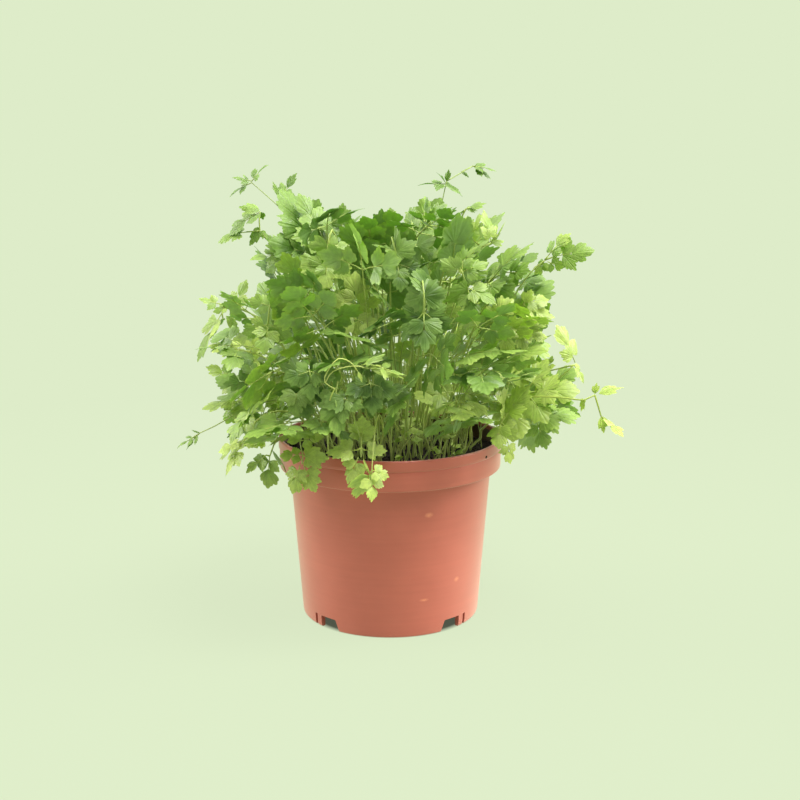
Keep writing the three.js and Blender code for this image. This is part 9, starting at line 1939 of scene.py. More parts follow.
      [1,1, -17.1,-74,211.5, -0.91,0.14,0.39,0.27,0.91,0.31, 17.6,16.2],
      [2,1, -10.4,-76.6,210.8, 0.82,-0.53,0.2,0.57,0.79,-0.21, 17.6,16.2]]],
    ['x_89', 0.85, [
      [-1,0,[33.7,-26.7,97.6],[35.4,-29.3,117],[37.4,-33.6,136.3],[40.4,-38.9,153.8],[45.4,-44.2,168.2],[53.3,-48.9,177.9],[64.9,-52.1,181.4],[71.6,-53.2,181.4]],
      [0,6,[64.9,-52.1,181.4],[66.2,-55.3,183.4]],
      [0,6,[64.9,-52.1,181.4],[67.1,-49.4,179.4]]], [
      [0,7, 71.6,-53.2,181.4, 0.98,-0.16,-0.13,0.18,0.43,0.88, 13.9,13.2],
      [1,1, 66.2,-55.3,183.4, 0.34,-0.86,0.39,0.48,0.51,0.71, 15.6,14.3],
      [2,1, 67.1,-49.4,179.4, 0.52,0.63,-0.58,0.17,0.58,0.79, 15.6,14.3]]],
    ['x_90', 0.21, [
      [-1,0,[-40.6,-21.6,97.6],[-43.8,-22.4,112.8],[-48.6,-23.6,127.8],[-54.9,-25.2,141.4],[-62.5,-27.4,152.7],[-71.5,-30.5,160.5],[-81.9,-34.5,163.8],[-88.1,-37,164.2]],
      [0,6,[-81.9,-34.5,163.8],[-84.7,-32,165.1]],
      [0,6,[-81.9,-34.5,163.8],[-82.3,-38.3,162.7]]], [
      [0,7, -88.1,-37,164.2, -0.92,-0.38,-0.06,-0.08,0.05,1, 15.8,15],
      [1,1, -84.7,-32,165.1, -0.74,0.64,0.21,-0.43,-0.69,0.58, 17.8,16.3],
      [2,1, -82.3,-38.3,162.7, -0.1,-0.92,-0.37,0.28,-0.39,0.88, 17.8,16.3]]],
    ['x_91', 0.38, [
      [-1,0,[17.8,-33.8,97.6],[19.2,-36.5,112.8],[20.8,-40.7,127.5],[23.3,-46,140.8],[27.3,-51.9,152],[33.2,-57.9,160.1],[41.7,-63.6,164.5],[48.2,-67.1,165.8]],
      [0,6,[41.7,-63.6,164.5],[41.5,-67.6,165.1]],
      [0,6,[41.7,-63.6,164.5],[45,-61.3,164.5]]], [
      [0,7, 48.2,-67.1,165.8, 0.88,-0.47,0.07,-0.1,-0.05,0.99, 22.3,21.1],
      [1,1, 41.5,-67.6,165.1, -0.05,-1,0.03,-0.25,0.04,0.97, 20,18.4],
      [2,1, 45,-61.3,164.5, 0.82,0.57,-0.1,-0.21,0.46,0.86, 20,18.4]]],
    ['x_92', 0.6, [
      [-1,0,[-17.8,20.8,97.6],[-18.9,21.9,118.5],[-21.1,24.4,133],[-23.9,27.5,141.1],[-26.9,30.8,143],[-29.6,33.8,138.9],[-31.5,35.9,128.8],[-36.1,47.6,125.7],[-38.1,52.8,124]],
      [0,7,[-36.1,47.6,125.7],[-34.3,50,125]],
      [0,7,[-36.1,47.6,125.7],[-39,48.3,125.7]],
      [0,6,[-31.5,35.9,128.8],[-27.5,38.8,127.9]],
      [0,6,[-31.5,35.9,128.8],[-36.4,35.6,129.2]]], [
      [0,8, -38.1,52.8,124, -0.35,0.89,-0.3,-0.22,0.23,0.95, 21.2,20.1],
      [1,1, -34.3,50,125, 0.57,0.76,-0.33,-0.02,0.41,0.91, 17.4,16],
      [2,1, -39,48.3,125.7, -0.97,0.21,-0.1,0,0.42,0.91, 17.4,16],
      [3,1, -27.5,38.8,127.9, 0.76,0.57,-0.3,0.2,0.23,0.95, 20.1,18.5],
      [4,1, -36.4,35.6,129.2, -1,-0.06,-0.04,-0.07,0.85,0.52, 20.1,18.5]]],
    ['x_93', 0.38, [
      [-1,0,[19.5,38.4,97.6],[20.7,40.7,119.5],[23.2,45.5,132.8],[26.5,51.6,138.2],[29.9,58.1,136.3],[33,64,127.9],[35.2,68.1,113.7],[41.5,77.7,108],[44.2,81.9,105.3]],
      [0,7,[41.5,77.7,108],[43.9,77.4,106.2]],
      [0,7,[41.5,77.7,108],[40.8,80.6,108.5]],
      [0,6,[35.2,68.1,113.7],[38.9,66.2,110.9]],
      [0,6,[35.2,68.1,113.7],[33,72.3,115.3]]], [
      [0,8, 44.2,81.9,105.3, 0.48,0.73,-0.49,0.76,-0.06,0.65, 17.3,16.4],
      [1,1, 43.9,77.4,106.2, 0.74,-0.11,-0.67,0.68,0.13,0.73, 14.2,13.1],
      [2,1, 40.8,80.6,108.5, -0.25,0.97,0.05,0.79,0.17,0.58, 14.2,13.1],
      [3,1, 38.9,66.2,110.9, 0.69,-0.37,-0.63,0.52,-0.35,0.78, 16.4,15.1],
      [4,1, 33,72.3,115.3, -0.46,0.86,0.21,0.82,0.32,0.48, 16.4,15.1]]],
    ['x_94', 0.8, [
      [-1,0,[14.8,35.1,97.6],[15.8,38.8,112.9],[16.9,44.9,126.8],[18.7,52.3,139.3],[21.7,60,150.3],[26.6,67.1,160],[34,72.7,168.2],[44.5,78,176.3],[49.6,80.6,179.9]],
      [0,7,[44.5,78,176.3],[47.4,77.1,176.2]],
      [0,7,[44.5,78,176.3],[44,80.1,178.4]],
      [0,6,[34,72.7,168.2],[38.2,70.4,166.9]],
      [0,6,[34,72.7,168.2],[31.8,76,171.2]]], [
      [0,8, 49.6,80.6,179.9, 0.76,0.39,0.52,-0.14,-0.69,0.71, 17.2,16.4],
      [1,1, 47.4,77.1,176.2, 0.94,-0.29,-0.16,0.03,-0.4,0.91, 14.1,13],
      [2,1, 44,80.1,178.4, -0.2,0.75,0.63,0.24,-0.59,0.77, 14.1,13],
      [3,1, 38.2,70.4,166.9, 0.82,-0.44,-0.36,-0.41,-0.9,0.17, 16.4,15.1],
      [4,1, 31.8,76,171.2, -0.48,0.71,0.51,-0.15,-0.64,0.75, 16.4,15.1]]],
    ['x_95', 0.42, [
      [-1,0,[4.1,26.8,97.6],[5.8,30.7,109],[9,36.8,119.8],[12.6,44.3,129.6],[15.4,53,137.9],[16.3,62.1,144.4],[14.3,71.3,148.7],[11.5,77.7,150.9]],
      [0,6,[14.3,71.3,148.7],[16.4,73.3,151.5]],
      [0,6,[14.3,71.3,148.7],[10.9,72.5,147]]], [
      [0,7, 11.5,77.7,150.9, -0.39,0.9,0.19,-0.01,-0.21,0.98, 21.5,20.5],
      [1,1, 16.4,73.3,151.5, 0.56,0.54,0.63,-0.59,-0.27,0.76, 19.4,17.8],
      [2,1, 10.9,72.5,147, -0.81,0.27,-0.52,-0.59,-0.32,0.74, 19.4,17.8]]],
    ['x_96', 0.95, [
      [-1,0,[0.9,-13,97.6],[1.7,-14.1,122.2],[3.2,-15.6,143.9],[4.8,-17.6,163.2],[6,-20.4,180.9],[6.1,-23.9,197.7],[4.8,-28.4,214.3],[3.7,-30.7,221.9]],
      [0,6,[4.8,-28.4,214.3],[1.3,-27.4,216]],
      [0,6,[4.8,-28.4,214.3],[7.8,-30.5,216]]], [
      [0,7, 3.7,-30.7,221.9, -0.15,-0.32,0.93,0.39,0.85,0.36, 16,15.2],
      [1,1, 1.3,-27.4,216, -0.91,0.26,0.32,0.32,0.94,0.15, 18,16.6],
      [2,1, 7.8,-30.5,216, 0.79,-0.53,0.32,0.54,0.84,0.08, 18,16.6]]],
    ['x_97', 0.16, [
      [-1,0,[-7.1,32.8,97.6],[-9.8,36.7,113.6],[-14.1,42.6,127.7],[-19.3,50.1,140.3],[-24.8,58.7,151.7],[-29.8,67.7,162.3],[-33.7,76.7,172.5],[-35.1,80.7,177]],
      [0,6,[-33.7,76.7,172.5],[-31,79.6,173.2]],
      [0,6,[-33.7,76.7,172.5],[-37.2,76.1,174.4]]], [
      [0,7, -35.1,80.7,177, -0.24,0.7,0.67,0.71,-0.34,0.62, 21,19.9],
      [1,1, -31,79.6,173.2, 0.68,0.73,0.06,0.43,-0.46,0.77, 18.9,17.4],
      [2,1, -37.2,76.1,174.4, -0.91,-0.15,0.37,0.38,-0.67,0.64, 18.9,17.4]]],
    ['x_98', 0.15, [
      [-1,0,[-22.2,-17.1,97.6],[-23,-19.2,119],[-24.8,-23.3,132.9],[-27,-28.7,139.8],[-29.3,-34.4,140],[-31.4,-39.5,134],[-32.9,-43.2,122.1],[-34.8,-49.8,123]],
      [0,6,[-32.9,-43.2,122.1],[-36.6,-43.8,123.6]],
      [0,6,[-32.9,-43.2,122.1],[-30.3,-46,121]]], [
      [0,7, -34.8,-49.8,123, -0.27,-0.96,0.02,0.01,0.02,1, 16.2,15.4],
      [1,1, -36.6,-43.8,123.6, -0.95,-0.16,0.27,0.27,0.04,0.96, 14.6,13.4],
      [2,1, -30.3,-46,121, 0.65,-0.67,-0.37,0.45,-0.05,0.89, 14.6,13.4]]],
    ['x_99', 0.63, [
      [-1,0,[11.4,7.5,97.6],[12.7,8.9,113.4],[14.9,11.2,127.3],[17.5,14,139.6],[20.3,17.2,150.9],[22.9,20.5,161.8],[25,23.9,172.7],[25.8,25.4,178]],
      [0,6,[25,23.9,172.7],[28.4,25.8,173.5]],
      [0,6,[25,23.9,172.7],[22.2,22.9,175.3]]], [
      [0,7, 25.8,25.4,178, 0.17,0.31,0.93,0.32,-0.92,0.25, 15.6,14.8],
      [1,1, 28.4,25.8,173.5, 0.86,0.5,0.07,0.51,-0.86,-0.02, 14,12.9],
      [2,1, 22.2,22.9,175.3, -0.77,-0.27,0.58,0.5,-0.81,0.29, 14,12.9]]],
    ['x_100', 0.52, [
      [-1,0,[-24.6,-24.3,97.6],[-26.6,-26.3,119.2],[-30.5,-30.5,132.9],[-35.6,-35.9,139.2],[-41,-41.6,138.7],[-45.9,-46.8,131.8],[-49.4,-50.5,119.1],[-56.7,-54.8,119.2]],
      [0,6,[-49.4,-50.5,119.1],[-52.7,-48.4,118]],
      [0,6,[-49.4,-50.5,119.1],[-49.2,-54.3,120.2]]], [
      [0,7, -56.7,-54.8,119.2, -0.86,-0.51,-0.11,-0.32,0.36,0.88, 23,21.8],
      [1,1, -52.7,-48.4,118, -0.79,0.48,-0.37,-0.31,0.21,0.93, 20.7,19],
      [2,1, -49.2,-54.3,120.2, 0.05,-0.99,0.16,0.15,0.17,0.97, 20.7,19]]],
]

# ------------------------------------------------------------------ leaves
# leaflet width and yellowness of leaves that differ from their table: some are seen edge-on at the outline
LOOKS = {
    "parsley_leaf_35": (0.48, 0.16), "parsley_leaf_22": (0.55, 0.14), "parsley_leaf_34": (0.74, 0.30),
    "parsley_leaf_37": (0.30, 0.22), "parsley_leaf_39": (0.60, 0.52), "parsley_leaf_14": (0.74, 0.72),
    "parsley_leaf_15": (0.86, 0.46), "parsley_leaf_08": (0.80, 0.86), "parsley_leaf_44": (1.0, 0.42),
    "parsley_leaf_26": (1.0, 0.26), "parsley_leaf_09": (1.0, 0.34), "parsley_leaf_16": (1.0, 0.44),
    "parsley_leaf_21": (1.0, 0.52), "parsley_leaf_06": (1.0, 0.60), "parsley_leaf_55": (0.38, 0.50),
    "parsley_leaf_50": (1.0, 0.24), "parsley_leaf_33": (1.0, 0.20), "parsley_leaf_41": (1.0, 0.10),
    "parsley_leaf_45": (0.60, 0.52),
}
THIN = ("parsley_leaf_56", "parsley_leaf_55", "parsley_leaf_37", "parsley_leaf_35", "parsley_leaf_22")
for index, row in enumerate(LEAVES):
    rnd = random.Random(1000 + index)
    skin = Skin()
    if row[0] in LOOKS:
        wide, tone = LOOKS[row[0]]
        row = [row[0], tone, row[2], [[*pin[:-1], pin[-1] * wide] for pin in row[3]]]
    grow(skin, row, rnd, fine=True, grow_by=1.06, stalk_bow=3.6, stalk_scale=0.62 if row[0] in THIN else 1.0)
    leaf = skin.build(row[0] + "_looks", [MAT_LEAF, MAT_STALK])
    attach(leaf, "root")
    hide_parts(row[0])

# young leaves between the large ones, in eight sectors around the pot; some are darker than their table says
DARKER = {"x_25": 0.16, "x_77": 0.24, "x_96": 0.28, "x_19": 0.24, "x_52": 0.34, "x_62": 0.04, "x_76": 0.24, "x_47": 0.34,
          "x_56": 0.06, "x_46": 0.34}
LEFT_OUT = ("x_09", "x_26", "x_82")        # these would close the gaps at the left of the middle
SECTORS = 8
sector_skins = [Skin() for _ in range(SECTORS)]
for index, row in enumerate(SMALL):
    if row[0] in LEFT_OUT:
        continue
    rnd = random.Random(5000 + index)
    row = [row[0], DARKER.get(row[0], min(row[1], 0.58)), row[2], row[3]]
    x, y = row[2][0][2][0], row[2][0][2][1]
    which = int((math.atan2(x, -y) % (2 * math.pi)) / (2 * math.pi) * SECTORS) % SECTORS
    grow(sector_skins[which], row, rnd, fine=False, stalk_scale=0.62, grow_by=1.16, stalk_bow=4.2)
# broad leaves low in the middle of the front, each of three hanging leaflets: node, leaflet length, tone
FRONT = (
    ((-40.8, -82, 158.2), 15.0, 0.16), ((-9.5, -84, 152.2), 16.5, 0.06), ((-23.2, -86, 144.6), 13.0, 0.24),
    ((1.8, -78, 148.0), 12.5, 0.14), ((-48.6, -74, 144.5), 12.0, 0.36),
)
for index, (node, size, tone) in enumerate(FRONT):
    rnd = random.Random(8800 + index)
    x, y, z = node
    stalk = [[x * 0.55, y * 0.62, 95.0], [x * 0.70, y * 0.80, 95 + (z - 95) * 0.55], [x * 0.92, y * 0.96, z - 1.5], [x, y, z]]
    pins = []
    for side in (0, -1, 1):
        d = unit(np.array([side * 0.85 + rnd.uniform(-0.12, 0.12), -0.22, -0.95 if side == 0 else -0.30]))
        n = unit(np.array([rnd.uniform(-0.15, 0.15) + side * 0.2, -0.93, 0.30]))
        long = size * (1.0 if side == 0 else rnd.uniform(0.82, 0.95))
        pins.append([0, 3, x, y, z, *d, *n, long, long * 0.95])
    grow(sector_skins[0 if x >= 0 else 7], ["f", tone, [[-1, 0, *stalk]], pins], rnd, fine=True, stalk_scale=0.6, stalk_bow=1.0)
for which, skin in enumerate(sector_skins):
    if skin.n:
        young = skin.build("young_leaves_%d" % (which + 1), [MAT_LEAF, MAT_STALK])
        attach(young, "root")


def pale_stem(skin, points, r0, r1, tone):
    path, where = smooth_path(points, 2.5)
    f = np.array(where) / (len(points) - 1)
    tube(skin, path, r0 + (r1 - r0) * f, 6, tone, np.clip((125 - path[:, 2]) / 40.0, 0, 1), 1)
    return unit(path[-1] - path[-2])


# a pale tendril that climbs in front of the leaves and bends over into a narrow leaf
tendril = Skin()
pale_stem(tendril, [(-33, -48, 94.5), (-33.2, -57, 110), (-32, -76, 130), (-30.4, -87, 143.5), (-27.4, -92, 151.3)], 0.42, 0.34, 0.62)
pale_stem(tendril, [(-27.4, -92, 150.8), (-32.5, -92, 154.4), (-31.3, -93, 159.8), (-25.7, -93, 166.5), (-19.7, -92, 164.8),
                    (-15.7, -91, 159.7)], 0.34, 0.26, 0.80)
pale_stem(tendril, [(-32.3, -92, 154.0), (-28.3, -92.5, 160.0), (-18.2, -91.5, 162.6), (-10, -91, 161.2)], 0.32, 0.26, 0.80)
for start, to, size, wide in (((-10, -91, 161.2), (0.98, 0.05, -0.19), 18.5, 4.2), ((-10.5, -91, 161.2), (0.92, -0.10, 0.36), 7.0, 2.4),
                              ((-15.7, -91, 159.7), (0.45, -0.1, -0.9), 6.0, 2.4)):
    dd = unit(np.array(to, float))
    blade(tendril, [*start, *dd, *unit(np.cross(dd, [0.2, 1.0, 0.1]) + np.array([0, -0.7, 0.35])), size, wide], 0.80,
          random.Random(77), fine=True, slim=True)
tendril_piece = tendril.build("tendril", [MAT_LEAF, MAT_STALK])
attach(tendril_piece, "root")

# seedlings and thin shoots that stand in the open part of the pot, at the right of the front
rnd = random.Random(4711)
shoots = Skin()
for index in range(58):
    x = rnd.uniform(-4, 42)
    y = -rnd.uniform(12, math.sqrt(max(200.0, 55.0 ** 2 - x * x)))
    high = rnd.uniform(7, 34) if x < 34 else rnd.uniform(5, 14)
    painted_shade_depth = 0.0
    if index >= 46:
        # taller ones that stand behind, at the right, darkened with painted shade for the shaded far side of the pot
        x, y, high, painted_shade_depth = rnd.uniform(38, 54), rnd.uniform(-8, 24), rnd.uniform(16, 34), 0.55
    elif index >= 34:
        a = rnd.uniform(0.3, 5.0)
        x, y, high = 54 * math.cos(a) * rnd.uniform(0.4, 1), 54 * math.sin(a) * rnd.uniform(0.4, 1), rnd.uniform(6, 20)
    elif x > 26 and rnd.random() < 0.55:
        continue
    lean = np.array([rnd.uniform(-0.5, 0.5), rnd.uniform(-0.5, 0.3), 0.0]) * high
    foot = np.array([x, y, 94.5])
    keep = 58.5 / max(58.5, float(np.hypot(x + lean[0], y + lean[1])))
    lean[:2] = (foot[:2] + lean[:2]) * keep - foot[:2]
    tip = foot + lean + np.array([0, 0, high])
    # the tone of the clump behind is lowered by its painted shade
    tone = rnd.uniform(0.45, 0.95) - painted_shade_depth
    along = pale_stem(shoots, [foot, foot + lean * 0.25 + np.array([rnd.uniform(-1, 1), 0, high * 0.5]), tip], 0.34, 0.22, tone)
    turn = rnd.uniform(0, 6.28)
    for j in range(rnd.choice((2, 3, 3))):
        a = turn + j * 2.1 + rnd.uniform(-0.3, 0.3)
        dd = unit(np.array([math.cos(a), math.sin(a), rnd.uniform(-0.3, 0.7)]) + 0.4 * along)
        size = rnd.uniform(3.6, 7.5) * (1.0 + 0.5 * painted_shade_depth)
        blade(shoots, [*(tip - dd * 0.1), *dd, *unit(np.array([0, 0, 1.0]) - dd * dd[2] + 0.3 * np.array([rnd.uniform(-1, 1), -1, 0])),
                       size, size * rnd.uniform(0.6, 0.95)], tone, rnd, fine=False)
shoots_piece = shoots.build("seedlings", [MAT_LEAF, MAT_STALK])
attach(shoots_piece, "root")


# ------------------------------------------------------------------ pot
def lathe(profile, segments, closed=True):
    """Turned body from a closed profile of (radius, height), counter-clockwise with +r to the right."""
    n = len(profile)
    verts, faces = [], []
    ring_of = []
    for r, z in profile:
        if r < 1e-6:
            ring_of.append([len(verts)] * segments)
            verts.append((0, 0, z))
        else:
            ring_of.append(list(range(len(verts), len(verts) + segments)))
            for j in range(segments):
                a = 2 * math.pi * j / segments
                verts.append((r * math.cos(a), r * math.sin(a), z))
    pairs = list(range(n)) if closed else list(range(n - 1))
    for i in pairs:
        a, b = ring_of[i], ring_of[(i + 1) % n]
        if a[0] == a[1] and b[0] == b[1]:
            continue
        for j in range(segments):
            k = (j + 1) % segments
            if a[j] == a[k]:
                faces.append((a[j], b[k], b[j]))
            elif b[j] == b[k]:
                faces.append((a[j], a[k], b[j]))
            else:
                faces.append((a[j], a[k], b[k], b[j]))
    return verts, faces


def arc(cx, cz, r, a0, a1, n):
    """Points of an arc in the profile plane, angles in degrees."""
    return [(cx + r * math.cos(math.radians(a0 + (a1 - a0) * i / n)),
             cz + r * math.sin(math.radians(a0 + (a1 - a0) * i / n))) for i in range(n + 1)]


H, RIM, BAND, BAND_Z, NECK, FOOT = 105.5, 65.0, 64.4, 88.2, 58.6, 51.9
WALL, FLOOR_Z, RING = 1.2, 7.6, 2.6


def body_r(z):
    return FOOT + (NECK - FOOT) * z / (BAND_Z - 1)


profile = [(0, FLOOR_Z), (FOOT - RING - 0.8, FLOOR_Z), (FOOT - RING - 0.2, FLOOR_Z - 0.3), (FOOT - RING, FLOOR_Z - 0.9)]
profile += [(FOOT - RING, 0.3), (FOOT - RING + 0.3, 0.0), (FOOT - 1.0, 0.0)]
profile += arc(FOOT - 0.9, 0.9, 0.9, -80, -5, 5)
profile += [(body_r(z), z) for z in (2.5, 5, 10, 20, 30, 40, 50, 60, 70, 78, 83, 85.4)]
profile += [(NECK + 0.05, 86.6), (NECK + 0.5, 87.35), (NECK + 1.3, 87.75), (BAND - 2.0, 87.95)]
profile += arc(BAND - 0.9, BAND_Z + 0.75, 0.9, -90, -5, 5)
profile += [(BAND + 0.02, 92), (BAND + 0.04, 96), (BAND + 0.04, 98.4)]
profile += [(BAND - 0.10, 98.9), (BAND - 0.10, 99.2), (BAND + 0.15, 99.45), (RIM - 0.25, 99.62), (RIM - 0.02, 99.95)]
profile += [(RIM, 101.5), (RIM, 104.2)]
profile += arc(RIM - 0.85, H - 0.85, 0.85, 0, 90, 6)
profile += [(RIM - 1.5, H - 0.02)] + arc(RIM - 1.55, H - 0.6, 0.58, 90, 180, 4)
profile += [(RIM - WALL - 0.95, H - 2.0), (BAND - WALL - 0.6, 97), (BAND - WALL - 0.6, BAND_Z + 3.2),
            (BAND - WALL - 1.4, BAND_Z + 1.6), (NECK - WALL + 0.4, BAND_Z - 0.4), (NECK - WALL, BAND_Z - 1.8)]
profile += [(FOOT - WALL + 0.5, FLOOR_Z + WALL + 0.6), (FOOT - WALL - 0.2, FLOOR_Z + WALL), (0, FLOOR_Z + WALL)]
verts, faces = lathe(profile, 144, closed=False)


def mesh_object(name, verts, faces):
    me = bpy.data.meshes.new(name)
    me.from_pydata([tuple(c * MM for c in v) for v in verts], [], faces)
    me.update()
    o = bpy.data.objects.new(name, me)
    bpy.context.scene.collection.objects.link(o)
    return o


def prism(points, depth, near, turn):
    """A prism through the foot skirt: points are (across, height), pushed from radius near outwards."""
    n = len(points)
    c, s = math.cos(turn), math.sin(turn)
    vs = []
    for y in (-near, -near - depth):
        for x, z in points:
            vs.append((x * c - y * s, x * s + y * c, z))
    fs = [tuple(range(n))[::-1], tuple(range(n, 2 * n))]
    for i in range(n):
        j = (i + 1) % n
        fs.append((i, j, n + j, n + i))
    return vs, fs


def round_corner(points, r, n=3):
    """Rounds the corners of a polygon that lie above the foot."""
    out = []
    m = len(points)
    for i, (x, z) in enumerate(points):
        if z < 0:
            out.append((x, z))
            continue
        p0, p1, p2 = (Vector(points[i - 1]), Vector((x, z)), Vector(points[(i + 1) % m]))
        a, b = (p0 - p1).normalized(), (p2 - p1).normalized()
        for t in range(n + 1):
            u = t / n
            q = p1 + a * r * (1 - u) ** 2 + b * r * u ** 2
            out.append((q.x, q.y))
    return out


cv, cf = [], []
for deg in (-42.6, 42.6, 137.4, -137.4):
    turn = math.radians(deg)
    side = math.copysign(1, math.sin(turn)) * math.copysign(1, math.cos(turn))
    half, extra = 5.7, 2.6
    quad = [(-half - (side > 0) * extra, -1), (half + (side <= 0) * extra, -1), (half, 6.9), (-half, 6.9)]
    slit = [(-1.1, -1), (1.1, -1), (1.1, 6.9), (-1.1, 6.9)]
    for shape, ang in ((round_corner(quad, 0.8), turn), (round_corner(slit, 0.5), turn + math.radians(side * 11.6))):
        vs, fs = prism(shape, 9, FOOT - 5.6, ang)
        base = len(cv)
        cv += vs
        cf += [tuple(i + base for i in f) for f in fs]
for i in range(5):
    a = i * 2 * math.pi / 5 + 0.3
    hx, hy = 27.0 * math.cos(a), 27.0 * math.sin(a)
    base = len(cv)
    m = 24
    for z in (FLOOR_Z - 2, FLOOR_Z + 4):
        for j in range(m):
            cv.append((hx + 3.6 * math.cos(2 * math.pi * j / m), hy + 3.6 * math.sin(2 * math.pi * j / m), z))
    cf.append(tuple(base + j for j in range(m))[::-1])
    cf.append(tuple(base + m + j for j in range(m)))
    cf += [(base + j, base + (j + 1) % m, base + m + (j + 1) % m, base + m + j) for j in range(m)]

raw = mesh_object("pot_raw", verts, faces)
cutter = mesh_object("pot_cutter", cv, cf)
for o in (raw, cutter):
    bm = bmesh.new()
    bm.from_mesh(o.data)
    bmesh.ops.recalc_face_normals(bm, faces=bm.faces)
    bm.to_mesh(o.data)
    bm.free()
cut = raw.modifiers.new("cut", "BOOLEAN")
cut.operation = "DIFFERENCE"
cut.solver = "EXACT"
cut.object = cutter
bpy.context.view_layer.update()
made = bpy.data.meshes.new_from_object(raw.evaluated_get(bpy.context.evaluated_depsgraph_get()))
for o in (raw, cutter):
    bpy.data.objects.remove(o)
made.name = "pot_looks"
pot = bpy.data.objects.new("pot_looks", made)
bpy.context.scene.collection.objects.link(pot)
made.materials.clear()
made.materials.append(MAT_POT)
made.polygons.foreach_set("use_smooth", [True] * len(made.polygons))
made.set_sharp_from_angle(angle=math.radians(38))

# a small dark pit in the rim, at the right of the front
pit_turn = math.radians(55.9)
pit_at = Vector((RIM * math.sin(pit_turn), -RIM * math.cos(pit_turn), 100.9)) * MM
pv, pf = [], []
out_dir = Vector((math.sin(pit_turn), -math.cos(pit_turn), 0))
across = Vector((math.cos(pit_turn), math.sin(pit_turn), 0))
for ring, (r, lift) in enumerate(((0.95, 0.02), (0.7, 0.10), (0.35, 0.14))):
    for j in range(14):
        a = 2 * math.pi * j / 14
        wob = 1 + 0.16 * math.sin(2 * a + 0.7)
        q = pit_at + (across * math.cos(a) * r * wob + Vector((0, 0, 1)) * math.sin(a) * r * 0.9 + out_dir * lift) * MM
        pv.append(tuple(c / MM for c in q))
back = len(pv)
for j in range(14):
    a = 2 * math.pi * j / 14
    q = pit_at + (across * math.cos(a) * 0.8 + Vector((0, 0, 1)) * math.sin(a) * 0.7 - out_dir * 0.3) * MM
    pv.append(tuple(c / MM for c in q))
for ring in range(2):
    for j in range(14):
        k = (j + 1) % 14
        pf.append((ring * 14 + j, ring * 14 + k, (ring + 1) * 14 + k, (ring + 1) * 14 + j))
pf.append(tuple(28 + j for j in range(14)))
for j in range(14):
    k = (j + 1) % 14
    pf.append((back + j, back + k, k, j))
pf.append(tuple(back + j for j in range(14))[::-1])
speck = mesh_object("rim_speck", pv, pf)
speck.data.materials.append(MAT_SOIL)
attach(pot, "root")
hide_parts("pot")
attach(speck, "root")

# ------------------------------------------------------------------ potting medium
rnd = random.Random(31)
from mathutils import noise as mnoise

SOIL_TOP, SEGS = 97.0, 150
r_band = BAND - WALL - 0.6 - 0.3
sv, sf = [], []
radii = [0.0] + [r_band * (i / 56.0) for i in range(1, 56)] + [r_band - 0.4]


def soil_z(x, y, r):
    z = SOIL_TOP - 0.4 - 0.9 * (r / r_band) ** 2 + 0.3 * math.sin(x * 0.21 + 1.3) * math.cos(y * 0.17 - 0.6)
    z += 1.5 * mnoise.fractal(Vector((x * 0.16, y * 0.16, 3.1)), 0.8, 2.1, 5)
    z += 0.9 * mnoise.fractal(Vector((x * 0.55, y * 0.55, 9.7)), 0.7, 2.2, 4)
    return min(z, SOIL_TOP + 1.8)


sv.append((0, 0, soil_z(0, 0, 0)))
for r in radii[1:]:
    for j in range(SEGS):
        a = 2 * math.pi * j / SEGS
        x, y = r * math.cos(a), r * math.sin(a)
        sv.append((x, y, soil_z(x, y, r)))
for j in range(SEGS):
    sf.append((0, 1 + j, 1 + (j + 1) % SEGS))
for i in range(len(radii) - 2):
    for j in range(SEGS):
        k = (j + 1) % SEGS
        a, b = 1 + i * SEGS, 1 + (i + 1) * SEGS
        sf.append((a + j, b + j, b + k, a + k))
last = 1 + (len(radii) - 2) * SEGS
rows_down = [(r_band, SOIL_TOP - 3.5), (r_band, BAND_Z + 3.4), (NECK - WALL - 0.4, BAND_Z - 1.6),
             (FOOT - WALL + 0.1, FLOOR_Z + WALL + 0.5)]
for r, z in rows_down:
    base = len(sv)
    for j in range(SEGS):
        a = 2 * math.pi * j / SEGS
        sv.append((r * math.cos(a), r * math.sin(a), z))
    for j in range(SEGS):
        k = (j + 1) % SEGS
        sf.append((last + j, base + j, base + k, last + k))
    last = base
sv.append((0, 0, FLOOR_Z + WALL + 0.5))
for j in range(SEGS):
    sf.append((len(sv) - 1, last + (j + 1) % SEGS, last + j))
# crumbs of bark and peat lying on top
ico = []
for _ in range(1):
    bm = bmesh.new()
    bmesh.ops.create_icosphere(bm, subdivisions=1, radius=1.0)
    ico_v = [v.co.copy() for v in bm.verts]
    ico_f = [tuple(v.index for v in f.verts) for f in bm.faces]
    bm.free()
for c in range(520):
    r = (r_band - 2.0) * math.sqrt(rnd.random())
    a = rnd.uniform(0, 2 * math.pi)
    x, y = r * math.cos(a), r * math.sin(a)
    size = rnd.uniform(0.5, 1.5) if rnd.random() < 0.85 else rnd.uniform(1.4, 2.3)
    sx, sy, sz = size * rnd.uniform(0.7, 1.5), size * rnd.uniform(0.6, 1.1), size * rnd.uniform(0.4, 0.8)
    rot = Matrix.Rotation(rnd.uniform(0, 6.28), 3, "Z") @ Matrix.Rotation(rnd.uniform(-0.5, 0.5), 3, "X")
    z = soil_z(x, y, r) + sz * 0.35
    base = len(sv)
    for v in ico_v:
        q = rot @ Vector((v.x * sx, v.y * sy, v.z * sz)) * (1 + rnd.uniform(-0.18, 0.18))
        sv.append((x + q.x, y + q.y, z + q.z))
    sf += [tuple(i + base for i in f) for f in ico_f]
soil = mesh_object("soil_looks", sv, sf)
soil.data.materials.append(MAT_SOIL)
soil.data.polygons.foreach_set("use_smooth", [True] * len(soil.data.polygons))
soil.data.set_sharp_from_angle(angle=math.radians(50))
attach(soil, "root")
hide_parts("soil")

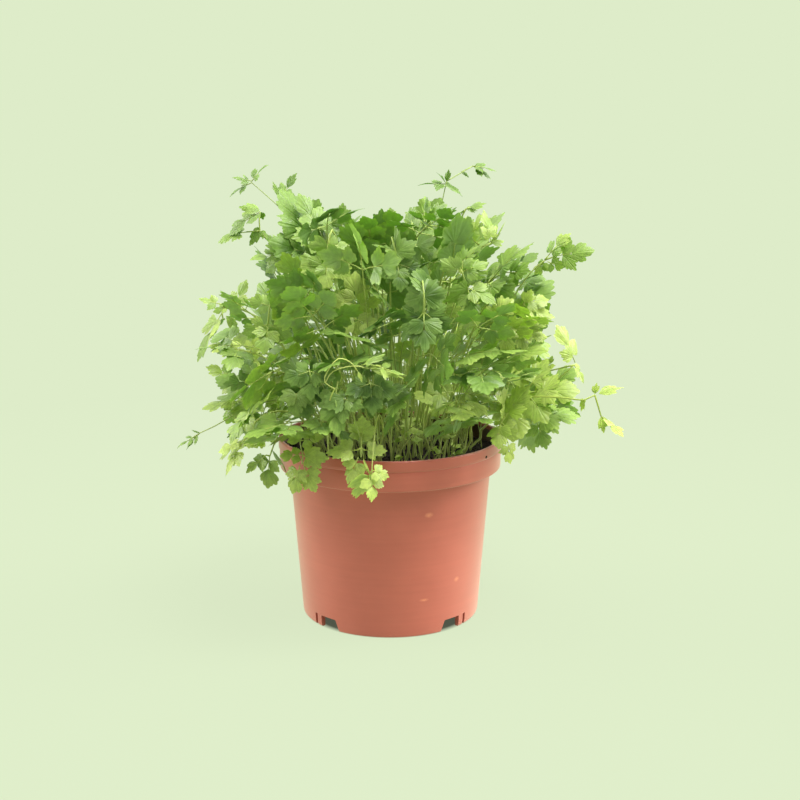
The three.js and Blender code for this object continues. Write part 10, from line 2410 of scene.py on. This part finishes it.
# ------------------------------------------------------------------ floor, world, lights
fme = bpy.data.meshes.new("floor")
fme.from_pydata([(-30, -30, 0), (30, -30, 0), (30, 30, 0), (-30, 30, 0)], [], [(0, 1, 2, 3)])
floor = bpy.data.objects.new("floor", fme)
bpy.context.scene.collection.objects.link(floor)
floor.location = (0, 0, -0.0002)
fm, fnt = new_material("pale_floor")
fkn = Net(fnt)
FLOOR_GLOW = 0.910
# painted shadow: the glow fades out under the pot, where the pot shades the floor, and turns into the plain backdrop
# colour far away
spot = fkn.add("ShaderNodeSeparateXYZ")
fkn.link(fkn.object_coord(), spot.inputs[0])
radius = fkn.math("SQRT", fkn.math("ADD", fkn.math("POWER", fkn.math("ABSOLUTE", spot.outputs[0]), 2.0),
                                   fkn.math("POWER", fkn.math("ABSOLUTE", spot.outputs[1]), 2.0)))
# painted shadow under the pot: the floor's glow drops to 12 % inside the foot's radius
under = fkn.math("DIVIDE", fkn.math("SUBTRACT", radius, 0.0475), 0.0045, clamp=True)
away = fkn.math("DIVIDE", fkn.math("SUBTRACT", radius, 0.22), 0.45, clamp=True)
em = fkn.add("ShaderNodeEmission")
em.inputs["Color"].default_value = PALE
fkn.link(fkn.math("MULTIPLY", fkn.math("ADD", fkn.math("MULTIPLY", under, 0.88), 0.12), FLOOR_GLOW), em.inputs["Strength"])
df = fkn.add("ShaderNodeBsdfDiffuse")
df.inputs["Color"].default_value = (PALE[0] * 0.038, PALE[1] * 0.038, PALE[2] * 0.038, 1)
ad = fkn.add("ShaderNodeAddShader")
fkn.link(em.outputs[0], ad.inputs[0])
fkn.link(df.outputs[0], ad.inputs[1])
far = fkn.add("ShaderNodeEmission")
far.inputs["Color"].default_value = PALE
fmix = fkn.add("ShaderNodeMixShader")
fkn.link(away, fmix.inputs[0])
fkn.link(ad.outputs[0], fmix.inputs[1])
fkn.link(far.outputs[0], fmix.inputs[2])
fo = fkn.add("ShaderNodeOutputMaterial")
fkn.link(fmix.outputs[0], fo.inputs["Surface"])
fme.materials.append(fm)

TENT_FRONT, TENT_BACK, TENT_TOP = 0.29, 1.16, 0.50
world = bpy.data.worlds.new("studio")
bpy.context.scene.world = world
world.use_nodes = True
wnt = world.node_tree
wnt.nodes.clear()
wk = Net(wnt)
seen = wk.add("ShaderNodeBackground")
seen.inputs["Color"].default_value = PALE
seen.inputs["Strength"].default_value = 1.0
fill = wk.add("ShaderNodeBackground")
fill.inputs["Color"].default_value = (0.97, 1.0, 0.97, 1)
# a studio tent: dim on the camera's side, bright behind, beside and above
way = wk.add("ShaderNodeSeparateXYZ")
wk.link(wk.add("ShaderNodeTexCoord").outputs["Generated"], way.inputs[0])
depth_way = wk.math("MULTIPLY", wk.math("ADD", way.outputs[1], 1.0), 0.5, clamp=True)
level = wk.math("ADD", wk.math("MULTIPLY", wk.math("POWER", depth_way, 1.3), TENT_BACK), TENT_FRONT)
level = wk.math("ADD", level, wk.math("MULTIPLY", wk.math("MAXIMUM", way.outputs[2], 0.0), TENT_TOP))
wk.link(level, fill.inputs["Strength"])
lp = wk.add("ShaderNodeLightPath")
wm = wk.add("ShaderNodeMixShader")
wk.link(lp.outputs["Is Camera Ray"], wm.inputs[0])
wk.link(fill.outputs[0], wm.inputs[1])
wk.link(seen.outputs[0], wm.inputs[2])
wo = wk.add("ShaderNodeOutputWorld")
wk.link(wm.outputs[0], wo.inputs["Surface"])


def sun(name, azimuth, elevation, strength, angle, color=(1, 1, 1)):
    """azimuth from the front towards +X, degrees."""
    data = bpy.data.lights.new(name, "SUN")
    data.energy = strength
    data.angle = math.radians(angle)
    data.color = color
    o = bpy.data.objects.new(name, data)
    bpy.context.scene.collection.objects.link(o)
    a, e = math.radians(azimuth), math.radians(elevation)
    to_light = Vector((math.cos(e) * math.sin(a), -math.cos(e) * math.cos(a), math.sin(e)))
    o.rotation_euler = to_light.to_track_quat("Z", "Y").to_euler()
    return o


sun("sun_top", 50, 68, 4.2, 32, (1.0, 1.0, 0.98))
sun("sun_right", 100, 26, 2.8, 30, (1.0, 0.99, 0.95))
sun("sun_left", -98, 28, 2.1, 30, (1.0, 0.98, 0.95))
